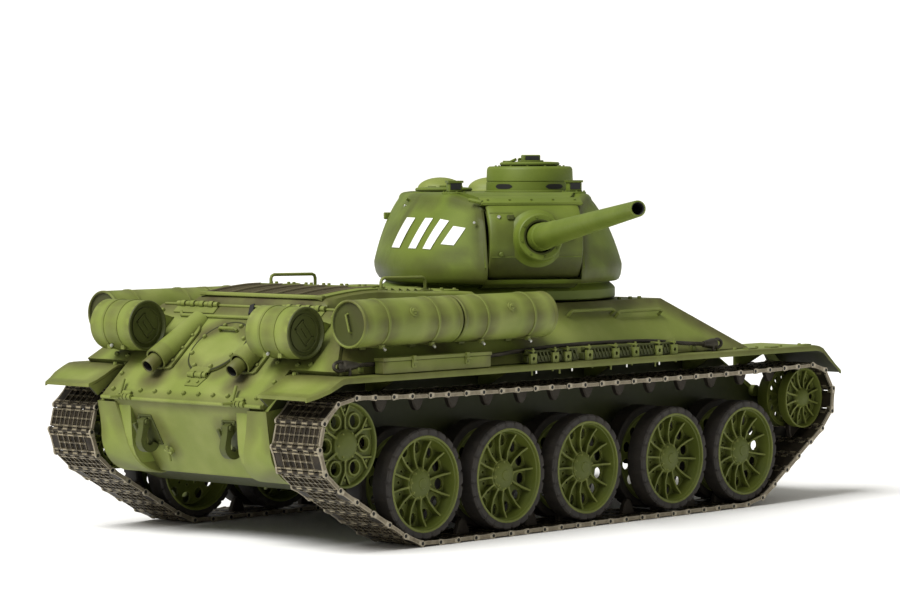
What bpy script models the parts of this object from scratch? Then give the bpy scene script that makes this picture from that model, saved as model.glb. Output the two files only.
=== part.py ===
"""Radio controlled model tank, one sixteenth scale, as an assembly of separate solids.

The front faces -Y, +Z is up and the tank's right side is at -X. Heights in the constants are
measured from the ground that the tracks stand on; the ground datum empty sits BELLY_CLEARANCE
below the origin, so the origin is the middle of the belly plate's underside.
"""
import math

import bmesh
import bpy
from mathutils import Matrix, Vector

MM = 0.001
GAP = 0.3 * MM

# Hull
BELLY_CLEARANCE = 25.0 * MM
TUB_HALF_WIDTH = 57.0 * MM
TUB_TOP = 80.7 * MM
TUB_WALL = 2.0 * MM
SPONSON_HALF_WIDTH = 85.0 * MM
SPONSON_BOTTOM = 81.2 * MM
DECK_HALF_WIDTH = 62.0 * MM
DECK_TOP = 107.4 * MM
GLACIS_FOOT_Y = -127.0 * MM
GLACIS_TOP_Y = -84.0 * MM
NOSE = (-183.0 * MM, 46.5 * MM)
BELLY_FRONT_Y = -150.0 * MM
BELLY_REAR_Y = 152.0 * MM
LOWER_REAR_FOOT = (171.0 * MM, 31.7 * MM)
JUNCTION = (190.6 * MM, 66.7 * MM)
REAR_SLOPE = math.radians(48.0)
REAR_PLATE_LENGTH = 62.9 * MM
REAR_PLATE_FOOT_HALF_WIDTH = 54.8 * MM
PLATE_THICKNESS = 2.0 * MM
FINAL_DRIVE_RADIUS = 18.6 * MM
FINAL_DRIVE_INNER = 36.0 * MM

# Rear plate fittings, placed up the plate's slope from its foot
REAR_PLATE_STEP = (23.9 * MM, 82.6 * MM)
REAR_HATCH = (34.8 * MM, 16.6 * MM)
REAR_HATCH_HOLE = 14.0 * MM
EXHAUST_X = 28.6 * MM
EXHAUST_MOUTH = (179.4 * MM, 84.4 * MM)
EXHAUST_DROOP = math.radians(30.0)

# Glacis fittings
DRIVER_HATCH_X = 24.0 * MM
DRIVER_HATCH_SIZE = (25.0 * MM, 24.0 * MM)
DRIVER_HATCH_HEIGHT = 93.5 * MM
BOW_GUN_X = -28.0 * MM
BOW_GUN_HEIGHT = 91.0 * MM
BOW_GUN_RADIUS = 6.4 * MM

# Fenders
FENDER_INNER = 57.4 * MM
FENDER_OUTER = 94.0 * MM
FENDER_TOP = 80.8 * MM
FENDER_SHEET = 1.6 * MM
FENDER_TIP = (-194.8 * MM, 65.5 * MM)
FENDER_FRONT_BEND = -176.5 * MM
FENDER_REAR_BEND = 177.5 * MM
FENDER_TAIL = (196.0 * MM, 71.2 * MM)

# Engine deck
DECK_COVER_HALF_WIDTH = 46.0 * MM
DECK_COVER_TOP_HALF_WIDTH = 41.5 * MM
DECK_COVER_FRONT = 31.6 * MM
DECK_COVER_REAR = 140.6 * MM

# Running gear
WHEEL_RADIUS = 25.8 * MM
WHEEL_AXLE_HEIGHT = 28.8 * MM
WHEEL_STATIONS = (120.0 * MM, 62.6 * MM, 5.2 * MM, -61.3 * MM, -118.7 * MM)
WHEEL_INNER_FACE = 63.3 * MM
AXLE_RADIUS = 2.2 * MM
ARM_LENGTH_Y = 20.0 * MM
ARM_PIVOT_HEIGHT = 38.0 * MM
SPROCKET_CENTRE = (169.3 * MM, 49.8 * MM)
SPROCKET_RADIUS = 19.4 * MM
IDLER_CENTRE = (-173.6 * MM, 52.9 * MM)
IDLER_RADIUS = 15.8 * MM
TRACK_INNER = 61.3 * MM
TRACK_OUTER = 92.1 * MM
PIN_HEIGHT = 1.45 * MM
TRACK_INWARD = 1.2 * MM
SPROCKET_PIN_RADIUS = 21.4 * MM
IDLER_PIN_RADIUS = 17.6 * MM
TRACK_SAG = 1.7 * MM
ARC_STEP = math.radians(12.0)
RUN_STEPS = 10

# Turret, in its own frame: forward is -Y, the ring's axis is the origin
TURRET_RING_Y = -28.7 * MM
TURRET_YAW = math.radians(-123.4)
COLLAR_RADIUS = 60.0 * MM
RING_RADIUS = 48.5 * MM
RING_BORE = 45.0 * MM
RING_HOLE = 50.0 * MM
COLLAR_BOTTOM = 108.0 * MM
CASTING_BOTTOM = 117.0 * MM
CASTING_WIDEST = 125.5 * MM
ROOF_EDGE = 157.6 * MM
ROOF_TOP = 161.5 * MM
ROOF_FRONT_DROP = 0.22
CASTING_WALL = 3.0 * MM
TRUNNION = (-56.5 * MM, 137.6 * MM)
MANTLET_RADIUS = 22.2 * MM
MANTLET_HALF_WIDTH = 23.2 * MM
MANTLET_WALL = 3.0 * MM
GUN_ELEVATION = math.radians(5.7)
MUZZLE_REACH = 192.4 * MM
BARREL_BASE_RADIUS = 6.2 * MM
BARREL_MUZZLE_RADIUS = 3.65 * MM
BORE_RADIUS = 2.6 * MM
BORE_DEPTH = 24.0 * MM
CUPOLA_CENTRE = (19.4 * MM, 8.0 * MM)
CUPOLA_RADIUS = 22.3 * MM
CUPOLA_HOLE = 18.0 * MM
LOADER_HATCH_CENTRE = (-23.0 * MM, 20.0 * MM)
LOADER_HATCH_RADIUS = 15.0 * MM
LOADER_HATCH_HOLE = 13.5 * MM
VENT_CENTRE = (13.7 * MM, 66.0 * MM)
VENT_RADIUS = 13.3 * MM
# Half plans of the casting: (half width, forward) in millimetres
ROOF_PLAN = ((0.0, -78.0), (22.0, -77.5), (31.0, -74.0), (36.0, -66.0), (40.0, -48.0), (43.5, -20.0),
             (45.0, 2.0), (43.8, 18.0), (41.0, 32.0), (35.5, 46.0), (25.0, 66.0), (0.0, 67.0))
WIDEST_PLAN = ((0.0, -86.0), (25.0, -85.5), (38.0, -82.0), (46.0, -74.0), (53.0, -50.0), (58.5, -20.0),
               (60.3, 8.0), (58.2, 26.0), (53.5, 40.0), (44.0, 56.0), (24.3, 74.5), (0.0, 76.0))
FOOT_PLAN = ((0.0, -78.0), (24.0, -77.5), (34.0, -74.0), (41.0, -66.0), (49.0, -46.0), (55.0, -20.0),
             (57.5, 6.0), (56.0, 24.0), (51.0, 38.0), (42.0, 52.0), (24.3, 70.0), (0.0, 71.0))

# Stowage
DRUM_RADIUS = 11.1 * MM
DRUM_LENGTH = 65.6 * MM
DRUM_AXIS = (83.4 * MM, 104.0 * MM)
DRUM_STATIONS = {"rear": 131.3 * MM, "front": 64.6 * MM}
DRUM_HOOP = 16.5 * MM
SMALL_DRUM_RADIUS = 12.0 * MM
SMALL_DRUM_AXIS = (174.4 * MM, 99.9 * MM)
SMALL_DRUM_INNER = 39.3 * MM
SMALL_DRUM_LENGTH = 28.0 * MM
CABLE_RADIUS = 1.1 * MM
CABLE_ROUTE = (
    (-86.4, 164.0, 85.4), (-85.4, 150.0, 85.3), (-85.0, 125.0, 85.0), (-85.0, 98.0, 85.0),
    (-84.9, 71.0, 85.6), (-84.4, 50.0, 86.9), (-84.0, 21.0, 88.1), (-84.0, -8.0, 88.4),
    (-84.2, -46.0, 87.8), (-85.2, -74.0, 85.6), (-87.0, -90.0, 84.6),
)
CABLE_EYES = (16.0, -13.0)

SIDES = {"right": -1.0, "left": 1.0}
ROUND = 20

FINISHES = {
    "green_paint": ((0.16, 0.24, 0.05, 1.0), 0.55, 0.0),
    "dark_green_paint": ((0.09, 0.16, 0.03, 1.0), 0.5, 0.0),
    "track_metal": ((0.05, 0.045, 0.04, 1.0), 0.5, 0.6),
    "cable_steel": ((0.06, 0.06, 0.065, 1.0), 0.5, 0.7),
    "battery_wrap": ((0.02, 0.05, 0.20, 1.0), 0.4, 0.0),
    "circuit_board": ((0.01, 0.12, 0.04, 1.0), 0.5, 0.0),
    "black_plastic": ((0.015, 0.015, 0.015, 1.0), 0.5, 0.0),
}


# ---------------------------------------------------------------- meshes
def finish_mesh(name, shape):
    """Turn a bmesh into a mesh with its faces pointing out."""
    bmesh.ops.remove_doubles(shape, verts=shape.verts, dist=1e-6)
    bmesh.ops.recalc_face_normals(shape, faces=shape.faces)
    mesh = bpy.data.meshes.new(name)
    shape.to_mesh(mesh)
    shape.free()
    return mesh


def loft(name, rings):
    """Closed solid through rings of equal point counts, capped at both ends."""
    shape = bmesh.new()
    rows = [[shape.verts.new(point) for point in ring] for ring in rings]
    count = len(rows[0])
    for low, high in zip(rows, rows[1:]):
        for i in range(count):
            j = (i + 1) % count
            shape.faces.new((low[i], low[j], high[j], high[i]))
    shape.faces.new(list(reversed(rows[0])))
    shape.faces.new(rows[-1])
    return finish_mesh(name, shape)


def prism(name, outline, low, high, axis="X"):
    """Outline extruded along an axis; its two coordinates are the other axes in XYZ order."""
    def place(a, b, c):
        return {"X": (c, a, b), "Y": (a, c, b), "Z": (a, b, c)}[axis]
    return loft(name, [[place(a, b, level) for a, b in outline] for level in (low, high)])


def block(name, low, high):
    """Box between two corners."""
    outline = ((low[0], low[1]), (high[0], low[1]), (high[0], high[1]), (low[0], high[1]))
    return prism(name, outline, low[2], high[2], "Z")


def turned(name, profile, segments=ROUND, axis="X"):
    """Solid of revolution from a closed loop of (place along the axis, radius) points."""
    shape = bmesh.new()

    def place(along, radius, turn):
        a = radius * math.cos(turn)
        b = radius * math.sin(turn)
        return {"X": (along, a, b), "Y": (b, along, a), "Z": (a, b, along)}[axis]

    rows = []
    for along, radius in profile:
        if radius == 0.0:
            rows.append([shape.verts.new(place(along, 0.0, 0.0))] * segments)
        else:
            turns = [2.0 * math.pi * i / segments for i in range(segments)]
            rows.append([shape.verts.new(place(along, radius, turn)) for turn in turns])
    for first, second in zip(rows, rows[1:] + rows[:1]):
        if first[0] is first[1] and second[0] is second[1]:
            continue
        for i in range(segments):
            j = (i + 1) % segments
            corners = []
            for vert in (first[i], first[j], second[j], second[i]):
                if vert not in corners:
                    corners.append(vert)
            shape.faces.new(corners)
    return finish_mesh(name, shape)


def cylinder(name, centre, radius, low, high, axis="Z", segments=ROUND):
    """Plain round bar along an axis; its centre gives the other two coordinates."""
    mesh = turned(name, ((low, 0.0), (low, radius), (high, radius), (high, 0.0)), segments, axis)
    a, b = centre
    shift = {"X": (0.0, a, b), "Y": (a, 0.0, b), "Z": (a, b, 0.0)}[axis]
    mesh.transform(Matrix.Translation(shift))
    return mesh


def combined(operation, base, others):
    """Boolean of a base mesh with each of the others in turn, as a new mesh."""
    body = bpy.data.objects.new("working_body", base)
    bpy.context.scene.collection.objects.link(body)
    tools = []
    for other in others:
        tool = bpy.data.objects.new("working_tool", other)
        bpy.context.scene.collection.objects.link(tool)
        step = body.modifiers.new("step", "BOOLEAN")
        step.operation = operation
        step.object = tool
        tools.append(tool)
    bpy.context.view_layer.update()
    graph = bpy.context.evaluated_depsgraph_get()
    result = bpy.data.meshes.new_from_object(body.evaluated_get(graph))
    result.name = base.name
    for item in [body] + tools:
        bpy.data.objects.remove(item)
    return result


def cut(base, *others):
    """Base mesh with the others taken away."""
    return combined("DIFFERENCE", base, others)


def joined(base, *others):
    """Base mesh with the others added as one body."""
    return combined("UNION", base, others)


def moved(mesh, offset, turn=None):
    """The mesh turned, if asked, and then shifted."""
    if turn is not None:
        mesh.transform(turn)
    mesh.transform(Matrix.Translation(offset))
    return mesh


# ---------------------------------------------------------------- objects
def material(name):
    """The finish's material, made on first use."""
    if name in bpy.data.materials:
        return bpy.data.materials[name]
    colour, roughness, metallic = FINISHES[name]
    item = bpy.data.materials.new(name)
    item.use_nodes = True
    shader = item.node_tree.nodes["Principled BSDF"]
    shader.inputs["Base Color"].default_value = colour
    shader.inputs["Roughness"].default_value = roughness
    shader.inputs["Metallic"].default_value = metallic
    item.diffuse_color = colour
    return item


def empty(name, parent, location, rotation=(0.0, 0.0, 0.0)):
    """Axis or datum that other objects hang on."""
    item = bpy.data.objects.new(name, None)
    bpy.context.scene.collection.objects.link(item)
    item.parent = parent
    item.location = location
    item.rotation_euler = rotation
    return item


def node(name, mesh, finish, parent, pivot=(0.0, 0.0, 0.0)):
    """Named solid, modelled in its parent's frame, with its origin moved to the pivot."""
    mesh.transform(Matrix.Translation(-Vector(pivot)))
    mesh.name = name
    mesh.materials.clear()
    mesh.materials.append(material(finish))
    mesh.shade_smooth()
    mesh.set_sharp_from_angle(angle=math.radians(35.0))
    item = bpy.data.objects.new(name, mesh)
    bpy.context.scene.collection.objects.link(item)
    item.parent = parent
    item.location = pivot
    return item


# ---------------------------------------------------------------- hull
def rear_point(along, out):
    """(y, z) on the upper rear plate: along its slope from the junction, out from its face."""
    y = JUNCTION[0] - along * math.sin(REAR_SLOPE) + out * math.cos(REAR_SLOPE)
    z = JUNCTION[1] + along * math.cos(REAR_SLOPE) + out * math.sin(REAR_SLOPE)
    return y, z


def rear_matrix(across, along, out):
    """Frame on the upper rear plate: X across, Y up the slope, Z out of the face."""
    y, z = rear_point(along, out)
    slope = (0.0, -math.sin(REAR_SLOPE), math.cos(REAR_SLOPE))
    face = (0.0, math.cos(REAR_SLOPE), math.sin(REAR_SLOPE))
    turn = Matrix(((-1.0, slope[0], face[0]), (0.0, slope[1], face[1]), (0.0, slope[2], face[2])))
    return Matrix.Translation((across, y, z)) @ turn.to_4x4()


def rear_offset_y(height, depth):
    """Where the surface a depth below the upper rear plate's face stands at a height."""
    y, z = rear_point(0.0, -depth)
    return y - (height - z) * math.tan(REAR_SLOPE)


def glacis_y(height, depth=0.0):
    """Where the glacis, or a surface a depth below it, stands at a height."""
    slope = (GLACIS_TOP_Y - GLACIS_FOOT_Y) / (DECK_TOP - SPONSON_BOTTOM)
    return GLACIS_FOOT_Y + (height - SPONSON_BOTTOM) * slope + depth * math.hypot(1.0, slope)


def tub_outline(inset, top):
    """Side view of the lower hull; the inset makes the hollow's outline."""
    plate_back = 2.4 * MM
    return (
        (glacis_y(top, inset), top),
        (NOSE[0] + 1.6 * inset, NOSE[1] + 2.2 * MM),
        (NOSE[0] + 1.6 * inset, NOSE[1] - 2.2 * MM),
        (BELLY_FRONT_Y + 0.4 * inset, BELLY_CLEARANCE + inset),
        (BELLY_REAR_Y - 0.3 * inset, BELLY_CLEARANCE + inset),
        (LOWER_REAR_FOOT[0] - 1.2 * inset, LOWER_REAR_FOOT[1] + 0.6 * inset),
        (rear_offset_y(64.4 * MM, plate_back) - 0.6 * MM - 1.3 * inset, 64.4 * MM),
        (rear_offset_y(top, plate_back + inset), top),
    )


def arc(centre, radius, start, stop, steps):
    """Points along an arc in a plane, from one angle to another."""
    turns = [start + (stop - start) * i / steps for i in range(steps + 1)]
    return [(centre[0] + radius * math.cos(t), centre[1] + radius * math.sin(t)) for t in turns]


def lower_hull(parent):
    """Open-topped tub with both final drive housings and the axle holes."""
    tub = prism("tub", tub_outline(0.0, TUB_TOP), -TUB_HALF_WIDTH, TUB_HALF_WIDTH)
    centre = (SPROCKET_CENTRE[0], SPROCKET_CENTRE[1] - 1.0 * MM)
    housing = arc(centre, FINAL_DRIVE_RADIUS, math.radians(-120.0), 0.0, 8)
    housing += [(rear_offset_y(64.2 * MM, 3.0 * MM), 64.2 * MM), (150.0 * MM, 64.2 * MM)]
    inner_reach = TUB_HALF_WIDTH - TUB_WALL
    hollow = prism("hollow", tub_outline(TUB_WALL, TUB_TOP + 1.0 * MM), -inner_reach, inner_reach)
    drives = []
    holes = [cut_slot_for_switch()]
    for side in SIDES.values():
        reach = sorted((side * FINAL_DRIVE_INNER, side * (TUB_HALF_WIDTH - 0.05 * MM)))
        drives.append(prism("final_drive", housing, reach[0], reach[1]))
        bore = sorted((side * 50.0 * MM, side * 60.0 * MM))
        for axle in (SPROCKET_CENTRE, IDLER_CENTRE):
            holes.append(cylinder("axle_hole", axle, 3.6 * MM, bore[0], bore[1], "X", 16))
    mesh = cut(joined(tub, *drives), hollow, *holes)
    node("lower_hull", mesh, "green_paint", parent)


def cut_slot_for_switch():
    """Slot through the belly plate that the power switch slides in."""
    low = (-3.2 * MM, -107.0 * MM, BELLY_CLEARANCE - 1.0 * MM)
    high = (3.2 * MM, -93.0 * MM, BELLY_CLEARANCE + 4.0 * MM)
    return block("switch_slot", low, high)


def hull_ring(height, inset):
    """Plan outline of the upper hull at a height."""
    share = (height - SPONSON_BOTTOM) / (DECK_TOP - SPONSON_BOTTOM)
    half = SPONSON_HALF_WIDTH + (DECK_HALF_WIDTH - SPONSON_HALF_WIDTH) * share - 1.32 * inset
    front = glacis_y(height, inset)
    rear = rear_offset_y(height, 2.4 * MM + inset)
    return [(-half, front, height), (half, front, height), (half, rear, height), (-half, rear, height)]


def glacis_matrix(across, height, out):
    """Frame on the glacis: X to the tank's left, Y up the slope, Z out of the face."""
    run = GLACIS_TOP_Y - GLACIS_FOOT_Y
    rise = DECK_TOP - SPONSON_BOTTOM
    length = math.hypot(run, rise)
    slope = Vector((0.0, run / length, rise / length))
    face = Vector((0.0, -rise / length, run / length))
    foot = Vector((across, glacis_y(height), height)) + face * out
    turn = Matrix(((1.0, slope.x, face.x), (0.0, slope.y, face.y), (0.0, slope.z, face.z)))
    return Matrix.Translation(foot) @ turn.to_4x4()


def upper_hull(parent):
    """Sloped superstructure shell with its turret ring, hatch and gun openings."""
    shell = loft("upper_hull", [hull_ring(SPONSON_BOTTOM, 0.0), hull_ring(DECK_TOP, 0.0)])
    under = SPONSON_BOTTOM - 1.0 * MM
    hollow = loft("hollow", [hull_ring(under, PLATE_THICKNESS),
                             hull_ring(DECK_TOP - PLATE_THICKNESS, PLATE_THICKNESS)])
    ring = cylinder("ring", (0.0, TURRET_RING_Y), RING_HOLE, 95.0 * MM, 115.0 * MM, "Z", 32)
    engine = block("engine", (-34.0 * MM, 40.0 * MM, 100.0 * MM),
                   (34.0 * MM, 130.0 * MM, 112.0 * MM))
    wide, tall = DRIVER_HATCH_SIZE
    door = block("door", (-wide / 2 + MM, -tall / 2 + MM, -6.0 * MM),
                 (wide / 2 - MM, tall / 2 - MM, 6.0 * MM))
    door.transform(glacis_matrix(DRIVER_HATCH_X, DRIVER_HATCH_HEIGHT, 0.0))
    port = cylinder("port", (0.0, 0.0), BOW_GUN_RADIUS + 0.4 * MM, -9.0 * MM, 9.0 * MM, "Z", 20)
    port.transform(glacis_matrix(BOW_GUN_X, BOW_GUN_HEIGHT, 0.0))
    node("upper_hull", cut(shell, hollow, ring, engine, door, port), "green_paint", parent)


def rear_plate(parent):
    """Upper rear plate with its round access hole."""
    foot = REAR_PLATE_FOOT_HALF_WIDTH
    step, wide = REAR_PLATE_STEP
    half = DECK_HALF_WIDTH
    outline = ((-foot, 0.0), (foot, 0.0), (foot, step), (wide, step), (half, REAR_PLATE_LENGTH),
               (-half, REAR_PLATE_LENGTH), (-wide, step), (-foot, step))
    plate = prism("plate", outline, -PLATE_THICKNESS, 0.0, "Z")
    hole = cylinder("hole", (0.0, REAR_HATCH[0]), REAR_HATCH_HOLE, -5.0 * MM, 5.0 * MM, "Z", 24)
    mesh = cut(plate, hole)
    mesh.transform(rear_matrix(0.0, 0.0, 0.0))
    node("rear_plate", mesh, "green_paint", parent)


def transmission_hatch(parent):
    """Round access hatch that swings down on two knuckles under it."""
    centre, radius = REAR_HATCH
    disc = cylinder("disc", (0.0, centre), radius, GAP, 1.6 * MM, "Z", 28)
    lug = block("lug", (-6.2 * MM, 15.6 * MM, GAP), (6.2 * MM, 20.5 * MM, 2.2 * MM))
    bar = block("bar", (-5.5 * MM, 43.6 * MM, 1.2 * MM), (5.5 * MM, 45.2 * MM, 3.4 * MM))
    mesh = joined(disc, lug, bar)
    mesh.transform(rear_matrix(0.0, 0.0, 0.0))
    y, z = rear_point(16.2 * MM, 1.2 * MM)
    node("transmission_hatch", mesh, "green_paint", parent, (0.0, y, z))


def engine_deck_cover(parent):
    """Raised engine deck with its rear grille slope."""
    rows = []
    for height, half, inset in ((DECK_TOP + GAP, DECK_COVER_HALF_WIDTH, 0.0),
                                (111.0 * MM, DECK_COVER_HALF_WIDTH - 0.6 * MM, 0.6 * MM),
                                (None, DECK_COVER_TOP_HALF_WIDTH, 4.0 * MM)):
        front = DECK_COVER_FRONT + inset
        rear = DECK_COVER_REAR - inset
        heights = {front: 113.8 * MM, 75.0 * MM: 115.2 * MM, 103.0 * MM: 116.6 * MM, rear: 113.6 * MM}
        row = [(half, y, height or top) for y, top in heights.items()]
        row += [(-half, y, height or top) for y, top in reversed(list(heights.items()))]
        rows.append(row)
    node("engine_deck_cover", loft("deck", rows), "green_paint", parent)


def fender(name, side, parent):
    """Track guard: long shelf, drooping front and the flap behind."""
    top = ((FENDER_TIP[0], FENDER_TIP[1] + FENDER_SHEET), (FENDER_FRONT_BEND, FENDER_TOP),
           (FENDER_REAR_BEND, FENDER_TOP), (FENDER_TAIL[0], FENDER_TAIL[1] + FENDER_SHEET))
    outline = list(top) + [(y, z - FENDER_SHEET) for y, z in reversed(top)]
    reach = sorted((side * FENDER_INNER, side * FENDER_OUTER))
    sheet = prism("sheet", outline, reach[0], reach[1])
    web_outline = ((174.0 * MM, 79.6 * MM), (190.4 * MM, 66.6 * MM), (195.0 * MM, 72.0 * MM),
                   (178.0 * MM, 80.0 * MM))
    web_reach = sorted((side * FENDER_INNER, side * (FENDER_INNER + 1.4 * MM)))
    node(name, joined(sheet, prism("web", web_outline, *web_reach)), "green_paint", parent)


def exhaust(name, side, parent):
    """Armoured exhaust cover with the end of its pipe."""
    across = side * EXHAUST_X
    flange = block("flange", (-7.5 * MM, 19.0 * MM, -2.0 * MM), (7.5 * MM, 50.0 * MM, 1.4 * MM))
    flange.transform(rear_matrix(across, 0.0, 0.0))
    tilt = Matrix.Rotation(-EXHAUST_DROOP, 4, "X")
    mouth = (across, *EXHAUST_MOUTH)
    centre = (0.0, 0.0)
    hood = moved(cylinder("hood", centre, 6.3 * MM, -36.0 * MM, 0.0, "Y", 18), mouth, tilt)
    throat = moved(cylinder("throat", centre, 5.3 * MM, -6.0 * MM, 3.0 * MM, "Y", 18), mouth, tilt)
    pipe = moved(cylinder("pipe", centre, 4.5 * MM, -8.0 * MM, 6.0 * MM, "Y", 18), mouth, tilt)
    bore = moved(cylinder("bore", centre, 3.4 * MM, -3.0 * MM, 8.0 * MM, "Y", 18), mouth, tilt)
    wall = block("wall", (-25.0 * MM, -40.0 * MM, -60.0 * MM), (25.0 * MM, 95.0 * MM, GAP))
    wall.transform(rear_matrix(across, 0.0, 0.0))
    cover = joined(cut(joined(flange, hood), throat), pipe)
    node(name, cut(cover, bore, wall), "green_paint", parent)


# ---------------------------------------------------------------- stowage
def fuel_drum(name, side, station, parent):
    """Long drum on the side plate with its two saddles."""
    half = DRUM_LENGTH / 2.0
    barrel = cylinder("barrel", (0.0, 0.0), DRUM_RADIUS, -half, half, "Y", 20)
    barrel.transform(Matrix.Translation((side * DRUM_AXIS[0], station, DRUM_AXIS[1])))
    tilt = math.atan2(SPONSON_HALF_WIDTH - DECK_HALF_WIDTH, DECK_TOP - SPONSON_BOTTOM)
    inward = (-side * math.cos(tilt), -math.sin(tilt))
    along = (-side * math.sin(tilt), math.cos(tilt))
    share = (DRUM_AXIS[1] - SPONSON_BOTTOM) / (DECK_TOP - SPONSON_BOTTOM)
    plate_x = SPONSON_HALF_WIDTH + (DECK_HALF_WIDTH - SPONSON_HALF_WIDTH) * share
    reach = (DRUM_AXIS[0] - plate_x) * math.cos(tilt) - GAP
    corners = ((6.0 * MM, -4.0 * MM), (6.0 * MM, 4.0 * MM), (reach, 4.0 * MM), (reach, -4.0 * MM))
    outline = [(side * DRUM_AXIS[0] + inward[0] * a + along[0] * b,
                DRUM_AXIS[1] + inward[1] * a + along[1] * b) for a, b in corners]
    saddles = [prism("saddle", outline, station + place - 2.0 * MM, station + place + 2.0 * MM, "Y")
               for place in (-DRUM_HOOP, DRUM_HOOP)]
    node(name, joined(barrel, *saddles), "green_paint", parent)


def rear_drum(name, side, parent):
    """Short drum across the rear plate on one cradle."""
    low, high = sorted((side * SMALL_DRUM_INNER, side * (SMALL_DRUM_INNER + SMALL_DRUM_LENGTH)))
    drum = cylinder("drum", SMALL_DRUM_AXIS, SMALL_DRUM_RADIUS, low, high, "X", 22)
    cradle = block("cradle", (-9.0 * MM, 41.0 * MM, GAP), (9.0 * MM, 49.0 * MM, 6.0 * MM))
    cradle.transform(rear_matrix((low + high) / 2.0, 0.0, 0.0))
    node(name, joined(drum, cradle), "green_paint", parent)


def tool_box(parent):
    """Long low stowage box on the right track guard."""
    low = (-93.2 * MM, 78.0 * MM, FENDER_TOP + GAP)
    high = (-87.2 * MM, 151.0 * MM, 88.3 * MM)
    box = block("box", low, high)
    clasps = []
    for y in (95.0 * MM, 131.0 * MM):
        clasps.append(block("clasp", (-93.8 * MM, y - 1.5 * MM, 83.5 * MM),
                            (-92.0 * MM, y + 1.5 * MM, 88.9 * MM)))
    node("tool_box", joined(box, *clasps), "green_paint", parent)


def smooth_route(points, steps):
    """Points read from a smooth curve through the route's own points."""
    places = [Vector(point) * MM for point in points]
    ends = [places[0] * 2 - places[1]] + places + [places[-1] * 2 - places[-2]]
    route = []
    for p0, p1, p2, p3 in zip(ends, ends[1:], ends[2:], ends[3:]):
        for i in range(steps):
            t = i / steps
            route.append(0.5 * (2 * p1 + (p2 - p0) * t + (2 * p0 - 5 * p1 + 4 * p2 - p3) * t * t
                                + (3 * p1 - p0 - 3 * p2 + p3) * t * t * t))
    route.append(places[-1])
    return route


def tow_cable(parent):
    """Steel cable along the right side between its two eyes."""
    curve = bpy.data.curves.new("cable", "CURVE")
    curve.dimensions = "3D"
    curve.bevel_depth = CABLE_RADIUS
    curve.bevel_resolution = 2
    curve.use_fill_caps = True
    route = smooth_route(CABLE_ROUTE, 4)
    spline = curve.splines.new("POLY")
    spline.points.add(len(route) - 1)
    for point, place in zip(spline.points, route):
        point.co = (*place, 1.0)
    holder = bpy.data.objects.new("cable", curve)
    bpy.context.scene.collection.objects.link(holder)
    bpy.context.view_layer.update()
    graph = bpy.context.evaluated_depsgraph_get()
    tube = bpy.data.meshes.new_from_object(holder.evaluated_get(graph))
    bpy.data.objects.remove(holder)
    shape = bmesh.new()
    shape.from_mesh(tube)
    tube = finish_mesh("cable", shape)
    eyes = []
    for (x, y, z), reach in zip((CABLE_ROUTE[0], CABLE_ROUTE[-1]), CABLE_EYES):
        outline = [(a * MM, b * MM) for a, b in (
            (y - math.copysign(3.0, reach), z - 1.8), (y + reach, z - 2.6), (y + reach, z + 2.6),
            (y - math.copysign(3.0, reach), z + 1.8))]
        eyes.append(prism("eye", outline, (x - 1.6) * MM, (x + 1.6) * MM))
    node("tow_cable", joined(tube, *eyes), "cable_steel", parent)


# ---------------------------------------------------------------- inside the hull
def electronics(parent):
    """Battery, control board, gearboxes, turret motor, speaker and the power switch."""
    low = (-23.0 * MM, -20.0 * MM, 27.6 * MM)
    node("battery_pack", block("cell", low, (23.0 * MM, 72.0 * MM, 50.0 * MM)), "battery_wrap", parent)
    board = block("board", (-30.0 * MM, -15.0 * MM, 56.0 * MM), (30.0 * MM, 75.0 * MM, 57.6 * MM))
    chips = [block("chip", ((x - 6) * MM, (y - 6) * MM, 57.0 * MM),
                   ((x + 6) * MM, (y + 6) * MM, 61.0 * MM))
             for x, y in ((-15.0, 5.0), (14.0, 10.0), (-12.0, 50.0), (16.0, 55.0))]
    node("control_board", joined(board, *chips), "circuit_board", parent)
    for name, side in SIDES.items():
        x = sorted((side * 4.0 * MM, side * 53.5 * MM))
        case = block("case", (x[0], 122.0 * MM, 34.0 * MM), (x[1], 164.0 * MM, 64.0 * MM))
        motor_x = sorted((side * 6.0 * MM, side * 46.0 * MM))
        motor = cylinder("motor", (112.0 * MM, 46.0 * MM), 12.0 * MM, motor_x[0], motor_x[1], "X", 16)
        strap = block("strap", (x[0], 105.0 * MM, 40.0 * MM), (x[1], 124.0 * MM, 52.0 * MM))
        node("gearbox_" + name, joined(case, motor, strap), "black_plastic", parent)
    motor = cylinder("motor", (-34.0 * MM, 12.0 * MM), 9.0 * MM, 66.0 * MM, 92.0 * MM, "Z", 16)
    pinion = cylinder("pinion", (-34.0 * MM, 12.0 * MM), 4.0 * MM, 91.0 * MM, 99.0 * MM, "Z", 12)
    node("turret_motor", joined(motor, pinion), "black_plastic", parent)
    cone = turned("cone", ((27.6 * MM, 0.0), (27.6 * MM, 9.0 * MM), (40.0 * MM, 20.0 * MM),
                           (42.0 * MM, 20.0 * MM), (42.0 * MM, 0.0)), 20, "Z")
    node("speaker", moved(cone, (0.0, -62.0 * MM, 0.0)), "black_plastic", parent)
    slider = block("slider", (-2.6 * MM, -106.2 * MM, BELLY_CLEARANCE + 0.2 * MM),
                   (2.6 * MM, -98.2 * MM, BELLY_CLEARANCE + 1.7 * MM))
    head = block("head", (-6.0 * MM, -109.0 * MM, 27.4 * MM), (6.0 * MM, -95.4 * MM, 30.0 * MM))
    neck = block("neck", (-2.4 * MM, -105.0 * MM, BELLY_CLEARANCE + 1.0 * MM),
                 (2.4 * MM, -99.4 * MM, 28.0 * MM))
    node("power_switch", joined(slider, neck, head), "black_plastic", parent)


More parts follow.
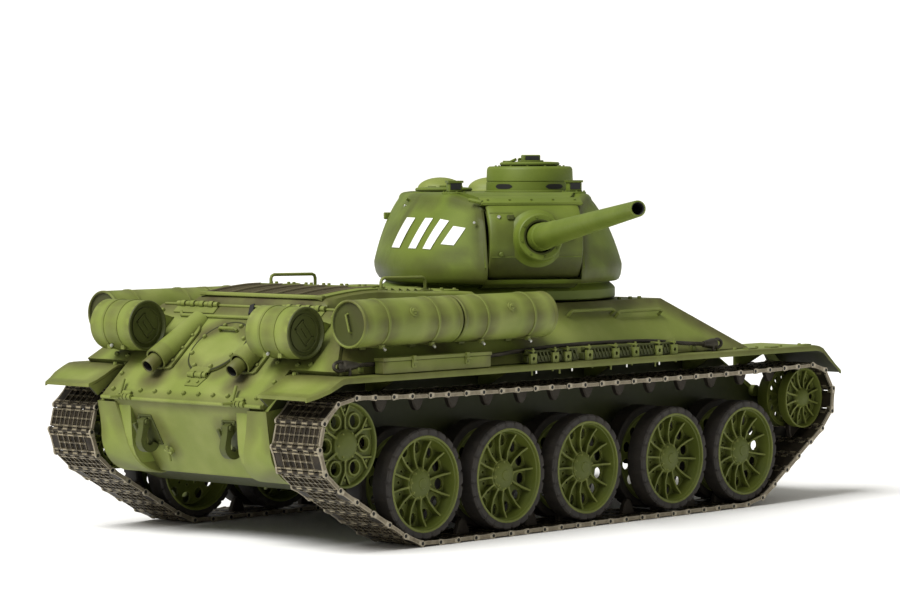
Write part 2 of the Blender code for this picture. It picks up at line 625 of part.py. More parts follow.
# ---------------------------------------------------------------- glacis fittings
def driver_hatch(parent):
    """Driver's hatch on the glacis, hinged along its upper edge."""
    wide, tall = DRIVER_HATCH_SIZE
    door = block("door", (-wide / 2, -tall / 2, GAP), (wide / 2, tall / 2, 2.6 * MM))
    scopes = [block("scope", (x - 3.5 * MM, 2.0 * MM, 2.0 * MM), (x + 3.5 * MM, 8.0 * MM, 4.6 * MM))
              for x in (-6.5 * MM, 6.5 * MM)]
    mesh = joined(door, *scopes)
    frame = glacis_matrix(DRIVER_HATCH_X, DRIVER_HATCH_HEIGHT, 0.0)
    mesh.transform(frame)
    hinge = frame @ Vector((0.0, tall / 2 + 0.6 * MM, 1.5 * MM))
    node("driver_hatch", mesh, "green_paint", parent, hinge)


def bow_gun(parent):
    """Machine gun in its ball on the glacis."""
    frame = glacis_matrix(BOW_GUN_X, BOW_GUN_HEIGHT, 0.0)
    centre = frame @ Vector((0.0, 0.0, 0.5 * MM))
    radius = BOW_GUN_RADIUS
    half_circle = [(radius * math.cos(math.pi * i / 8.0), radius * math.sin(math.pi * i / 8.0))
                   for i in range(1, 8)]
    ball = turned("ball", [(radius, 0.0)] + half_circle + [(-radius, 0.0)], 16, "Y")
    gun = cylinder("gun", (0.0, 0.0), 1.7 * MM, -22.0 * MM, -4.0 * MM, "Y", 12)
    node("bow_gun", moved(joined(ball, gun), centre), "green_paint", parent, centre)


# ---------------------------------------------------------------- running gear
def wheel_mesh(side):
    """Double road wheel about its axle, with its blind bore open on the hull side."""
    profile = ((24.0, 0.0), (21.4, 8.0), (19.5, 21.0), (26.8, 22.4), (26.8, 25.8), (16.9, 25.8),
               (16.9, 8.5), (9.9, 8.5), (9.9, 25.8), (0.0, 25.8), (0.0, 2.6), (21.0, 2.6), (21.0, 0.0))
    points = [(side * (WHEEL_INNER_FACE + a * MM), r * MM) for a, r in profile]
    return turned("road_wheel", points, ROUND)


def arm_mesh(side):
    """Swing arm about its pivot, with the stub axle at its end."""
    end = (ARM_LENGTH_Y, WHEEL_AXLE_HEIGHT - ARM_PIVOT_HEIGHT)
    lean = math.atan2(end[1], end[0])
    outline = arc((0.0, 0.0), 5.0 * MM, lean + math.pi / 2, lean + 1.5 * math.pi, 4)
    outline += arc(end, 4.6 * MM, lean - math.pi / 2, lean + math.pi / 2, 4)
    plate = prism("arm", outline, *sorted((side * 58.2 * MM, side * 62.8 * MM)))
    boss = cylinder("boss", (0.0, 0.0), 4.2 * MM, *sorted((side * 57.3 * MM, side * 60.0 * MM)), "X", 10)
    axle = cylinder("axle", end, AXLE_RADIUS, *sorted((side * 61.0 * MM, side * 83.8 * MM)), "X", 10)
    return joined(plate, boss, axle)


def drive_wheel_mesh(side, radius, faces, gap, core, hub):
    """Double-disc wheel with a stub shaft that enters the hull."""
    inner, outer = faces
    profile = ((hub, 0.0), (hub, 5.5), (outer - 3.0, 7.5), (outer - 2.4, radius - 3.0), (outer, radius - 2.0),
               (outer, radius), (gap[1], radius), (gap[1], core), (gap[0], core), (gap[0], radius),
               (inner, radius), (inner, 3.0), (54.6, 3.0), (54.6, 0.0))
    return turned("drive_wheel", [(side * a * MM, r * MM) for a, r in profile], ROUND)


def tangent_angle(first, first_radius, second, second_radius):
    """Angle of the touch points of the belt line that runs outside two circles."""
    run = (second[0] - first[0], second[1] - first[1])
    return math.atan2(run[1], run[0]), math.acos((first_radius - second_radius) / math.hypot(*run))


def track_path(offset):
    """Side view of the track's pin line, moved out by an offset, as one closed loop."""
    ground_radius = WHEEL_AXLE_HEIGHT - PIN_HEIGHT
    rear_wheel = (WHEEL_STATIONS[0], WHEEL_AXLE_HEIGHT)
    front_wheel = (WHEEL_STATIONS[-1], WHEEL_AXLE_HEIGHT)
    lean, spread = tangent_angle(rear_wheel, ground_radius, SPROCKET_CENTRE, SPROCKET_PIN_RADIUS)
    rear_touch = lean - spread
    lean, spread = tangent_angle(front_wheel, ground_radius, IDLER_CENTRE, IDLER_PIN_RADIUS)
    front_touch = lean + spread - 2.0 * math.pi

    def wrap(centre, radius, start, stop):
        steps = max(2, math.ceil(abs(stop - start) / ARC_STEP))
        return arc(centre, radius + offset, start, stop, steps)

    points = wrap(rear_wheel, ground_radius, -math.pi / 2, rear_touch)
    points += wrap(SPROCKET_CENTRE, SPROCKET_PIN_RADIUS, rear_touch, math.pi / 2)
    start = (SPROCKET_CENTRE[0], SPROCKET_CENTRE[1] + SPROCKET_PIN_RADIUS + offset)
    stop = (IDLER_CENTRE[0], IDLER_CENTRE[1] + IDLER_PIN_RADIUS + offset)
    for i in range(1, RUN_STEPS):
        t = i / RUN_STEPS
        sag = TRACK_SAG * (1.0 - (2.0 * t - 1.0) ** 4)
        points.append((start[0] + (stop[0] - start[0]) * t, start[1] + (stop[1] - start[1]) * t - sag))
    points += wrap(IDLER_CENTRE, IDLER_PIN_RADIUS, math.pi / 2, front_touch + 2.0 * math.pi)
    points += wrap(front_wheel, ground_radius, front_touch, -math.pi / 2)
    return points


def track(name, side, parent):
    """Track as one closed band around the wheels."""
    shape = bmesh.new()
    rows = []
    reach = (side * TRACK_INNER, side * TRACK_OUTER)
    for offset, x in ((PIN_HEIGHT, reach[0]), (PIN_HEIGHT, reach[1]), (-TRACK_INWARD, reach[1]),
                      (-TRACK_INWARD, reach[0])):
        rows.append([shape.verts.new((x, y, z)) for y, z in track_path(offset)])
    count = len(rows[0])
    for first, second in zip(rows, rows[1:] + rows[:1]):
        for i in range(count):
            j = (i + 1) % count
            shape.faces.new((first[i], first[j], second[j], second[i]))
    node(name, finish_mesh(name, shape), "track_metal", parent)


def running_gear(parent):
    """Both sides' arms, wheels, sprocket, idler and track."""
    for label, side in SIDES.items():
        wheel = wheel_mesh(side)
        arm = arm_mesh(side)
        for number, y in enumerate(WHEEL_STATIONS, start=1):
            pivot = empty(f"arm_axis_{label}_{number}", parent, (0.0, y - ARM_LENGTH_Y, ARM_PIVOT_HEIGHT))
            node(f"swing_arm_{label}_{number}", arm.copy(), "dark_green_paint", pivot)
            drop = WHEEL_AXLE_HEIGHT - ARM_PIVOT_HEIGHT
            hub = empty(f"hub_axis_{label}_{number}", pivot, (0.0, ARM_LENGTH_Y, drop))
            node(f"road_wheel_{label}_{number}", wheel.copy(), "dark_green_paint", hub)
        sprocket = drive_wheel_mesh(side, 19.4, (66.0, 87.5), (72.5, 80.5), 11.5, 89.0)
        hub = empty("sprocket_axis_" + label, parent, (0.0, *SPROCKET_CENTRE))
        node("sprocket_" + label, sprocket, "dark_green_paint", hub)
        idler = drive_wheel_mesh(side, 15.8, (67.0, 85.4), (73.2, 80.2), 8.5, 86.6)
        hub = empty("idler_axis_" + label, parent, (0.0, *IDLER_CENTRE))
        node("idler_" + label, idler, "dark_green_paint", hub)
        track("track_" + label, side, parent)


# ---------------------------------------------------------------- turret
def casting_ring(plan, height, shrink=0.0, drop=0.0):
    """Closed ring from a half plan of (half width, forward) points, shrunk towards the middle."""
    half = []
    for width, forward in plan:
        reach = math.hypot(width, forward)
        scale = 1.0 - shrink / (reach * MM)
        z = height - drop * max(0.0, forward - 45.0) * MM
        half.append((width * scale * MM, -forward * scale * MM, z))
    mirror = [(-x, y, z) for x, y, z in reversed(half[1:-1])]
    return half + mirror


def blended(first, second, share):
    """Plan part of the way between two plans."""
    return [(a[0] + (b[0] - a[0]) * share, a[1] + (b[1] - a[1]) * share) for a, b in zip(first, second)]


def turret_body(parent):
    """Cast turret shell on its collar, with the gun, hatch and cupola openings."""
    outer = loft("casting", [
        casting_ring(FOOT_PLAN, CASTING_BOTTOM), casting_ring(WIDEST_PLAN, CASTING_WIDEST),
        casting_ring(blended(WIDEST_PLAN, ROOF_PLAN, 0.42), 139.0 * MM),
        casting_ring(ROOF_PLAN, ROOF_EDGE, 0.0, ROOF_FRONT_DROP),
        casting_ring(ROOF_PLAN, ROOF_TOP, 3.0 * MM, ROOF_FRONT_DROP)])
    wall = CASTING_WALL
    hollow = loft("hollow", [
        casting_ring(FOOT_PLAN, CASTING_BOTTOM + 2.0 * MM, wall + MM),
        casting_ring(WIDEST_PLAN, CASTING_WIDEST, wall),
        casting_ring(ROOF_PLAN, ROOF_EDGE - wall, wall, ROOF_FRONT_DROP),
        casting_ring(ROOF_PLAN, ROOF_TOP - wall, wall + 4.0 * MM, ROOF_FRONT_DROP)])
    collar = cylinder("collar", (0.0, 0.0), COLLAR_RADIUS, COLLAR_BOTTOM, CASTING_BOTTOM + 0.6 * MM, "Z", 40)
    ring = cylinder("ring", (0.0, 0.0), RING_RADIUS, 102.0 * MM, 109.0 * MM, "Z", 32)
    bore = cylinder("bore", (0.0, 0.0), RING_BORE, 90.0 * MM, 121.0 * MM, "Z", 32)
    pocket = cylinder("pocket", TRUNNION, MANTLET_RADIUS + 0.6 * MM, -MANTLET_HALF_WIDTH - 0.6 * MM,
                      MANTLET_HALF_WIDTH + 0.6 * MM, "X", 40)
    holes = ((CUPOLA_CENTRE, CUPOLA_HOLE), (LOADER_HATCH_CENTRE, LOADER_HATCH_HOLE))
    openings = [cylinder("opening", centre, radius, 150.0 * MM, 170.0 * MM, "Z", 24)
                for centre, radius in holes]
    shell = cut(outer, hollow, pocket, *openings)
    node("turret_body", cut(joined(shell, joined(collar, ring)), bore), "green_paint", parent)


def cupola_parts(parent):
    """Commander's cupola ring, its hatch with the periscope, and the loader's hatch."""
    x, y = CUPOLA_CENTRE
    r = CUPOLA_RADIUS
    wall = r - 5.8 * MM
    lip = r - 8.8 * MM
    ring = turned("ring", ((161.8 * MM, wall), (161.8 * MM, r), (172.6 * MM, r),
                           (174.6 * MM, r - 2.2 * MM), (174.6 * MM, lip), (172.0 * MM, lip),
                           (172.0 * MM, wall)), 32, "Z")
    node("cupola", moved(ring, (x, y, 0.0)), "green_paint", parent)
    lid = turned("lid", ((174.9 * MM, 0.0), (174.9 * MM, 15.5 * MM), (176.2 * MM, 15.0 * MM),
                         (176.6 * MM, 0.0)), 24, "Z")
    lid.transform(Matrix.Translation((x, y, 0.0)))
    scope = block("scope", (x - 4.4 * MM, y - 3.0 * MM, 176.0 * MM), (x + 4.4 * MM, y + 3.0 * MM, 180.4 * MM))
    node("commander_hatch", joined(lid, scope), "green_paint", parent, (x, y + 16.4 * MM, 175.4 * MM))
    x, y = LOADER_HATCH_CENTRE
    r = LOADER_HATCH_RADIUS
    lid = turned("lid", ((161.8 * MM, 0.0), (161.8 * MM, r), (163.0 * MM, r),
                         (163.6 * MM, r - 2.0 * MM), (163.8 * MM, 0.0)), 24, "Z")
    lid.transform(Matrix.Translation((x, y, 0.0)))
    node("loader_hatch", lid, "green_paint", parent, (x, y + 15.8 * MM, 162.4 * MM))
    for label, side in SIDES.items():
        r = VENT_RADIUS
        dome = turned("dome", ((161.8 * MM, 0.0), (161.8 * MM, r), (162.8 * MM, r),
                               (165.6 * MM, 0.8 * r), (167.8 * MM, 0.48 * r), (168.8 * MM, 0.0)), 24, "Z")
        dome.transform(Matrix.Translation((side * VENT_CENTRE[0], VENT_CENTRE[1], 0.0)))
        node("vent_dome_" + label, dome, "green_paint", parent)


def gun(parent):
    """Mantlet that turns on the trunnions and the barrel that slides in it."""
    axis = empty("trunnion_axis", parent, (0.0, *TRUNNION), (-GUN_ELEVATION, 0.0, 0.0))
    low, high = math.radians(180.0 + 60.0), math.radians(180.0 - 58.0)
    outline = arc((0.0, 0.0), MANTLET_RADIUS, low, high, 12)
    outline += arc((0.0, 0.0), MANTLET_RADIUS - MANTLET_WALL, high, low, 8)
    shield = prism("shield", outline, -MANTLET_HALF_WIDTH, MANTLET_HALF_WIDTH)
    sleeve = turned("sleeve", ((-18.0 * MM, 0.0), (-18.0 * MM, 11.4 * MM), (-26.0 * MM, 11.0 * MM),
                               (-29.0 * MM, 9.0 * MM), (-29.0 * MM, 0.0)), 24, "Y")
    bore = cylinder("bore", (0.0, 0.0), BARREL_BASE_RADIUS + 0.4 * MM, -40.0 * MM, 0.0, "Y", 24)
    node("mantlet", cut(joined(shield, sleeve), bore), "green_paint", axis)
    tip = -MUZZLE_REACH
    base, muzzle = BARREL_BASE_RADIUS, BARREL_MUZZLE_RADIUS
    bottom = tip + BORE_DEPTH
    barrel = turned("barrel", ((-4.0 * MM, 0.0), (-4.0 * MM, base), (-30.0 * MM, base),
                               (tip + 0.6 * MM, muzzle), (tip, muzzle - 0.3 * MM), (tip, BORE_RADIUS),
                               (bottom, BORE_RADIUS), (bottom, 0.0)), 20, "Y")
    node("gun_barrel", barrel, "green_paint", axis)


def turret(parent):
    """The whole turret, turned to its resting direction."""
    axis = empty("turret_axis", parent, (0.0, TURRET_RING_Y, 0.0), (0.0, 0.0, TURRET_YAW))
    turret_body(axis)
    cupola_parts(axis)
    gun(axis)


def build():
    """Clear the file and make every solid."""
    for item in list(bpy.data.objects):
        bpy.data.objects.remove(item)
    datum = empty("ground_datum", None, (0.0, 0.0, -BELLY_CLEARANCE))
    lower_hull(datum)
    upper_hull(datum)
    rear_plate(datum)
    transmission_hatch(datum)
    engine_deck_cover(datum)
    for label, side in SIDES.items():
        fender("fender_" + label, side, datum)
        exhaust("exhaust_" + label, side, datum)
        for place, station in DRUM_STATIONS.items():
            fuel_drum(f"fuel_drum_{label}_{place}", side, station, datum)
        rear_drum("rear_drum_" + label, side, datum)
    tool_box(datum)
    tow_cable(datum)
    electronics(datum)
    driver_hatch(datum)
    bow_gun(datum)
    running_gear(datum)
    turret(datum)


build()
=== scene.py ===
"""Visual model of a radio controlled model tank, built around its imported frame.

Sizes are millimetres above the ground that the tracks stand on, with the front facing -Y and the
tank's right side at -X; ROW turns them into the frame's metres. The turret is modelled facing -Y
about its ring's centre and then turned to its resting direction.
"""
import logging
import math
from dataclasses import dataclass
from enum import Enum
from typing import Iterable, Sequence

import bmesh
import bpy
from mathutils import Matrix, Vector
from mathutils.geometry import tessellate_polygon


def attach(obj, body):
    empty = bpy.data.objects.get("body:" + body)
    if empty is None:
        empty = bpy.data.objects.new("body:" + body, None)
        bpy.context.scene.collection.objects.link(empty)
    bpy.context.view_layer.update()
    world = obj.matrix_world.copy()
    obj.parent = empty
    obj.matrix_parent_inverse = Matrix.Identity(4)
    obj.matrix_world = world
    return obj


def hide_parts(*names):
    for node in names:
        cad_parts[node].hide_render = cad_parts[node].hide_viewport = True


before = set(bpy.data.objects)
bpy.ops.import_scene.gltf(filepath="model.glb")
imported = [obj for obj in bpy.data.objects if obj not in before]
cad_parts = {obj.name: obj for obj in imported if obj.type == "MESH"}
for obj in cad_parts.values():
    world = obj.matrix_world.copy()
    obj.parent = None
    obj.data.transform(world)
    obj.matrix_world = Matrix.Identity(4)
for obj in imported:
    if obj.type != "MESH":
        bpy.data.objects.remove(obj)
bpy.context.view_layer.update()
LOG = logging.getLogger("tank")

MM = 0.001
CLEARANCE = 25.0
ROW = Matrix.Translation((0.0, 0.0, -CLEARANCE * MM)) @ Matrix.Scale(MM, 4)
RING_Y = -28.7
TURRET_YAW = math.radians(-123.4)
TURRET = Matrix.Translation((0.0, RING_Y, 0.0)) @ Matrix.Rotation(TURRET_YAW, 4, "Z")
TRUNNION = (0.0, -56.5, 137.6)
GUN_ELEVATION = math.radians(5.7)
GUN = TURRET @ Matrix.Translation(TRUNNION) @ Matrix.Rotation(-GUN_ELEVATION, 4, "X")
SIDES = {"right": -1.0, "left": 1.0}
UP = (0.0, 0.0, 1.0)
Point = Sequence[float]
Stroke = tuple[Point, Point, float, float]


def side_name(side: float) -> str:
    """Name of the side that a sign stands for."""
    return "right" if side < 0 else "left"


# ---------------------------------------------------------------- shader maths
class Tree:
    """The node tree of a material or of the world, with one way to add any node."""

    def __init__(self, owner: bpy.types.Material | bpy.types.World) -> None:
        """Turn the owner's nodes on and keep its shader.

        Args:
            owner: the material or the world.
        """
        owner.use_nodes = True
        self.owner = owner
        self.nodes = owner.node_tree.nodes
        self.links = owner.node_tree.links
        self.shader = self.nodes.get("Principled BSDF") or self.nodes["Background"]

    def add(self, kind: str, settings: dict | None = None, out: int | str = 0,
            **sockets: object) -> "Value":
        """Add a node.

        Args:
            kind: the node's type name.
            settings: its own settings, made before its sockets are used.
            out: which output the result reads.
            sockets: values or links, by socket name or by s0, s1 for a socket's number.

        Returns:
            The chosen output.
        """
        node = self.nodes.new(kind)
        for key, value in (settings or {}).items():
            setattr(node, key, value)
        for key, value in sockets.items():
            number = key[1:]
            place = int(number) if number.isdigit() else key.replace("_", " ")
            self.feed(node.inputs[place], value)
        return Value(self, node.outputs[out])

    def feed(self, socket: object, value: object) -> None:
        """Link a value to a socket, or set the socket to a number or a colour.

        Args:
            socket: the input socket.
            value: a value to link, a number or a colour.
        """
        if isinstance(value, Value):
            self.links.new(value.socket, socket)
        else:
            socket.default_value = value

    def shade(self, **values: object) -> None:
        """Feed the shader's sockets by name."""
        for key, value in values.items():
            self.feed(self.shader.inputs[key.replace("_", " ")], value)

    def place(self) -> "Value":
        """Object coordinates."""
        return self.add("ShaderNodeTexCoord", out="Object")

    def noise(self, size: float, detail: float = 3.0, where: "Value | None" = None) -> "Value":
        """Cloudy noise from 0 to 1 whose patches are about the given size in millimetres."""
        return self.add("ShaderNodeTexNoise", out="Fac", Vector=where or self.place(),
                        Scale=1.0 / (size * MM), Detail=detail, Roughness=0.55)

    def edges(self, reach: float, inside: bool = True) -> "Value":
        """Mask of the outer edges, or, when inside is False, of the corners by their occlusion, which
        carries painted shade.
        """
        settings = {"inside": inside, "only_local": inside, "samples": 6}
        return 1.0 - self.add("ShaderNodeAmbientOcclusion", settings, out="AO", Distance=reach * MM)

    def mix(self, share: "Value | float", first: object, second: object) -> "Value":
        """Colour part of the way from the first to the second."""
        return self.add("ShaderNodeMix", {"data_type": "RGBA"}, out=2, s0=share, s6=first, s7=second)

    def bump(self, height: "Value", strength: float, depth: float) -> None:
        """Raise the surface by a height, in millimetres at full height."""
        node = self.add("ShaderNodeBump", Strength=strength, Distance=depth * MM, Height=height)
        self.feed(self.shader.inputs["Normal"], node)


class Value:
    """A socket that can be used in an expression."""

    def __init__(self, tree: Tree, socket: object) -> None:
        """Keep the tree and the socket."""
        self.tree = tree
        self.socket = socket

    def maths(self, operation: str, first: object, second: object = 0.0) -> "Value":
        """Add one Math node."""
        return self.tree.add("ShaderNodeMath", {"operation": operation}, s0=first, s1=second)

    def __add__(self, other: object) -> "Value":
        """Sum."""
        return self.maths("ADD", self, other)

    def __radd__(self, other: object) -> "Value":
        """Sum, number first."""
        return self.maths("ADD", other, self)

    def __sub__(self, other: object) -> "Value":
        """Difference."""
        return self.maths("SUBTRACT", self, other)

    def __rsub__(self, other: object) -> "Value":
        """Difference, number first."""
        return self.maths("SUBTRACT", other, self)

    def __mul__(self, other: object) -> "Value":
        """Product."""
        return self.maths("MULTIPLY", self, other)

    def __rmul__(self, other: object) -> "Value":
        """Product, number first."""
        return self.maths("MULTIPLY", other, self)

    def steps(self, low: float, high: float) -> "Value":
        """Smooth rise from 0 at low to 1 at high."""
        return self.tree.add("ShaderNodeMapRange", {"interpolation_type": "SMOOTHSTEP"}, Value=self,
                             From_Min=low, From_Max=high)

    def most(self, other: object) -> "Value":
        """The larger of two values."""
        return self.maths("MAXIMUM", self, other)


# ---------------------------------------------------------------- finishes
Colour = tuple[float, float, float, float]


@dataclass(frozen=True)
class Airbrushed:
    """Sprayed paint: a base coat, cloudy tone, brown airbrushed shading on edges, painted shade that darkens
    the corners, fine grain.
    """

    name: str
    base: Colour
    tint: Colour
    shade: Colour
    # deep: colour of the painted shade in corners and creases
    deep: Colour
    slot: str
    edge: float = 0.35
    reach: float = 1.4
    # corner: strength of the painted shade in corners
    corner: float = 0.8
    sheen: float = 0.46
    specular: float = 0.3

    def build(self) -> bpy.types.Material:
        """Make the material.

        Returns:
            The material.
        """
        tree = Tree(bpy.data.materials.new(self.name))
        clouds = tree.noise(22.0, 2.0).steps(0.38, 0.66)
        colour = tree.mix(clouds * 0.6, self.base, self.tint)
        spray = tree.add("ShaderNodeAttribute", {"attribute_name": "spray"}, out="Fac")
        breakup = tree.noise(9.0, 3.0).steps(0.25, 0.7)
        edge = tree.edges(self.reach).steps(0.08, 0.5) * self.edge * (breakup * 0.5 + 0.5)
        mask = edge.most(spray * (breakup * 0.25 + 0.8))
        colour = tree.mix(mask, colour, self.shade)
        # Painted shade: corners and creases, found by occlusion, darken towards the deep colour.
        corner = tree.edges(5.0, inside=False).steps(0.25, 0.95)
        colour = tree.mix(corner * self.corner, colour, self.deep)
        grain = tree.noise(0.45, 4.0)
        colour = tree.mix(grain.steps(0.35, 0.75) * 0.10, colour, self.shade)
        tree.shade(Base_Color=colour, Roughness=self.sheen + 0.16 * tree.noise(3.0, 3.0),
                   Specular_IOR_Level=self.specular)
        tree.bump(grain, 0.25, 0.04)
        return tree.owner


@dataclass(frozen=True)
class WornMetal:
    """Dark cast metal whose raised edges are rubbed bright, with patches of dust."""

    name: str
    base: Colour
    worn: Colour
    dust: Colour
    slot: str
    reach: float = 0.9
    wear: float = 0.9
    rough: float = 0.5
    metallic: float = 0.55

    def build(self) -> bpy.types.Material:
        """Make the material.

        Returns:
            The material.
        """
        tree = Tree(bpy.data.materials.new(self.name))
        patches = tree.noise(4.0, 4.0)
        colour = tree.mix(patches.steps(0.4, 0.7) * 0.7, self.base, self.dust)
        wear = tree.edges(self.reach).steps(0.1, 0.5) * self.wear * patches.steps(0.22, 0.5)
        colour = tree.mix(wear, colour, self.worn)
        grain = tree.noise(0.5, 4.0)
        tree.shade(Base_Color=colour, Roughness=self.rough + 0.25 * grain - 0.12 * wear,
                   Metallic=self.metallic + 0.3 * wear)
        tree.bump(grain, 0.35, 0.06)
        return tree.owner


@dataclass(frozen=True)
class Moulded:
    """Rubber or plastic: one colour with dusty patches and a fine texture."""

    name: str
    base: Colour
    dust: Colour
    slot: str
    rough: float = 0.75
    amount: float = 0.5
    grain: float = 0.5
    bump: float = 0.05

    def build(self) -> bpy.types.Material:
        """Make the material.

        Returns:
            The material.
        """
        tree = Tree(bpy.data.materials.new(self.name))
        dust = tree.noise(7.0, 4.0).steps(0.35, 0.7) * self.amount
        texture = tree.noise(self.grain, 3.0)
        colour = tree.mix(dust, self.base, self.dust)
        tree.shade(Base_Color=colour, Roughness=self.rough + 0.12 * texture)
        tree.bump(texture, 0.3, self.bump)
        return tree.owner


@dataclass(frozen=True)
class TwistedWire:
    """Steel rope: strands that wind round the cable's own length."""

    name: str
    base: Colour
    worn: Colour
    slot: str

    def build(self) -> bpy.types.Material:
        """Make the material.

        Returns:
            The material.
        """
        tree = Tree(bpy.data.materials.new(self.name))
        patches = tree.noise(5.0, 3.0).steps(0.35, 0.7)
        wear = tree.edges(0.35).steps(0.1, 0.6) * 0.5
        colour = tree.mix((patches * 0.5).most(wear), self.base, self.worn)
        tree.shade(Base_Color=colour, Roughness=0.42 + 0.2 * patches, Metallic=0.6)
        tree.bump(tree.noise(0.4, 3.0), 0.3, 0.05)
        return tree.owner


class Finish(Enum):
    """Every finish on the tank."""

    GREEN = Airbrushed("airbrushed_green", (0.168, 0.206, 0.037, 1.0), (0.232, 0.264, 0.068, 1.0),
                       (0.058, 0.047, 0.017, 1.0), (0.016, 0.018, 0.005, 1.0), "green_paint")
    TURRET = Airbrushed("airbrushed_green_turret", (0.108, 0.148, 0.014, 1.0),
                        (0.142, 0.184, 0.024, 1.0), (0.036, 0.032, 0.009, 1.0),
                        (0.014, 0.017, 0.005, 1.0), "green_paint", edge=0.3)
    # Shaded copy of the green paint: a darker green that paints shade on drum ends, recesses, linings, the
    # lug, the tow hooks and the cleats.
    CAP = Airbrushed("shaded_green_cap", (0.052, 0.063, 0.012, 1.0), (0.070, 0.082, 0.018, 1.0),
                     (0.040, 0.036, 0.012, 1.0), (0.008, 0.009, 0.003, 1.0), "green_paint", edge=0.2)
    # Painted shade: a much darker copy of the green paint for the lower hull, the swing arms, the guards'
    # undersides and the shadow line round the access hatch.
    UNDER = Airbrushed("shadowed_green", (0.026, 0.031, 0.006, 1.0), (0.036, 0.042, 0.009, 1.0),
                       (0.022, 0.019, 0.007, 1.0), (0.006, 0.006, 0.002, 1.0), "green_paint", edge=0.2)
    GRILLE = Airbrushed("brown_shaded_grille", (0.110, 0.094, 0.048, 1.0), (0.140, 0.124, 0.064, 1.0),
                        (0.070, 0.054, 0.028, 1.0), (0.012, 0.010, 0.006, 1.0), "green_paint", edge=0.2)
    # Wheel paint darkened as painted shade under the guards; its edge colour is a lighter green, a painted
    # highlight on rims and ribs, and its corners take strong painted shade.
    WHEEL = Airbrushed("wheel_green_painted_shade_and_highlight", (0.070, 0.088, 0.010, 1.0), (0.100, 0.118, 0.016, 1.0),
                       (0.210, 0.230, 0.055, 1.0), (0.005, 0.007, 0.002, 1.0), "wheel_green",
                       edge=0.7, reach=0.9, corner=0.97)
    TYRE = Moulded("dusty_tyre", (0.014, 0.011, 0.008, 1.0), (0.034, 0.027, 0.018, 1.0),
                   "tyre_rubber", rough=0.62)
    LINK = WornMetal("cast_link", (0.016, 0.012, 0.007, 1.0), (0.36, 0.31, 0.21, 1.0),
                     (0.040, 0.029, 0.017, 1.0), "track_metal", reach=0.28, rough=0.42)
    LINK_END = WornMetal("worn_link_end", (0.260, 0.225, 0.160, 1.0), (0.52, 0.47, 0.36, 1.0),
                         (0.140, 0.112, 0.074, 1.0), "bare_steel", wear=0.7, rough=0.45, reach=0.4)
    HORN = WornMetal("guide_horn", (0.045, 0.038, 0.028, 1.0), (0.13, 0.11, 0.08, 1.0),
                     (0.034, 0.026, 0.018, 1.0), "track_metal", wear=0.4)
    SCREW = WornMetal("bright_screw", (0.62, 0.63, 0.60, 1.0), (0.85, 0.85, 0.82, 1.0),
                      (0.40, 0.40, 0.38, 1.0), "bare_steel", rough=0.28, metallic=0.9)
    WIRE = TwistedWire("tow_rope", (0.030, 0.026, 0.018, 1.0), (0.090, 0.080, 0.058, 1.0),
                       "cable_steel")
    # Near-black painted shadow in openings: slits, slots, bores, the coaxial port and the pin holes.
    DARK = Moulded("opening_painted_shadow", (0.003, 0.003, 0.002, 1.0), (0.006, 0.005, 0.004, 1.0),
                   "vision_glass", rough=0.7, amount=0.3)
    GLASS = Moulded("vision_block", (0.002, 0.003, 0.002, 1.0), (0.005, 0.006, 0.004, 1.0),
                    "vision_glass", rough=0.25, amount=0.2, bump=0.005)
    WHITE = Moulded("stencilled_white", (0.86, 0.86, 0.82, 1.0), (0.70, 0.70, 0.62, 1.0),
                    "marking_white", rough=0.6, amount=0.25, bump=0.01)
    BLACK = Moulded("black_moulding", (0.010, 0.010, 0.010, 1.0), (0.022, 0.020, 0.018, 1.0),
                    "black_plastic", rough=0.5)
    BATTERY = Moulded("shrink_wrap", (0.015, 0.040, 0.160, 1.0), (0.020, 0.055, 0.200, 1.0),
                      "battery_wrap", rough=0.35)
    BOARD = Moulded("solder_mask", (0.010, 0.100, 0.035, 1.0), (0.014, 0.130, 0.045, 1.0),
                    "circuit_board", rough=0.4)

    @property
    def material(self) -> bpy.types.Material:
        """The finish's material, made on first use."""
        found = bpy.data.materials.get(self.value.name)
        return found or self.value.build()


# ---------------------------------------------------------------- meshes
class Axis(Enum):
    """Direction that a round or extruded shape runs along."""

    X = "X"
    Y = "Y"
    Z = "Z"

    def place(self, along: float, a: float, b: float) -> tuple[float, float, float]:
        """Point from its place along the axis and its two other coordinates."""
        return {"X": (along, a, b), "Y": (a, along, b), "Z": (a, b, along)}[self.value]


def ring_points(radius: float, count: int, start: float = 0.0) -> list[tuple[float, float]]:
    """Points evenly round a circle."""
    turns = [start + 2.0 * math.pi * i / count for i in range(count)]
    return [(radius * math.cos(turn), radius * math.sin(turn)) for turn in turns]


def arc(centre: Point, radius: float, start: float, stop: float, steps: int) -> list[tuple[float, float]]:
    """Points along an arc, with its angles in degrees."""
    turns = [math.radians(start + (stop - start) * i / steps) for i in range(steps + 1)]
    return [(centre[0] + radius * math.cos(t), centre[1] + radius * math.sin(t)) for t in turns]


def smooth_path(points: Sequence[Point], steps: int) -> list[Vector]:
    """Points read from a smooth curve through the given ones.

    Args:
        points: points in order.
        steps: steps from one point to the next.

    Returns:
        The points of the curve.
    """
    places = [Vector(point) for point in points]
    ends = [places[0] * 2 - places[1]] + places + [places[-1] * 2 - places[-2]]
    route = []
    for p0, p1, p2, p3 in zip(ends, ends[1:], ends[2:], ends[3:]):
        for i in range(steps):
            t = i / steps
            route.append(0.5 * (2 * p1 + (p2 - p0) * t + (2 * p0 - 5 * p1 + 4 * p2 - p3) * t * t
                                + (3 * p1 - p0 - 3 * p2 + p3) * t * t * t))
    return route + [places[-1]]


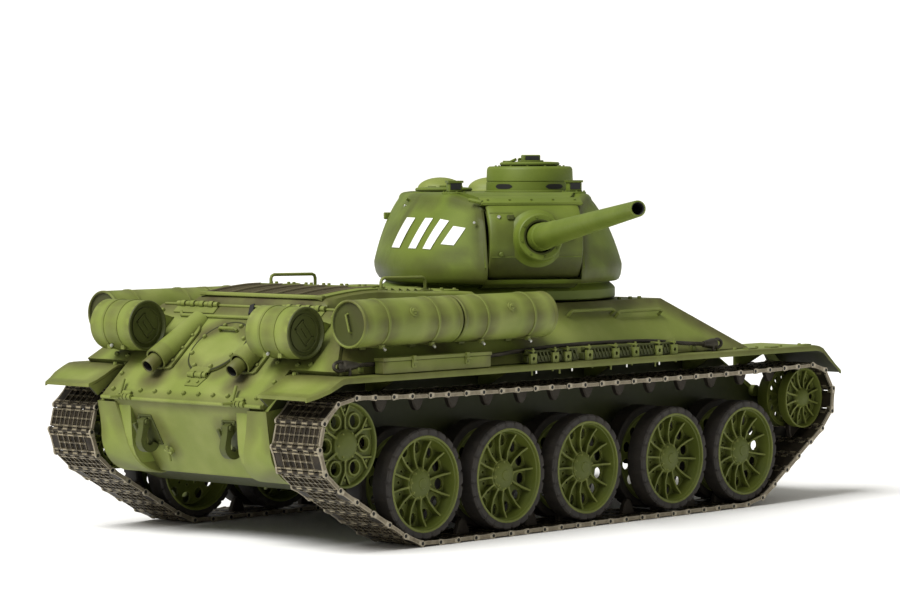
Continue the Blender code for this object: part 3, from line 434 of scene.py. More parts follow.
class Shape:
    """A mesh under construction, in millimetres, whose faces carry their finish."""

    def __init__(self, *finishes: Finish) -> None:
        """Start empty with the finishes that its faces may use."""
        self.mesh = bmesh.new()
        self.finishes = list(finishes) or [Finish.GREEN]
        self.spray = self.mesh.verts.layers.float.new("spray")
        self.sharp = 32.0

    def number(self, finish: Finish | None) -> int:
        """Material number of a finish, the first by default.

        Args:
            finish: the finish.

        Returns:
            The number.
        """
        if finish is None:
            return 0
        if finish not in self.finishes:
            self.finishes.append(finish)
        return self.finishes.index(finish)

    def face(self, verts: Sequence[object], finish: Finish | None = None) -> None:
        """Add a face over distinct corners.

        Args:
            verts: its corners, which may repeat.
            finish: finish of the faces, the first by default.
        """
        corners = list(dict.fromkeys(verts))
        if len(corners) > 2:
            made = self.mesh.faces.get(corners) or self.mesh.faces.new(corners)
            made.material_index = self.number(finish)

    def sheet(self, rows: Sequence[Sequence[Point]], finish: Finish | None = None,
              around: bool = False, closed: bool = False, caps: bool = False,
              at: Matrix | None = None) -> None:
        """Surface through rows of points.

        Args:
            rows: rows of equal point counts.
            finish: finish of its faces.
            around: whether each row joins its own start.
            closed: whether the last row joins the first.
            caps: whether the first and last rows are filled.
            at: placement of the points.
        """
        place = at or Matrix()
        made = [[self.mesh.verts.new(place @ Vector(point)) for point in row] for row in rows]
        pairs = list(zip(made, made[1:])) + ([(made[-1], made[0])] if closed else [])
        count = len(made[0])
        for low, high in pairs:
            for i in range(count if around else count - 1):
                j = (i + 1) % count
                self.face((low[i], low[j], high[j], high[i]), finish)
        if caps:
            self.face(made[0][::-1], finish)
            self.face(made[-1], finish)

    def box(self, low: Point, high: Point, finish: Finish | None = None, at: Matrix | None = None,
            soft: float = 0.0) -> None:
        """Box between two corners, with its edges softened by a bevel.

        Args:
            low: its lowest corner.
            high: its highest corner.
            finish: finish of the faces, the first by default.
            at: placement of the points.
            soft: width of the bevel.
        """
        x0, y0, z0 = low
        x1, y1, z1 = high
        first = len(self.mesh.verts)
        rows = [[(x0, y0, z), (x1, y0, z), (x1, y1, z), (x0, y1, z)] for z in (z0, z1)]
        self.sheet(rows, finish, around=True, caps=True, at=at)
        if soft > 0.0:
            self.mesh.verts.ensure_lookup_table()
            corners = set(self.mesh.verts[first:])
            edges = [edge for edge in self.mesh.edges if edge.verts[0] in corners]
            bmesh.ops.bevel(self.mesh, geom=edges, offset=soft, segments=1, affect="EDGES",
                            clamp_overlap=True, material=-1)

    def prism(self, outline: Sequence[Point], low: float, high: float, axis: Axis = Axis.X,
              finish: Finish | None = None, at: Matrix | None = None, rim: float = 0.0) -> None:
        """Outline extruded along an axis, with a chamfer of the given width round both ends.

        Args:
            outline: its outline across the axis.
            low: where it starts.
            high: where it ends.
            axis: direction that it runs along.
            finish: finish of the faces, the first by default.
            at: placement of the points.
            rim: width of the chamfer.
        """
        levels = [(low, 0.0), (high, 0.0)]
        if rim > 0.0:
            step = math.copysign(rim, high - low)
            levels = [(low, rim), (low + step, 0.0), (high - step, 0.0), (high, rim)]
        middle = Vector((sum(p[0] for p in outline), sum(p[1] for p in outline))) / len(outline)
        rows = []
        for level, inset in levels:
            row = []
            for point in outline:
                away = Vector(point) - middle
                shrunk = middle + away * max(0.0, 1.0 - inset / max(away.length, 0.001))
                row.append(axis.place(level, *shrunk))
            rows.append(row)
        self.sheet(rows, finish, around=True, caps=True, at=at)

    def turned(self, profile: Sequence[Point], axis: Axis = Axis.Z, count: int = 32,
               finish: Finish | None = None, at: Matrix | None = None, closed: bool = False) -> None:
        """Surface of revolution through (place along the axis, radius) points.

        Args:
            profile: the points to turn.
            axis: direction that it runs along.
            count: number of points round it.
            finish: finish of the faces, the first by default.
            at: placement of the points.
            closed: whether the last point joins the first.
        """
        place = at or Matrix()
        made = []
        for along, radius in profile:
            spots = ring_points(radius, count) if radius > 0.0 else [(0.0, 0.0)]
            ring = [self.mesh.verts.new(place @ Vector(axis.place(along, a, b))) for a, b in spots]
            made.append(ring if radius > 0.0 else ring * count)
        for low, high in list(zip(made, made[1:])) + ([(made[-1], made[0])] if closed else []):
            for i in range(count):
                j = (i + 1) % count
                self.face((low[i], low[j], high[j], high[i]), finish)

    def bar(self, start: Point, end: Point, radius: float, finish: Finish | None = None,
            count: int = 10, tip: float | None = None, at: Matrix | None = None) -> None:
        """Round bar between two points, which may taper to another radius."""
        self.tube([start, end], radius, finish, count, at=at, tip=tip)

    def tube(self, points: Sequence[Point], radius: float, finish: Finish | None = None,
             count: int = 10, at: Matrix | None = None, tip: float | None = None) -> None:
        """Round tube along a path with flat ends.

        Args:
            points: points in order.
            radius: its radius.
            finish: finish of the faces, the first by default.
            count: number of points round it.
            at: placement of the points.
            tip: radius at the far end.
        """
        place = at or Matrix()
        path = [place @ Vector(point) for point in points]
        side = None
        rows = []
        for i, point in enumerate(path):
            ahead = path[min(i + 1, len(path) - 1)] - path[max(i - 1, 0)]
            ahead.normalize()
            if side is None:
                side = ahead.orthogonal().normalized()
            side = (side - ahead * side.dot(ahead)).normalized()
            across = ahead.cross(side)
            share = i / max(1, len(path) - 1)
            size = radius + ((tip if tip is not None else radius) - radius) * share
            rows.append([point + side * a + across * b for a, b in ring_points(size, count)])
        self.sheet(rows, finish, around=True, caps=True)

    def bolt(self, centre: Point, out: Point, radius: float, height: float, count: int = 6,
             finish: Finish | None = None, round_top: bool = False, at: Matrix | None = None) -> None:
        """Bolt head that stands on a surface, with a chamfered or a round top.

        Args:
            centre: where it stands.
            out: direction that it points in.
            radius: its radius.
            height: its height.
            count: number of points round it.
            finish: finish of the faces, the first by default.
            round_top: whether its top is round.
            at: placement of the points.
        """
        place = at or Matrix()
        middle = place @ Vector(centre)
        ahead = (place.to_3x3() @ Vector(out)).normalized()
        turn = ahead.to_track_quat("Z", "Y").to_matrix().to_4x4()
        profile = [(-0.3, radius), (height * 0.7, radius), (height, radius * 0.78), (height, 0.0)]
        if round_top:
            profile = [(-0.3, radius), (height * 0.35, radius * 0.94), (height * 0.8, radius * 0.6),
                       (height, 0.0)]
        self.turned(profile, Axis.Z, count, finish, Matrix.Translation(middle) @ turn)

    def slotted(self, outline: Sequence[Point], holes: Sequence[Sequence[Point]], low: float,
                high: float, axis: Axis, finish: Finish | None = None,
                at: Matrix | None = None) -> None:
        """Flat plate with holes, extruded along an axis.

        Args:
            outline: its outline across the axis.
            holes: the holes' outlines.
            low: where it starts.
            high: where it ends.
            axis: direction that it runs along.
            finish: finish of the faces, the first by default.
            at: placement of the points.
        """
        place = at or Matrix()
        loops = [list(outline)] + [list(hole) for hole in holes]
        flat = [[Vector((a, b, 0.0)) for a, b in loop] for loop in loops]
        levels = []
        for level in (low, high):
            levels.append([[self.mesh.verts.new(place @ Vector(axis.place(level, a, b)))
                            for a, b in loop] for loop in loops])
        triangles = tessellate_polygon(flat)
        for number, rings in enumerate(levels):
            verts = [vert for ring in rings for vert in ring]
            for corner in triangles:
                order = corner if number else corner[::-1]
                self.face([verts[i] for i in order], finish)
        for low_ring, high_ring in zip(*levels):
            for i in range(len(low_ring)):
                j = (i + 1) % len(low_ring)
                self.face((low_ring[i], low_ring[j], high_ring[j], high_ring[i]), finish)

    def densify(self, longest: float) -> None:
        """Split long edges, so that sprayed shading has points to sit on.

        Args:
            longest: longest edge that stays whole.
        """
        bmesh.ops.triangulate(self.mesh, faces=[f for f in self.mesh.faces if len(f.verts) > 4])
        for _ in range(7):
            edges = [edge for edge in self.mesh.edges if edge.calc_length() > longest]
            if not edges:
                break
            bmesh.ops.subdivide_edges(self.mesh, edges=edges, cuts=1, use_grid_fill=True)
            wide = [f for f in self.mesh.faces if len(f.verts) > 4]
            bmesh.ops.triangulate(self.mesh, faces=wide)

    def airbrush(self, strokes: Iterable[Stroke]) -> None:
        """Spray soft brown strokes, each a line with its reach and its strength.

        Args:
            strokes: start, end, reach and strength of each.
        """
        for start, end, reach, strength in strokes:
            a, b = Vector(start), Vector(end)
            run = b - a
            length = max(run.length_squared, 1e-9)
            for vert in self.mesh.verts:
                share = min(1.0, max(0.0, (vert.co - a).dot(run) / length))
                gap = (vert.co - a - run * share).length / reach
                if gap < 1.0:
                    vert[self.spray] = max(vert[self.spray], strength * (1.0 - gap * gap))

    def shade_below(self, finish: Finish) -> None:
        """Give the faces that look down another finish, which paints shade on them.

        Args:
            finish: the other finish.
        """
        bmesh.ops.recalc_face_normals(self.mesh, faces=self.mesh.faces)
        number = self.number(finish)
        for face in self.mesh.faces:
            if face.normal.z < -0.5:
                face.material_index = number

    def bake(self, name: str, at: Matrix | None = None) -> bpy.types.Object:
        """Turn the shape into an object in the frame's metres.

        Args:
            name: its name.
            at: placement of the points.

        Returns:
            The piece.
        """
        bmesh.ops.remove_doubles(self.mesh, verts=self.mesh.verts, dist=1e-4)
        loose = [vert for vert in self.mesh.verts if not vert.link_faces]
        bmesh.ops.delete(self.mesh, geom=loose, context="VERTS")
        bmesh.ops.recalc_face_normals(self.mesh, faces=self.mesh.faces)
        self.mesh.transform(ROW @ (at or Matrix()))
        data = bpy.data.meshes.new(name)
        self.mesh.to_mesh(data)
        self.mesh.free()
        for finish in self.finishes:
            data.materials.append(finish.material)
        data.shade_smooth()
        data.set_sharp_from_angle(angle=math.radians(self.sharp))
        piece = bpy.data.objects.new(name, data)
        bpy.context.scene.collection.objects.link(piece)
        return piece


def fit(shape: Shape, name: str, body: str, replaced: Sequence[str] = (),
        at: Matrix | None = None) -> bpy.types.Object:
    """Bake a shape, let it ride on a body and stand for CAD nodes.

    Args:
        shape: the finished shape.
        name: the piece's name.
        body: the body it moves with.
        replaced: CAD nodes that it stands for.
        at: placement in millimetres.

    Returns:
        The piece.
    """
    piece = shape.bake(name, at)
    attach(piece, body)
    if replaced:
        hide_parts(*replaced)
    LOG.info("%s rides on %s", name, body)
    return piece


# ---------------------------------------------------------------- running gear
@dataclass
class RoadWheel:
    """Double road wheel: two dished discs with ribs and holes, a domed hub and notched tyres."""

    side: float
    number: int
    y: float
    height: float = 28.8
    radius: float = 25.8
    rim: float = 22.4
    bands: tuple[tuple[float, float], ...] = ((80.2, 90.1), (73.2, 63.3))
    holes: int = 12
    hole_ring: float = 16.5
    hole: float = 2.75
    notches: int = 24

    def tyre(self, shape: Shape, inner: float, outer: float) -> None:
        """Tyre with a short notch across its shoulders at each step round it.

        Args:
            shape: the mesh it adds to.
            inner: distance of its inner face.
            outer: distance of its outer face.
        """
        steps = 6
        way = math.copysign(1.0, outer - inner)
        rows = []
        for i in range(self.notches * steps):
            notch = 0.55 if i % steps == 0 else 0.0
            turn = 2.0 * math.pi * i / (self.notches * steps)
            loop = [(inner, self.rim), (inner, self.radius - 0.7), (inner + way * 0.7, self.radius),
                    (outer - way * (2.2 + notch), self.radius),
                    (outer - way * (0.7 + notch), self.radius - notch),
                    (outer - way * notch, self.radius - 0.7 - notch), (outer - way * notch, 23.6),
                    (outer - way * 0.1, 23.2), (outer, self.rim)]
            rows.append([(self.side * u, r * math.cos(turn), r * math.sin(turn)) for u, r in loop])
        shape.sheet(rows, Finish.TYRE, around=True, closed=True)

    def disc(self, shape: Shape, face: float, way: float, ribs: bool) -> None:
        """Rim, dished disc with its holes, and ribs on the outer one.

        Args:
            shape: the mesh it adds to.
            face: distance of its rim.
            way: 1 or -1, the direction that it faces.
            ribs: whether it has ribs.
        """
        s = self.side
        deep = face - way * 7.6
        profile = [(face - way * 9.7, 22.5), (face, 22.5), (face + way * 0.25, 22.2),
                   (face + way * 0.2, 21.5), (face - way * 1.0, 21.2), (face - way * 1.3, 20.8),
                   (face - way * 3.2, 20.6), (deep + way * 0.8, 20.2), (deep - way * 0.2, 19.9),
                   (deep - way * 1.2, 20.2), (deep - way * 1.4, 21.4)]
        shape.turned([(s * u, r) for u, r in profile], Axis.X, 72, closed=True)
        outline = ring_points(20.1, 60)
        gaps = []
        for i in range(self.holes):
            turn = 2.0 * math.pi * i / self.holes
            for reach, size, count in ((self.hole_ring, self.hole, 14), (10.4, 0.75, 8)):
                a, b = reach * math.cos(turn), reach * math.sin(turn)
                gaps.append([(a + p, b + q) for p, q in ring_points(size, count)])
        shape.slotted(outline, gaps, s * (deep - way * 1.0), s * deep, Axis.X)
        for i in range(self.holes if ribs else 0):
            turn = Matrix.Rotation(2.0 * math.pi * (i + 0.5) / self.holes, 4, "X")
            side_view = ((6.0, deep - 0.3), (20.7, deep - 0.3), (20.7, deep + 4.4), (17.0, deep + 3.0),
                         (12.0, deep + 2.5), (8.4, deep + 3.2), (6.0, deep + 4.0))
            rows = []
            for half in (-0.62, 0.62):
                rows.append([(s * u, r, half * (1.0 if u < deep + 1.0 else 0.72)) for r, u in side_view])
            shape.sheet(rows, around=True, caps=True, at=turn)

    def hub(self, shape: Shape) -> None:
        """Domed cap with its ring of small screws, and the tube between the discs.

        Args:
            shape: the mesh it adds to.
        """
        s = self.side
        deep = self.bands[0][1] - 7.6
        profile = [(deep - 0.4, 8.6), (deep + 0.8, 8.2), (deep + 3.4, 7.4), (deep + 3.7, 6.9),
                   (deep + 4.2, 6.8), (deep + 5.0, 5.9), (deep + 5.4, 4.0), (deep + 5.5, 2.6),
                   (deep + 5.9, 2.3), (deep + 6.0, 0.0)]
        shape.turned([(s * u, r) for u, r in profile], Axis.X, 36)
        for a, b in ring_points(6.2, 8, 0.3):
            shape.bolt((s * (deep + 4.3), a, b), (s, 0.0, 0.0), 0.5, 0.7, 6)
        shape.turned([(s * 66.0, 2.6), (s * 66.0, 5.0), (s * 82.4, 5.0), (s * 82.4, 2.6)], Axis.X, 24,
                     closed=True)
        shape.turned([(s * 64.6, 2.6), (s * 65.2, 7.0), (s * 70.6, 8.4), (s * 71.4, 8.4),
                      (s * 71.4, 2.6)], Axis.X, 24, closed=True)

    def build(self) -> bpy.types.Object:
        """Make the whole wheel.

        Returns:
            The piece.
        """
        shape = Shape(Finish.WHEEL, Finish.TYRE)
        for inner, outer in self.bands:
            way = math.copysign(1.0, outer - inner)
            self.tyre(shape, inner, outer)
            self.disc(shape, outer, way, way > 0)
        self.hub(shape)
        label = side_name(self.side)
        node = f"road_wheel_{label}_{self.number}"
        turn = Matrix.Rotation(0.61 * self.number, 4, "X")
        place = Matrix.Translation((0.0, self.y, self.height)) @ turn
        return fit(shape, f"spoked_wheel_{label}_{self.number}", node, [node], place)


@dataclass
class Sprocket:
    """Drive sprocket: two discs with six lightening holes and rollers between them."""

    side: float
    centre: tuple[float, float] = (169.3, 49.8)
    radius: float = 19.8
    discs: tuple[tuple[float, float], ...] = ((80.5, 87.5), (72.5, 66.0))
    holes: int = 6
    hole_ring: float = 12.2
    hole: float = 3.0

    def disc(self, shape: Shape, inner: float, outer: float) -> None:
        """One disc: rim, plate, raised rings round the holes and ribs between them.

        Args:
            shape: the mesh it adds to.
            inner: distance of its inner face.
            outer: distance of its outer face.
        """
        s = self.side
        way = math.copysign(1.0, outer - inner)
        deep = outer - way * 2.2
        profile = [(inner, 17.6), (inner, self.radius - 0.4), (outer - way * 0.4, self.radius),
                   (outer, self.radius - 0.3), (outer, self.radius - 1.0),
                   (outer - way * 0.5, self.radius - 1.3), (deep, self.radius - 1.7),
                   (deep - way * 1.4, self.radius - 1.8), (deep - way * 1.6, 17.6)]
        shape.turned([(s * u, r) for u, r in profile], Axis.X, 60, closed=True)
        gaps = []
        for i in range(self.holes):
            turn = 2.0 * math.pi * i / self.holes
            a, b = self.hole_ring * math.cos(turn), self.hole_ring * math.sin(turn)
            gaps.append([(a + p, b + q) for p, q in ring_points(self.hole, 20)])
            ring = [(s * (deep - way * 0.2), 3.0), (s * (deep + way * 1.2), 3.1),
                    (s * (deep + way * 1.2), 3.8), (s * (deep - way * 0.2), 4.5)]
            shape.turned(ring, Axis.X, 22, at=Matrix.Translation((0.0, a, b)), closed=True)
            spread = Matrix.Rotation(math.pi * (2 * i + 1) / self.holes, 4, "X")
            shape.box((min(s * deep, s * (deep + way * 1.3)) - 0.2, 5.0, -0.5),
                      (max(s * deep, s * (deep + way * 1.3)), 13.0, 0.5), at=spread)
            for lean in (-0.5, 0.5):
                branch = spread @ Matrix.Translation((0.0, 12.6, 0.0)) @ Matrix.Rotation(lean, 4, "X")
                shape.box((min(s * deep, s * (deep + way * 1.1)) - 0.2, 0.0, -0.4),
                          (max(s * deep, s * (deep + way * 1.1)), 6.2, 0.4), at=branch)
            shape.bolt((s * (deep + way * 0.1), 16.0 * math.cos(turn + math.pi / 6),
                        16.0 * math.sin(turn + math.pi / 6)), (s * way, 0.0, 0.0), 0.9, 0.9)
        shape.slotted(ring_points(18.6, 54), gaps, s * (deep - way * 1.4), s * deep, Axis.X)

    def build(self) -> bpy.types.Object:
        """Make both discs, the hub and the rollers.

        Returns:
            The piece.
        """
        shape = Shape(Finish.WHEEL, Finish.LINK)
        s = self.side
        for inner, outer in self.discs:
            self.disc(shape, inner, outer)
        cap = [(84.6, 7.8), (87.0, 7.2), (87.6, 6.4), (88.4, 5.6), (88.9, 3.6), (89.0, 0.0)]
        shape.turned([(s * u, r) for u, r in cap], Axis.X, 32)
        for a, b in ring_points(5.9, 6):
            shape.bolt((s * 87.9, a, b), (s, 0.0, 0.0), 0.55, 0.7)
        shape.turned([(s * 67.0, 0.0), (s * 67.0, 6.4), (s * 85.2, 6.4), (s * 85.2, 0.0)], Axis.X, 24)
        for a, b in ring_points(16.4, self.holes):
            shape.bar((s * 71.0, a, b), (s * 82.0, a, b), 1.9, Finish.LINK)
        shape.bar((s * 54.6, 0.0, 0.0), (s * 67.0, 0.0, 0.0), 3.0, count=16)
        label = side_name(s)
        place = Matrix.Translation((0.0, *self.centre))
        return fit(shape, f"drive_sprocket_{label}", f"sprocket_{label}", [f"sprocket_{label}"], place)


@dataclass
class Idler:
    """Idler wheel at the front: two ribbed discs, without a tyre."""

    side: float
    centre: tuple[float, float] = (-173.6, 52.9)
    radius: float = 15.8
    discs: tuple[tuple[float, float], ...] = ((80.2, 85.6), (73.2, 67.0))
    ribs: int = 12

    def build(self) -> bpy.types.Object:
        """Make both discs, their ribs and the hub.

        Returns:
            The piece.
        """
        shape = Shape(Finish.WHEEL)
        s = self.side
        for inner, outer in self.discs:
            way = math.copysign(1.0, outer - inner)
            deep = outer - way * 3.6
            profile = [(inner, 13.6), (inner, 15.4), (outer - way * 0.5, self.radius),
                       (outer, self.radius - 0.2), (outer, self.radius - 0.9),
                       (outer - way * 1.2, self.radius - 1.3), (deep + way * 0.4, 14.0),
                       (deep - way * 0.9, 13.8)]
            shape.turned([(s * u, r) for u, r in profile], Axis.X, 60, closed=True)
            gaps = []
            for i in range(self.ribs):
                turn = 2.0 * math.pi * i / self.ribs
                a, b = 10.4 * math.cos(turn), 10.4 * math.sin(turn)
                gaps.append([(a + p, b + q) for p, q in ring_points(1.55, 10)])
                spread = Matrix.Rotation(turn + math.pi / self.ribs, 4, "X")
                side_view = ((4.0, deep - way * 0.3), (14.2, deep - way * 0.3), (14.2, deep + way * 2.2),
                             (9.0, deep + way * 1.5), (4.0, deep + way * 2.6))
                rows = [[(s * u, r, half) for r, u in side_view] for half in (-0.45, 0.45)]
                shape.sheet(rows, around=True, caps=True, at=spread)
            shape.slotted(ring_points(14.2, 48), gaps, s * (deep - way * 0.9), s * deep, Axis.X)
        cap = [(81.6, 5.6), (84.6, 5.2), (85.4, 4.6), (86.2, 3.4), (86.6, 1.8), (86.6, 0.0)]
        shape.turned([(s * u, r) for u, r in cap], Axis.X, 28)
        shape.turned([(s * 67.4, 0.0), (s * 67.4, 4.6), (s * 82.4, 4.6), (s * 82.4, 0.0)], Axis.X, 20)
        shape.bar((s * 54.6, 0.0, 0.0), (s * 67.6, 0.0, 0.0), 3.0, count=16)
        label = side_name(s)
        place = Matrix.Translation((0.0, *self.centre))
        return fit(shape, f"ribbed_idler_{label}", f"idler_{label}", [f"idler_{label}"], place)


@dataclass
class Track:
    """Track of pinned links: cheeked links with guide horns alternate with flat ones."""

    side: float
    inner: float = 61.3
    outer: float = 92.1
    pin_height: float = 1.45
    wheel_height: float = 28.8
    stations: tuple[float, float] = (120.0, -118.7)
    sprocket: tuple[float, float] = (169.3, 49.8)
    sprocket_pins: float = 21.4
    idler: tuple[float, float] = (-173.6, 52.9)
    idler_pins: float = 17.6
    sag: float = 1.7
    links: int = 68
    phase: float = 0.35
    knuckles: int = 9

    def touch(self, first: Point, first_radius: float, second: Point, second_radius: float,
              way: float) -> float:
        """Angle, in degrees, at which the belt line leaves two circles."""
        run = (second[0] - first[0], second[1] - first[1])
        spread = math.acos((first_radius - second_radius) / math.hypot(*run))
        return math.degrees(math.atan2(run[1], run[0]) + way * spread)

    def pin_line(self) -> list[tuple[float, float]]:
        """The pins' closed line as many short steps, rear wheel first and over the top.

        Returns:
            The points.
        """
        ground = self.wheel_height - self.pin_height
        rear = (self.stations[0], self.wheel_height)
        front = (self.stations[1], self.wheel_height)
        leave = self.touch(rear, ground, self.sprocket, self.sprocket_pins, -1.0)
        land = self.touch(front, ground, self.idler, self.idler_pins, 1.0)
        line = arc(rear, ground, -90.0, leave, 24)
        line += arc(self.sprocket, self.sprocket_pins, leave, 90.0, 60)
        start = (self.sprocket[0], self.sprocket[1] + self.sprocket_pins)
        stop = (self.idler[0], self.idler[1] + self.idler_pins)
        for i in range(1, 80):
            t = i / 80
            drop = self.sag * (1.0 - (2.0 * t - 1.0) ** 4)
            line.append((start[0] + (stop[0] - start[0]) * t, start[1] + (stop[1] - start[1]) * t - drop))
        line += arc(self.idler, self.idler_pins, 90.0, land, 60)
        line += arc(front, ground, land, 270.0, 24)
        return line

    def pins(self) -> list[tuple[float, float]]:
        """Every pin's place, evenly spaced along the line.

        Returns:
            The points.
        """
        line = self.pin_line()
        line.append(line[0])
        lengths = [math.dist(a, b) for a, b in zip(line, line[1:])]
        pitch = sum(lengths) / self.links
        places = []
        target = self.phase * pitch
        walked = 0.0
        for (a, b), length in zip(zip(line, line[1:]), lengths):
            while target <= walked + length and len(places) < self.links:
                share = (target - walked) / length
                places.append((a[0] + (b[0] - a[0]) * share, a[1] + (b[1] - a[1]) * share))
                target += pitch
            walked += length
        return places

    def link(self, cheeked: bool, pitch: float) -> bpy.types.Mesh:
        """One link with its near pin at the origin: across, along and outwards are X, Y and Z.

        Args:
            cheeked: whether it has cheeks and a horn.
            pitch: distance between two pins.

        Returns:
            The link's mesh.
        """
        shape = Shape(Finish.LINK, Finish.LINK_END, Finish.HORN, Finish.DARK)
        wide = self.outer - self.inner
        step = wide / self.knuckles
        low, high = self.inner, self.outer
        shape.box((low + 0.9, 1.5, -0.75), (high - 0.9, pitch - 1.5, 0.25))
        for i in range(0 if cheeked else 1, self.knuckles, 2):
            a, b = low + i * step + 0.15, low + (i + 1) * step - 0.15
            for pin in (0.0, pitch):
                inward = 1.0 if pin == 0.0 else -1.0
                shape.bar((a, pin, 0.0), (b, pin, 0.0), 1.15, count=8)
                shape.box((a, min(pin, pin + inward * 2.4), -0.6), (b, max(pin, pin + inward * 2.4), 0.85))
        shape.box((low + 0.9, 1.9, 0.0), (high - 0.9, 2.5, 0.95))
        shape.box((low + 0.9, pitch - 2.5, 0.0), (high - 0.9, pitch - 1.9, 0.95))
        ribs = 6 if cheeked else 10
        reach = (low + 6.0, high - 6.0) if cheeked else (low + 1.6, high - 1.6)
        for i in range(ribs):
            x = reach[0] + (reach[1] - reach[0]) * i / (ribs - 1)
            shape.box((x - 0.25, 1.8, 0.0), (x + 0.25, pitch - 1.8, 0.95))
        shape.box((reach[0], pitch / 2 - 0.28, 0.0), (reach[1], pitch / 2 + 0.28, 1.05))
        if cheeked:
            for x in (low + 0.9, high - 5.6):
                shape.box((x, 2.6, 0.0), (x + 4.7, pitch - 2.6, 0.8), soft=0.2)
            waist = [(0.30 * pitch, 0.95), (0.70 * pitch, 0.95)]
            outline = arc((0.0, 0.0), 1.45, 270.0, 90.0, 8)
            outline += waist + arc((pitch, 0.0), 1.45, 90.0, -90.0, 8)
            outline += [(y, -h) for y, h in reversed(waist)]
            for face, back in ((high, high - 0.9), (low, low + 0.9)):
                shape.prism(outline, back, face, Axis.X, Finish.LINK_END)
                for pin in (0.0, pitch):
                    way = math.copysign(1.0, face - back)
                    # Black discs on the pin ends: painted shadow of the pin holes.
                    shape.turned([(face, 0.95), (face + 0.02 * way, 0.5), (face + 0.02 * way, 0.0)],
                                 Axis.X, 10, Finish.DARK, at=Matrix.Translation((0.0, pin, 0.0)))
            self.horn(shape, pitch)
        else:
            for face, back in ((high - 0.25, high - 1.2), (low + 0.25, low + 1.2)):
                shape.box((min(face, back), 1.75, -1.05), (max(face, back), pitch - 1.75, 0.6),
                          Finish.LINK_END)
        bmesh.ops.recalc_face_normals(shape.mesh, faces=shape.mesh.faces)
        data = bpy.data.meshes.new("link")
        shape.mesh.to_mesh(data)
        shape.mesh.free()
        return data

    def horn(self, shape: Shape, pitch: float) -> None:
        """Guide horn: a rounded tooth that points at the wheels.

        Args:
            shape: the mesh it adds to.
            pitch: distance between two pins.
        """
        middle = pitch / 2
        rows = []
        for x, size in ((75.0, 0.86), (75.6, 1.0), (77.8, 1.0), (78.4, 0.86)):
            lobe = []
            for i in range(13):
                t = -1.0 + 2.0 * i / 12
                depth = -0.6 - 7.2 * size * (1.0 - abs(t) ** 2.2)
                lobe.append((x, middle + 4.6 * size * t, depth))
            rows.append(lobe)
        shape.sheet(rows, Finish.HORN, around=True, caps=True)

    def build(self) -> bpy.types.Object:
        """Lay every link between its two pins.

        Returns:
            The piece.
        """
        pins = self.pins()
        pitch = max(math.dist(a, b) for a, b in zip(pins, pins[1:]))
        kinds = [self.link(True, pitch), self.link(False, pitch)]
        shape = Shape(Finish.LINK, Finish.LINK_END, Finish.HORN, Finish.DARK)
        for i, (a, b) in enumerate(zip(pins, pins[1:] + pins[:1])):
            run = math.dist(a, b)
            dy, dz = (b[0] - a[0]) / run, (b[1] - a[1]) / run
            share = run / pitch
            place = Matrix(((self.side, 0.0, 0.0, 0.0), (0.0, dy * share, dz, a[0]),
                            (0.0, dz * share, -dy, a[1]), (0.0, 0.0, 0.0, 1.0)))
            before = len(shape.mesh.verts)
            shape.mesh.from_mesh(kinds[i % 2])
            shape.mesh.verts.ensure_lookup_table()
            bmesh.ops.transform(shape.mesh, matrix=place, verts=shape.mesh.verts[before:])
        for data in kinds:
            bpy.data.meshes.remove(data)
        label = side_name(self.side)
        return fit(shape, f"pinned_links_{label}", "hull", [f"track_{label}"])


@dataclass
class RunningGear:
    """Everything that rolls, on both sides."""

    stations: tuple[float, ...] = (120.0, 62.6, 5.2, -61.3, -118.7)

    def build(self) -> None:
        """Make both sides."""
        for side in SIDES.values():
            for number, y in enumerate(self.stations, start=1):
                RoadWheel(side, number, y).build()
            Sprocket(side).build()
            Idler(side).build()
            Track(side).build()


# ---------------------------------------------------------------- hull
REAR_SLOPE = math.radians(48.0)
JUNCTION = (190.6, 66.7)
GLACIS = ((-127.0, 81.2), (-84.0, 107.4))
DECK_HALF, SPONSON_HALF = 62.0, 85.0
DECK_TOP, SPONSON_BOTTOM = 107.4, 81.2


def rear_frame(across: float, along: float, out: float = 0.0) -> Matrix:
    """Frame on the rear plate: X across, Y up its slope, Z out of its face.

    Args:
        across: place across the tank.
        along: distance up the plate.
        out: distance out of its face.

    Returns:
        The frame.
    """
    sine, cosine = math.sin(REAR_SLOPE), math.cos(REAR_SLOPE)
    y = JUNCTION[0] - along * sine + out * cosine
    z = JUNCTION[1] + along * cosine + out * sine
    turn = Matrix(((-1.0, 0.0, 0.0), (0.0, -sine, cosine), (0.0, cosine, sine)))
    return Matrix.Translation((across, y, z)) @ turn.to_4x4()


def glacis_frame(across: float, height: float) -> Matrix:
    """Frame on the glacis: X to the tank's left, Y up its slope, Z out of its face.

    Args:
        across: place across the tank.
        height: height above the ground.

    Returns:
        The frame.
    """
    (y0, z0), (y1, z1) = GLACIS
    length = math.hypot(y1 - y0, z1 - z0)
    dy, dz = (y1 - y0) / length, (z1 - z0) / length
    y = y0 + (height - z0) * (y1 - y0) / (z1 - z0)
    turn = Matrix(((1.0, 0.0, 0.0), (0.0, dy, -dz), (0.0, dz, dy)))
    return Matrix.Translation((across, y, height)) @ turn.to_4x4()


def side_frame(side: float, y: float, height: float) -> Matrix:
    """Frame on a sloped side plate: X to the rear, Y up its slope, Z out of its face.

    Args:
        side: the side that it is on.
        y: place along the tank.
        height: height above the ground.

    Returns:
        The frame.
    """
    run = SPONSON_HALF - DECK_HALF
    rise = DECK_TOP - SPONSON_BOTTOM
    length = math.hypot(run, rise)
    x = side * (SPONSON_HALF - run * (height - SPONSON_BOTTOM) / rise)
    up = Vector((-side * run / length, 0.0, rise / length))
    out = Vector((side * rise / length, 0.0, run / length))
    back = up.cross(out)
    turn = Matrix((back, up, out)).transposed()
    return Matrix.Translation((x, y, height)) @ turn.to_4x4()


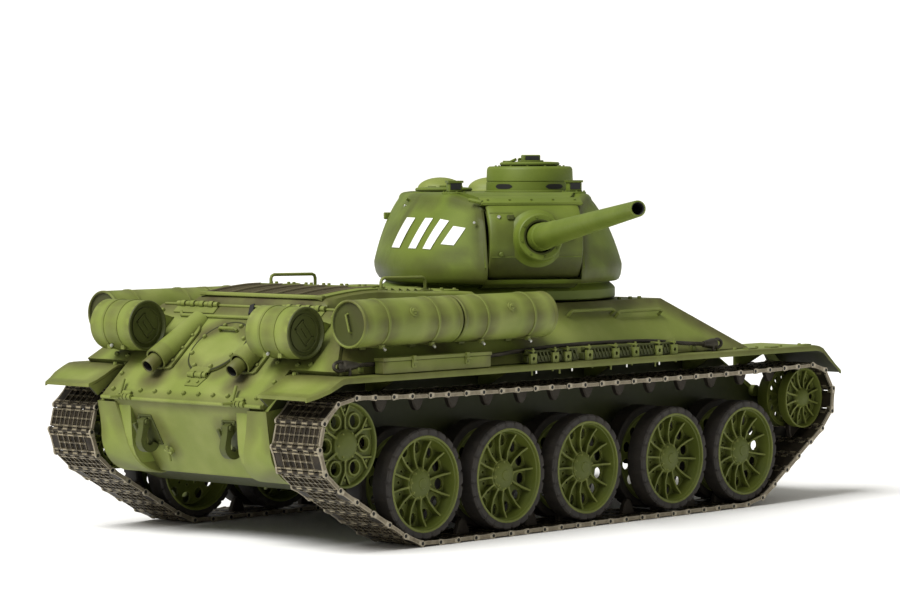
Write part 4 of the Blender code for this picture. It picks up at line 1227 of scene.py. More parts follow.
@dataclass
class UpperHull:
    """Sloped superstructure: deck, glacis and side plates, each a plate of its own."""

    wall: float = 2.0
    ring_hole: float = 50.0
    engine_bay: tuple[float, float, float] = (34.0, 40.0, 130.0)

    def rear_y(self, height: float) -> float:
        """Where the side plates end behind, under the rear plate."""
        return JUNCTION[0] - 3.4 - (height - JUNCTION[1]) * math.tan(REAR_SLOPE)

    def deck(self, shape: Shape) -> None:
        """Deck plate with the turret's opening and the engine bay.

        Args:
            shape: the mesh it adds to.
        """
        half, front, rear = DECK_HALF, GLACIS[1][0], self.rear_y(DECK_TOP)
        ring = [(a, b + RING_Y) for a, b in ring_points(self.ring_hole, 48)]
        x, y0, y1 = self.engine_bay
        bay = [(-x, y0), (x, y0), (x, y1), (-x, y1)]
        outline = [(-half, front), (half, front), (half, rear), (-half, rear)]
        shape.slotted(outline, [ring, bay], DECK_TOP - self.wall, DECK_TOP, Axis.Z)

    def glacis(self, shape: Shape) -> None:
        """Glacis plate with the driver's opening and the bow gun's port.

        Args:
            shape: the mesh it adds to.
        """
        (y0, z0), (y1, z1) = GLACIS
        length = math.hypot(y1 - y0, z1 - z0)
        frame_at = glacis_frame(0.0, z0)
        outline = [(-SPONSON_HALF, 0.0), (SPONSON_HALF, 0.0), (DECK_HALF, length), (-DECK_HALF, length)]
        scale = length / (z1 - z0)
        door = (93.5 - z0) * scale
        gun = (91.0 - z0) * scale
        holes = [[(24.0 + a, door + b) for a,
                  b in ((-11.5, -11.0), (11.5, -11.0), (11.5, 11.0), (-11.5, 11.0))],
                 [(-28.0 + a, gun + b) for a, b in ring_points(6.8, 24)]]
        shape.slotted(outline, holes, -self.wall, 0.0, Axis.Z, at=frame_at)

    def sides(self, shape: Shape) -> None:
        """Both side plates.

        Args:
            shape: the mesh it adds to.
        """
        for side in SIDES.values():
            frame_at = side_frame(side, 0.0, SPONSON_BOTTOM)
            length = math.hypot(SPONSON_HALF - DECK_HALF, DECK_TOP - SPONSON_BOTTOM)
            places = ((GLACIS[0][0], 0.0), (self.rear_y(SPONSON_BOTTOM), 0.0),
                      (self.rear_y(DECK_TOP), length), (GLACIS[1][0], length))
            outline = [(side * y, up) for y, up in places]
            shape.slotted(outline, [], -self.wall, 0.0, Axis.Z, at=frame_at)

    def strokes(self) -> list[Stroke]:
        """Brown shading along the plates' edges and round the fittings.

        Returns:
            The strokes.
        """
        lines = []
        for s in SIDES.values():
            foot, top = (s * SPONSON_HALF, GLACIS[0][0], SPONSON_BOTTOM), (s * DECK_HALF, GLACIS[1][0],
                                                                           DECK_TOP)
            lines.append((foot, top, 11.0, 0.85))
            lines.append((top, (s * DECK_HALF, 140.0, DECK_TOP), 7.0, 0.75))
            lines.append((foot, (s * SPONSON_HALF, 170.0, SPONSON_BOTTOM), 10.0, 0.6))
            lines.append(((s * SPONSON_HALF, 168.0, SPONSON_BOTTOM), (s * DECK_HALF, 142.0, DECK_TOP), 10.0,
                          0.8))
            for y in (150.0, 98.0, 33.0):
                lines.append(((s * 66.0, y, 103.0), (s * 76.0, y, 92.0), 13.0, 0.8))
            lines.append(((s * 48.0, 30.0, DECK_TOP), (s * 48.0, 136.0, DECK_TOP), 8.0, 0.8))
            lines.append(((s * 66.0, -40.0, 103.0), (s * 66.0, 8.0, 103.0), 6.0, 0.45))
        lines.append(((-85.0, -127.0, 81.2), (85.0, -127.0, 81.2), 9.0, 0.7))
        lines.append(((-62.0, -84.0, 107.4), (62.0, -84.0, 107.4), 8.0, 0.7))
        lines.append(((24.0, -96.0, 100.0), (24.0, -118.0, 88.0), 18.0, 0.5))
        return lines

    def rails(self, shape: Shape) -> None:
        """Grab rails along both side plates.

        Args:
            shape: the mesh it adds to.
        """
        for side in SIDES.values():
            for y0, y1, z in ((-5.3, -38.4, 101.0), (-39.9, -73.9, 99.6)):
                ends = [side_frame(side, y, z) for y in (y0, y1)]
                foot, top = Vector((0.0, 0.0, -0.3)), Vector((0.0, 0.8, 3.2))
                lean = Vector((0.0, 0.0, 3.2))
                path = [ends[0] @ foot, ends[0] @ lean, ends[0] @ top, ends[1] @ top, ends[1] @ lean,
                        ends[1] @ foot]
                corner = (ends[1] @ top - ends[0] @ top).normalized() * 1.6
                path[2], path[3] = path[2] + corner, path[3] - corner
                shape.tube(path, 0.85, count=10)

    def fittings(self, shape: Shape) -> None:
        """Bolts round the turret, the glacis hooks, the nose bar with its bolts and the deck's screws.

        Args:
            shape: the mesh it adds to.
        """
        for i in range(18):
            turn = math.radians(20.0 * i + 6.0)
            x, y = 56.0 * math.cos(turn), RING_Y + 56.0 * math.sin(turn)
            if abs(y - RING_Y) > 30.0:
                shape.bolt((x * 0.98, y, DECK_TOP), UP, 1.0, 1.2)
        for x, y in ((-58.0, -72.0), (-57.0, -66.0), (-56.5, -58.0), (58.0, -70.0), (57.0, -62.0),
                     (-57.5, 24.0), (57.5, 24.0), (-57.5, 16.0), (57.5, 16.0)):
            shape.bolt((x, y, DECK_TOP), UP, 1.15, 1.3)
        for side in SIDES.values():
            at = glacis_frame(side * 46.0, 85.5)
            shape.box((-2.4, -3.0, -0.3), (2.4, 3.0, 0.9), at=at, soft=0.3)
            hook = ((-1.4, 0.0, 0.5), (-1.6, 0.0, 3.4), (0.0, 0.0, 4.4), (1.6, 0.0, 3.4), (1.4, 0.0, 0.5))
            shape.tube(hook, 0.7, at=at)
        nose = glacis_frame(0.0, SPONSON_BOTTOM + 0.4)
        shape.bar((-56.0, 0.2, 0.2), (56.0, 0.2, 0.2), 1.1, count=12, at=nose)
        for x in range(-48, 49, 12):
            shape.bolt((x, 3.4, 0.0), UP, 0.9, 0.9, at=nose)

    def build(self) -> None:
        """Make the plates and their fittings."""
        shape = Shape(Finish.GREEN)
        self.deck(shape)
        self.glacis(shape)
        self.sides(shape)
        shape.densify(4.5)
        shape.airbrush(self.strokes())
        fit(shape, "sloped_plates", "hull", ["upper_hull"])
        details = Shape(Finish.GREEN)
        self.rails(details)
        self.fittings(details)
        fit(details, "hull_rails_and_bolts", "hull")


@dataclass
class RearPlate:
    """Upper rear plate with its round access hole, bolts, bars and seam hinges."""

    foot: float = 54.8
    step: tuple[float, float] = (23.9, 84.6)
    length: float = 62.9
    hatch: tuple[float, float] = (34.8, 14.0)

    def plate(self, shape: Shape) -> None:
        """The plate itself.

        Args:
            shape: the mesh it adds to.
        """
        half = DECK_HALF
        along, wide = self.step
        outline = [(-self.foot, 0.0), (self.foot, 0.0), (self.foot, along), (wide, along),
                   (half, self.length), (-half, self.length), (-wide, along), (-self.foot, along)]
        hole = [(a, b + self.hatch[0]) for a, b in ring_points(self.hatch[1], 40)]
        shape.slotted(outline, [hole], -2.4, 0.0, Axis.Z, at=rear_frame(0.0, 0.0))

    def strokes(self) -> list[Stroke]:
        """Brown shading on the seams, under the exhausts and round the hatch.

        Returns:
            The strokes.
        """
        spots = []
        half = DECK_HALF
        for a, b, reach, strength in (
                ((-half, 62.0), (half, 62.0), 9.0, 0.8), ((-54.0, 0.5), (54.0, 0.5), 6.0, 0.45),
                ((-84.0, 26.0), (-half, 62.0), 9.0, 0.75), ((84.0, 26.0), (half, 62.0), 9.0, 0.75),
                ((-28.6, 14.0), (-28.6, 20.0), 11.0, 0.95), ((28.6, 14.0), (28.6, 20.0), 11.0, 0.95),
                ((-17.0, 44.0), (-9.0, 50.0), 8.0, 0.85), ((17.0, 44.0), (9.0, 50.0), 8.0, 0.85),
                ((-17.0, 24.0), (-10.0, 19.5), 7.0, 0.6), ((17.0, 24.0), (10.0, 19.5), 7.0, 0.6),
                ((-6.0, 52.0), (6.0, 52.0), 5.0, 0.6), ((-54.0, 2.0), (-54.0, 24.0), 8.0, 0.6),
                ((54.0, 2.0), (54.0, 24.0), 8.0, 0.6), ((-40.0, 33.0), (-62.0, 33.0), 9.0, 0.55),
                ((40.0, 33.0), (62.0, 33.0), 9.0, 0.55)):
            start, end = rear_frame(a[0], a[1]), rear_frame(b[0], b[1])
            spots.append((start.translation, end.translation, reach, strength))
        return spots

    def seam(self, shape: Shape) -> None:
        """Bolt row, the edge bead and the two lever hinges on the junction.

        Args:
            shape: the mesh it adds to.
        """
        row = [(x, 4.8) for x in (49.6, 30.5, 20.6, 10.7, 0.7, -9.2, -19.0, -28.9, -48.0)]
        pairs = ((58.0, 27.0), (66.0, 27.5), (57.5, 44.0), (58.0, 58.0), (44.0, 28.0), (52.0, 15.0))
        row += [(x * s, along) for x, along in pairs for s in SIDES.values()]
        for x, along in row:
            at = rear_frame(x, along)
            shape.bolt((0.0, 0.0, 0.0), UP, 1.15, 1.3, at=at)
        shape.tube([rear_frame(x, -0.1, -0.2).translation for x in (-54.4, 54.4)], 0.9, count=12)
        for side in SIDES.values():
            at = rear_frame(side * 38.3, 0.0, 0.6)
            for x in (-4.4, -1.8, 0.8, 3.4):
                shape.bar((x, 0.0, 0.0), (x + 2.0, 0.0, 0.0), 1.5, count=12, at=at)
            shape.box((-3.2, -0.5, -0.5), (3.6, 3.4, 1.0), at=at, soft=0.25)
            shape.bar((-2.2, 0.4, 1.0), (-5.4, 9.0, 2.2), 0.75, at=at)
            shape.bar((-1.0, -0.6, 1.0), (-2.6, -4.6, 4.4), 0.75, at=at)

    def bars(self, shape: Shape) -> None:
        """Long stiffener, and the upper hinges with their knuckles.

        Args:
            shape: the mesh it adds to.
        """
        stiff = [rear_frame(x, 55.2, 0.5).translation for x in (-42.3, 42.3)]
        shape.tube(stiff, 0.95, count=10)
        for x in (-42.3, 42.3):
            shape.tube([rear_frame(x, 55.2, 0.5).translation,
                        rear_frame(x * 1.05, 57.6, 0.5).translation], 0.8)
        shape.tube([rear_frame(x, self.length, 0.2).translation for x in (-60.0, 60.0)], 0.7, count=10)
        for centre in (36.0, -36.0):
            for i in range(9):
                x = centre - 14.0 + 3.2 * i
                size = 1.7 if i % 2 else 1.35
                shape.tube([rear_frame(x, self.length - 0.4, 1.0).translation,
                            rear_frame(x + 2.7, self.length - 0.4, 1.0).translation], size, count=12)
            at = rear_frame(centre, self.length - 4.6)
            shape.box((-14.0, -1.2, -0.2), (14.0, 4.2, 0.7), at=at, soft=0.25)

    def build(self) -> None:
        """Make the plate and its fittings."""
        shape = Shape(Finish.GREEN)
        self.plate(shape)
        shape.densify(3.2)
        shape.airbrush(self.strokes())
        fit(shape, "upper_rear_plate", "hull", ["rear_plate"])
        details = Shape(Finish.GREEN)
        self.seam(details)
        self.bars(details)
        fit(details, "rear_plate_fittings", "hull")
        # Black box for the strap slot: painted shadow in the slot.
        slot = Shape(Finish.DARK)
        slot.box((-1.2, -3.4, -0.4), (1.2, 3.4, 1.2),
                 at=rear_frame(-2.0, 60.6) @ Matrix.Rotation(0.5, 4, "Z"))
        fit(slot, "deck_strap_slot", "hull")


@dataclass
class TransmissionHatch:
    """Round access hatch with its bolts, handle and hinge."""

    centre: float = 34.8
    radius: float = 16.6
    bolts: int = 8

    def build(self) -> None:
        """Make the hatch on the rear plate."""
        at = rear_frame(0.0, self.centre)
        shape = Shape(Finish.GREEN)
        profile = [(0.35, 0.0), (0.35, self.radius), (1.1, self.radius), (1.5, self.radius - 0.4),
                   (1.55, self.radius - 3.0),
                   (1.75, self.radius - 3.6), (2.0, self.radius - 7.0), (2.1, 4.0), (2.1, 0.0)]
        shape.turned(profile, Axis.Z, 56, at=at)
        shape.densify(3.0)
        shape.airbrush([(at @ Vector(p), at @ Vector(q), r, k) for p, q, r, k in (
            ((-13.0, 9.0, 1.0), (-4.0, 15.0, 1.0), 7.0, 0.8), ((13.0, 9.0, 1.0), (4.0, 15.0, 1.0), 7.0, 0.7),
            ((-12.0, -10.0, 1.0), (-3.0, -15.0, 1.0), 6.0, 0.5),
            ((12.0, -10.0, 1.0), (3.0, -15.0, 1.0), 6.0, 0.5))])
        # Thin ring in the shadowed green round the hatch's edge: a painted shadow line.
        shape.turned([(1.3, self.radius + 0.06), (1.62, self.radius - 0.2), (1.64, self.radius - 0.85),
                      (1.4, self.radius - 0.95)], Axis.Z, 56, Finish.UNDER, at=at)
        for a, b in ring_points(14.4, self.bolts, math.pi / self.bolts):
            shape.bolt((a, b, 1.5), UP, 1.15, 1.3, at=at)
        handle = [(-5.6, 9.7, 1.4), (-5.6, 9.7, 3.3), (-4.8, 9.7, 4.0), (4.8, 9.7, 4.0), (5.6, 9.7, 3.3),
                  (5.6, 9.7, 1.4)]
        shape.tube(handle, 0.8, at=at)
        for i in range(5):
            x = -6.2 + 2.55 * i
            size = 1.75 if i % 2 else 1.4
            shape.bar((x, -18.4, 1.0), (x + 2.2, -18.4, 1.0), size, count=12, at=at)
        shape.box((-6.2, -18.6, 0.4), (6.2, -13.6, 1.9), at=at, soft=0.3)
        fit(shape, "round_access_hatch", "transmission_hatch", ["transmission_hatch"])
        tail = Shape(Finish.GREEN)
        lower = rear_frame(0.0, 13.8)
        outline = [(-6.4, 2.2), (-4.4, -4.0), (4.4, -4.0), (6.4, 2.2)]
        tail.prism(outline, -0.2, 0.55, Axis.Z, at=lower, rim=0.2)
        for x in (-3.0, 3.0):
            tail.bolt((x, -1.6, 0.5), UP, 0.8, 0.8, at=lower)
        fit(tail, "access_hatch_hinge_plate", "hull")


@dataclass
class Exhaust:
    """Armoured exhaust cover with the end of its pipe."""

    side: float
    x: float = 28.6
    mouth: tuple[float, float] = (179.4, 84.4)
    droop: float = 30.0
    hood: float = 5.6
    pipe: float = 3.6
    bore: float = 2.7

    def build(self) -> None:
        """Make the flange, hood and pipe."""
        shape = Shape(Finish.GREEN, Finish.DARK)
        across = self.side * self.x
        at = rear_frame(across, 0.0)
        outline = [(-7.4, 20.6), (-6.0, 19.2), (6.0, 19.2), (7.4, 20.6), (7.4, 43.0)]
        outline += arc((0.0, 43.0), 7.4, 0.0, 180.0, 12)[1:] + [(-7.4, 43.0)]
        shape.prism(outline, 0.0, 1.5, Axis.Z, at=at, rim=0.3)
        for x, along in ((-6.0, 24.0), (6.0, 24.0), (-6.2, 41.0), (6.2, 41.0), (-6.1, 32.5), (6.1, 32.5)):
            shape.bolt((x, along, 1.4), UP, 0.85, 1.0, at=at)
        droop = Matrix.Rotation(math.radians(-self.droop), 4, "X")
        place = Matrix.Translation((across, *self.mouth)) @ droop
        rows = []
        inner = self.hood - 0.9
        back = -place.to_3x3().col[1]
        plane, normal = at.translation, at.to_3x3().col[2]
        for i in range(32):
            turn = 2.0 * math.pi * i / 32
            x, z = self.hood * math.cos(turn), self.hood * math.sin(turn)
            mouth = place @ Vector((x, 0.0, z))
            reach = min(34.0, max(1.0, (plane - mouth).dot(normal) / back.dot(normal) + 0.6))
            share = inner / self.hood
            rows.append([mouth + back * reach, mouth + back * reach * 0.5, mouth,
                         place @ Vector((x * share, 0.0, z * share)),
                         place @ Vector((x * share, -7.0, z * share))])
        shape.sheet(rows, around=False, closed=True)
        shape.turned([(-6.9, 5.0), (-7.0, self.pipe), (5.6, self.pipe), (6.1, self.pipe - 0.3),
                      (6.1, self.bore + 0.2), (5.8, self.bore), (-4.0, self.bore)], Axis.Y, 32, at=place)
        # Black disc and lining inside the pipe: painted shadow in the bore.
        shape.turned([(-4.0, self.bore), (-4.0, 0.0)], Axis.Y, 32, Finish.DARK, at=place)
        shape.turned([(5.7, self.bore), (-3.9, self.bore - 0.05)], Axis.Y, 32, Finish.DARK, at=place)
        shape.densify(4.0)
        tip = place @ Vector((0.0, 6.0, 0.0))
        shape.airbrush([(tip, place @ Vector((0.0, 3.0, 0.0)), 8.0, 0.9),
                        (at @ Vector((-9.0, 22.0, 0.0)), at @ Vector((9.0, 22.0, 0.0)), 7.0, 0.6)])
        label = side_name(self.side)
        fit(shape, f"armoured_exhaust_{label}", "hull", [f"exhaust_{label}"])


@dataclass
class EngineDeck:
    """Raised engine deck with its rear grille, louvres, clamps and grab hoops."""

    half: float = 46.0
    top_half: float = 41.5
    front: float = 31.6
    rear: float = 140.6
    heights: tuple[tuple[float, float], ...] = (
        (35.6, 113.8), (55.0, 114.6), (75.0, 115.2), (90.0, 116.0), (103.0, 116.6), (112.0, 116.4),
        (122.0, 115.6), (130.0, 114.7), (136.6, 113.6))

    def height(self, y: float) -> float:
        """Height of the crown at a place along the deck.

        Args:
            y: place along the deck.

        Returns:
            The height.
        """
        for (y0, z0), (y1, z1) in zip(self.heights, self.heights[1:]):
            if y <= y1:
                return z0 + (z1 - z0) * (y - y0) / (y1 - y0)
        return self.heights[-1][1]

    def hump(self, shape: Shape) -> None:
        """Skin of the raised deck with a rounded shoulder.

        Args:
            shape: the mesh it adds to.
        """
        rows = []
        stations = [self.front, self.front + 1.5] + [y for y, _ in self.heights]
        stations += [self.rear - 1.5, self.rear]
        for i, y in enumerate(stations):
            end = i in (0, len(stations) - 1)
            near = i in (1, len(stations) - 2)
            top = 107.9 if end else (111.5 if near else self.height(y))
            half = self.half - (0.0 if end or near else 0.6)
            shoulder = self.top_half + (2.0 if end or near else 0.0)
            side = [(half, 107.6), (half - 0.3, min(top, 110.6)), (shoulder + 2.0, min(top, top - 1.0)),
                    (shoulder, top), (shoulder * 0.5, top + (0.0 if end else 0.25))]
            points = side + [(0.0, top + (0.0 if end else 0.3))] + [(-x, z) for x, z in side[::-1]]
            rows.append([(x, y, z) for x, z in points])
        shape.sheet(rows)
        first, last = rows[0], rows[-1]
        shape.sheet([[(x, y, 107.5) for x, y, _ in first], first])
        shape.sheet([last, [(x, y, 107.5) for x, y, _ in last]])

    def mesh_bars(self, shape: Shape) -> None:
        """Woven grille behind the clamps, in five bays between curved ribs.

        Args:
            shape: the mesh it adds to.
        """
        y0, y1 = 103.0, 136.8
        inset = 37.5
        for i in range(39):
            x = -inset + 2.0 * inset * i / 38
            line = [(x, y0 + (y1 - y0) * j / 6,
                     self.height(y0 + (y1 - y0) * j / 6) + 0.55) for j in range(7)]
            shape.tube(line, 0.28, count=4)
        for j in range(22):
            y = y0 + (y1 - y0) * j / 21
            shape.bar((-inset, y, self.height(y) + 0.8), (inset, y, self.height(y) + 0.8), 0.28, count=4)
        for i in range(6):
            x = -inset + 2.0 * inset * i / 5
            line = [(x, y0 - 1.0 + (y1 - y0 + 2.0) * j / 8,
                     self.height(y0 - 1.0 + (y1 - y0 + 2.0) * j / 8) + 1.1) for j in range(9)]
            shape.tube(line, 0.7, count=8)

    def frame_bars(self, shape: Shape) -> None:
        """Flat frame round the grille, and the clamps along its front.

        Args:
            shape: the mesh it adds to.
        """
        for y, wide in ((137.6, 41.5), (101.8, 39.5)):
            z = self.height(min(y, 136.6))
            shape.box((-wide, y - 1.3, z - 0.4), (wide, y + 1.3, z + 1.5), soft=0.35)
        for side in SIDES.values():
            rows = []
            for y in (101.0, 112.0, 122.0, 130.0, 138.6):
                z = self.height(min(y, 136.6))
                rows.append([(side * 37.0, y, z - 0.3), (side * 41.3, y, z - 0.9),
                             (side * 41.3, y, z + 0.7), (side * 37.6, y, z + 1.4)])
            shape.sheet(rows, around=True, caps=True)
        for x in (-30.0, -18.0, -6.0, 6.0, 18.0, 30.0):
            z = self.height(100.0)
            shape.box((x - 3.2, 98.6, z - 0.2), (x + 3.2, 102.0, z + 1.6), soft=0.3)
            for step in (-1.8, 1.8):
                shape.bolt((x + step, 100.2, z + 1.6), UP, 0.85, 1.0)

    def hoops(self, shape: Shape) -> None:
        """Grab hoops along both shoulders with their feet.

        Args:
            shape: the mesh it adds to.
        """
        for side in SIDES.values():
            x = side * 37.5
            path = [(x, 64.5, 114.6), (x, 64.5, 119.6), (x, 65.1, 120.9), (x, 66.6, 121.5), (x, 92.9, 121.9),
                    (x, 94.4, 121.3), (x, 95.0, 120.0), (x, 95.0, 115.4)]
            shape.tube(path, 0.8, count=12)
            for y in (64.5, 95.0):
                shape.box((x - 1.8, y - 3.0, self.height(y) - 0.3), (x + 1.8, y + 3.0, self.height(y) + 0.7),
                          soft=0.25)
                for step in (-2.0, 2.0):
                    shape.bolt((x, y + step, self.height(y) + 0.6), (0.0, 0.0, 1.0), 0.6, 0.7)

    def panels(self, shape: Shape) -> None:
        """Access panels, louvres, screws and hinges on the crown.

        Args:
            shape: the mesh it adds to.
        """
        for side in SIDES.values():
            for i in range(7):
                y = 56.0 + 5.4 * i
                x0, x1 = sorted((side * 19.0, side * 34.0))
                z = self.height(y)
                shape.prism([(y - 1.9, z - 0.2), (y + 1.9, z - 0.2), (y + 1.2, z + 1.3)], x0, x1, Axis.X)
            shape.box((side * 26.0 - 9.5, 38.0, 113.4), (side * 26.0 + 9.5, 51.0, 114.9), soft=0.4)
        z = self.height(70.0)
        shape.box((-15.5, 44.0, 113.6), (15.5, 94.0, z + 0.6), soft=0.5)
        shape.turned([(z - 0.5, 8.6), (z + 1.7, 8.6), (z + 2.1, 8.0), (z + 2.1, 0.0)], Axis.Z, 32,
                     at=Matrix.Translation((0.0, 68.0, 0.0)))
        for x, y in ((-14.0, 46.0), (14.0, 46.0), (-14.0, 92.0), (14.0, 92.0), (-14.0, 69.0), (14.0, 69.0),
                     (-44.0, 40.0), (44.0, 40.0), (-44.0, 60.0), (44.0, 60.0), (-44.0, 84.0), (44.0, 84.0),
                     (-44.0, 110.0), (44.0, 110.0), (-34.0, 40.0), (34.0, 40.0), (-34.0, 49.0),
                     (34.0, 49.0)):
            base = 110.4 if abs(x) > 43.0 else self.height(y) + 0.5
            shape.bolt((x, y, base), UP, 0.95, 1.1)
        for side in SIDES.values():
            for y in (46.0, 74.0):
                for i in range(4):
                    shape.bar((side * 41.0, y + 2.4 * i, 112.9), (side * 41.0, y + 2.4 * i + 2.0, 112.9),
                              1.1)

    def build(self) -> None:
        """Make the deck."""
        skin = Shape(Finish.GREEN)
        self.hump(skin)
        skin.densify(4.0)
        strokes = [((-41.0, 101.0, 115.5), (41.0, 101.0, 115.5), 9.0, 0.75),
                   ((-42.0, 138.0, 112.0), (42.0, 138.0, 112.0), 8.0, 0.8)]
        for s in SIDES.values():
            strokes.append(((s * 45.0, 33.0, 109.0), (s * 45.0, 138.0, 109.0), 5.0, 0.6))
            strokes.append(((s * 38.0, 60.0, 114.0), (s * 38.0, 100.0, 116.0), 7.0, 0.4))
            strokes.append(((s * 30.0, 104.0, 116.5), (s * 30.0, 136.0, 114.0), 20.0, 1.0))
        skin.airbrush(strokes + [((0.0, 104.0, 116.8), (0.0, 136.0, 114.2), 24.0, 1.0)])
        fit(skin, "raised_engine_deck", "hull", ["engine_deck_cover"])
        grille = Shape(Finish.GRILLE)
        self.mesh_bars(grille)
        fit(grille, "deck_grille", "hull")
        details = Shape(Finish.GREEN)
        self.frame_bars(details)
        self.hoops(details)
        self.panels(details)
        fit(details, "engine_deck_fittings", "hull")


# ---------------------------------------------------------------- lower hull fittings
def lower_frame(across: float, along: float, out: float = 0.0) -> Matrix:
    """Frame on the lower rear plate: X across, Y up the plate, Z out of its face.

    Args:
        across: place across the tank.
        along: distance up the plate.
        out: distance out of its face.

    Returns:
        The frame.
    """
    dy, dz = 19.6 / 40.11, 35.0 / 40.11
    y = 171.0 + along * dy + out * dz
    z = 31.7 + along * dz - out * dy
    turn = Matrix(((-1.0, 0.0, 0.0), (0.0, dy, dz), (0.0, dz, -dy)))
    return Matrix.Translation((across, y, z)) @ turn.to_4x4()


@dataclass
class LowerHull:
    """Outer skin of the lower rear, final drive housings, tow hooks and their latches."""

    housing: float = 18.9
    centre: tuple[float, float] = (169.3, 48.8)
    outer: float = 57.35
    hook_x: float = 28.6

    def housings(self, shape: Shape) -> None:
        """Round final drive housings whose inner edges slant in towards the bottom.

        Args:
            shape: the mesh it adds to.
        """
        outline = arc(self.centre, self.housing, -128.0, 3.0, 30)
        outline += [(188.9, 56.0), (190.5, 64.4), (176.0, 66.0), (158.0, 60.0)]
        for s in SIDES.values():
            rows = []
            for share in (0.0, 0.04, 1.0):
                row = []
                for y, z in outline:
                    inner = 34.5 + (z - 30.0) / (66.0 - 30.0) * 10.5
                    pull = 0.7 if share == 0.0 else 0.0
                    centre_y, centre_z = self.centre
                    row.append((s * (inner + (self.outer - inner) * share),
                                centre_y + (y - centre_y) * (1.0 - pull * 0.05),
                                centre_z + (z - centre_z) * (1.0 - pull * 0.05)))
                rows.append(row)
            shape.sheet(rows, around=True, caps=True)

    def skin(self, shape: Shape) -> None:
        """Lower rear plate between the housings."""
        shape.box((-46.0, -0.4, -1.0), (46.0, 39.4, 0.25), at=lower_frame(0.0, 0.0))

    def hooks(self, shape: Shape) -> None:
        """Tow hooks on their pads, with the latch bar above each.

        Args:
            shape: the mesh it adds to.
        """
        for s in SIDES.values():
            at = lower_frame(s * self.hook_x, 21.5)
            shape.box((-4.6, -6.5, 0.0), (4.6, 10.0, 1.0), at=at, soft=0.3)
            outline = [(8.6, 0.4), (9.0, 3.6), (6.0, 5.6)] + arc((-1.5, 4.4), 6.0, 60.0, 215.0, 14)
            outline += arc((-1.5, 4.4), 2.6, 215.0, 70.0, 10) + [(2.6, 4.6), (4.4, 0.4)]
            shape.slotted(outline, [], -2.0, 2.0, Axis.X, at=at)
            shape.bar((-3.2, 7.4, 2.6), (3.2, 7.4, 2.6), 1.2, at=at)
            shape.box((-3.4, -2.4, 4.9), (-1.8, 8.6, 6.6), at=at, soft=0.3)
            for y in (-5.0, 8.6):
                for x in (-3.6, 3.6):
                    shape.bolt((x, y, 0.9), UP, 0.75, 0.8, at=at)

    def latches(self, shape: Shape) -> None:
        """Small toggles beside the hooks.

        Args:
            shape: the mesh it adds to.
        """
        for s in SIDES.values():
            at = lower_frame(s * self.hook_x - 8.0, 12.0)
            shape.bolt((0.0, 0.0, 0.0), UP, 1.9, 2.4, 12, at=at)
            shape.bar((0.4, 3.2, 2.0), (-0.8, -4.6, 2.6), 0.7, at=at)
            shape.bar((-2.2, 0.8, 2.0), (2.0, -0.6, 2.2), 0.7, at=at)

    def belly(self, shape: Shape) -> None:
        """Drain plugs and access plates under the belly.

        Args:
            shape: the mesh it adds to.
        """
        for x, y, size in ((-24.0, 130.0, 6.0), (24.0, 130.0, 6.0), (0.0, 60.0, 8.0), (-22.0, -60.0, 5.0),
                           (22.0, -60.0, 5.0)):
            shape.turned([(25.1, size), (24.4, size), (24.15, size - 0.6), (24.15, 0.0)], Axis.Z, 28,
                         at=Matrix.Translation((x, y, 0.0)))
            for a, b in ring_points(size - 1.6, 6):
                shape.bolt((x + a, y + b, 24.2), (0.0, 0.0, -1.0), 0.6, 0.5)

    def front(self, shape: Shape) -> None:
        """Nose bar, front tow hooks and the adjusters in front of the idlers.

        Args:
            shape: the mesh it adds to.
        """
        shape.bar((-56.8, -183.0, 46.5), (56.8, -183.0, 46.5), 2.6, count=16)
        for s in SIDES.values():
            at = Matrix.Translation((s * 34.0, -181.0, 46.5))
            outline = [(0.0, 4.0), (-5.0, 5.2), (-8.4, 3.0), (-9.0, -1.0), (-6.0, -4.6), (-4.4, -3.0),
                       (-6.2, -0.4), (-5.4, 1.8), (0.0, 1.0)]
            shape.prism(outline, -2.0, 2.0, Axis.X, at=at, rim=0.3)
            shape.bar((s * 55.0, -166.0, 56.0), (s * 60.0, -166.0, 56.0), 3.0, count=12)

    def build(self) -> None:
        """Make every fitting."""
        shape = Shape(Finish.GREEN)
        self.housings(shape)
        self.skin(shape)
        shape.densify(3.6)
        strokes = []
        for s in SIDES.values():
            strokes += [((s * 46.0, 190.0, 64.0), (s * 35.0, 172.0, 32.0), 9.0, 0.55),
                        ((s * 57.0, 190.0, 66.0), (s * 57.0, 188.0, 48.0), 5.0, 0.5),
                        ((s * 34.0, 186.0, 58.0), (s * 38.0, 178.0, 44.0), 8.0, 0.7),
                        ((s * 44.0, 176.0, 33.0), (s * 56.0, 180.0, 36.0), 7.0, 0.6),
                        ((s * 22.0, 186.0, 56.0), (s * 18.0, 178.0, 42.0), 7.0, 0.6)]
        strokes.append(((-50.0, 190.0, 66.0), (50.0, 190.0, 66.0), 6.0, 0.6))
        shape.airbrush(strokes)
        fit(shape, "lower_rear_skin", "hull")
        details = Shape(Finish.GREEN)
        self.latches(details)
        self.belly(details)
        self.front(details)
        fit(details, "lower_hull_fittings", "hull")
        # Tow hooks in the shaded green: painted shade on them.
        hooks = Shape(Finish.CAP)
        self.hooks(hooks)
        fit(hooks, "tow_hooks", "hull")


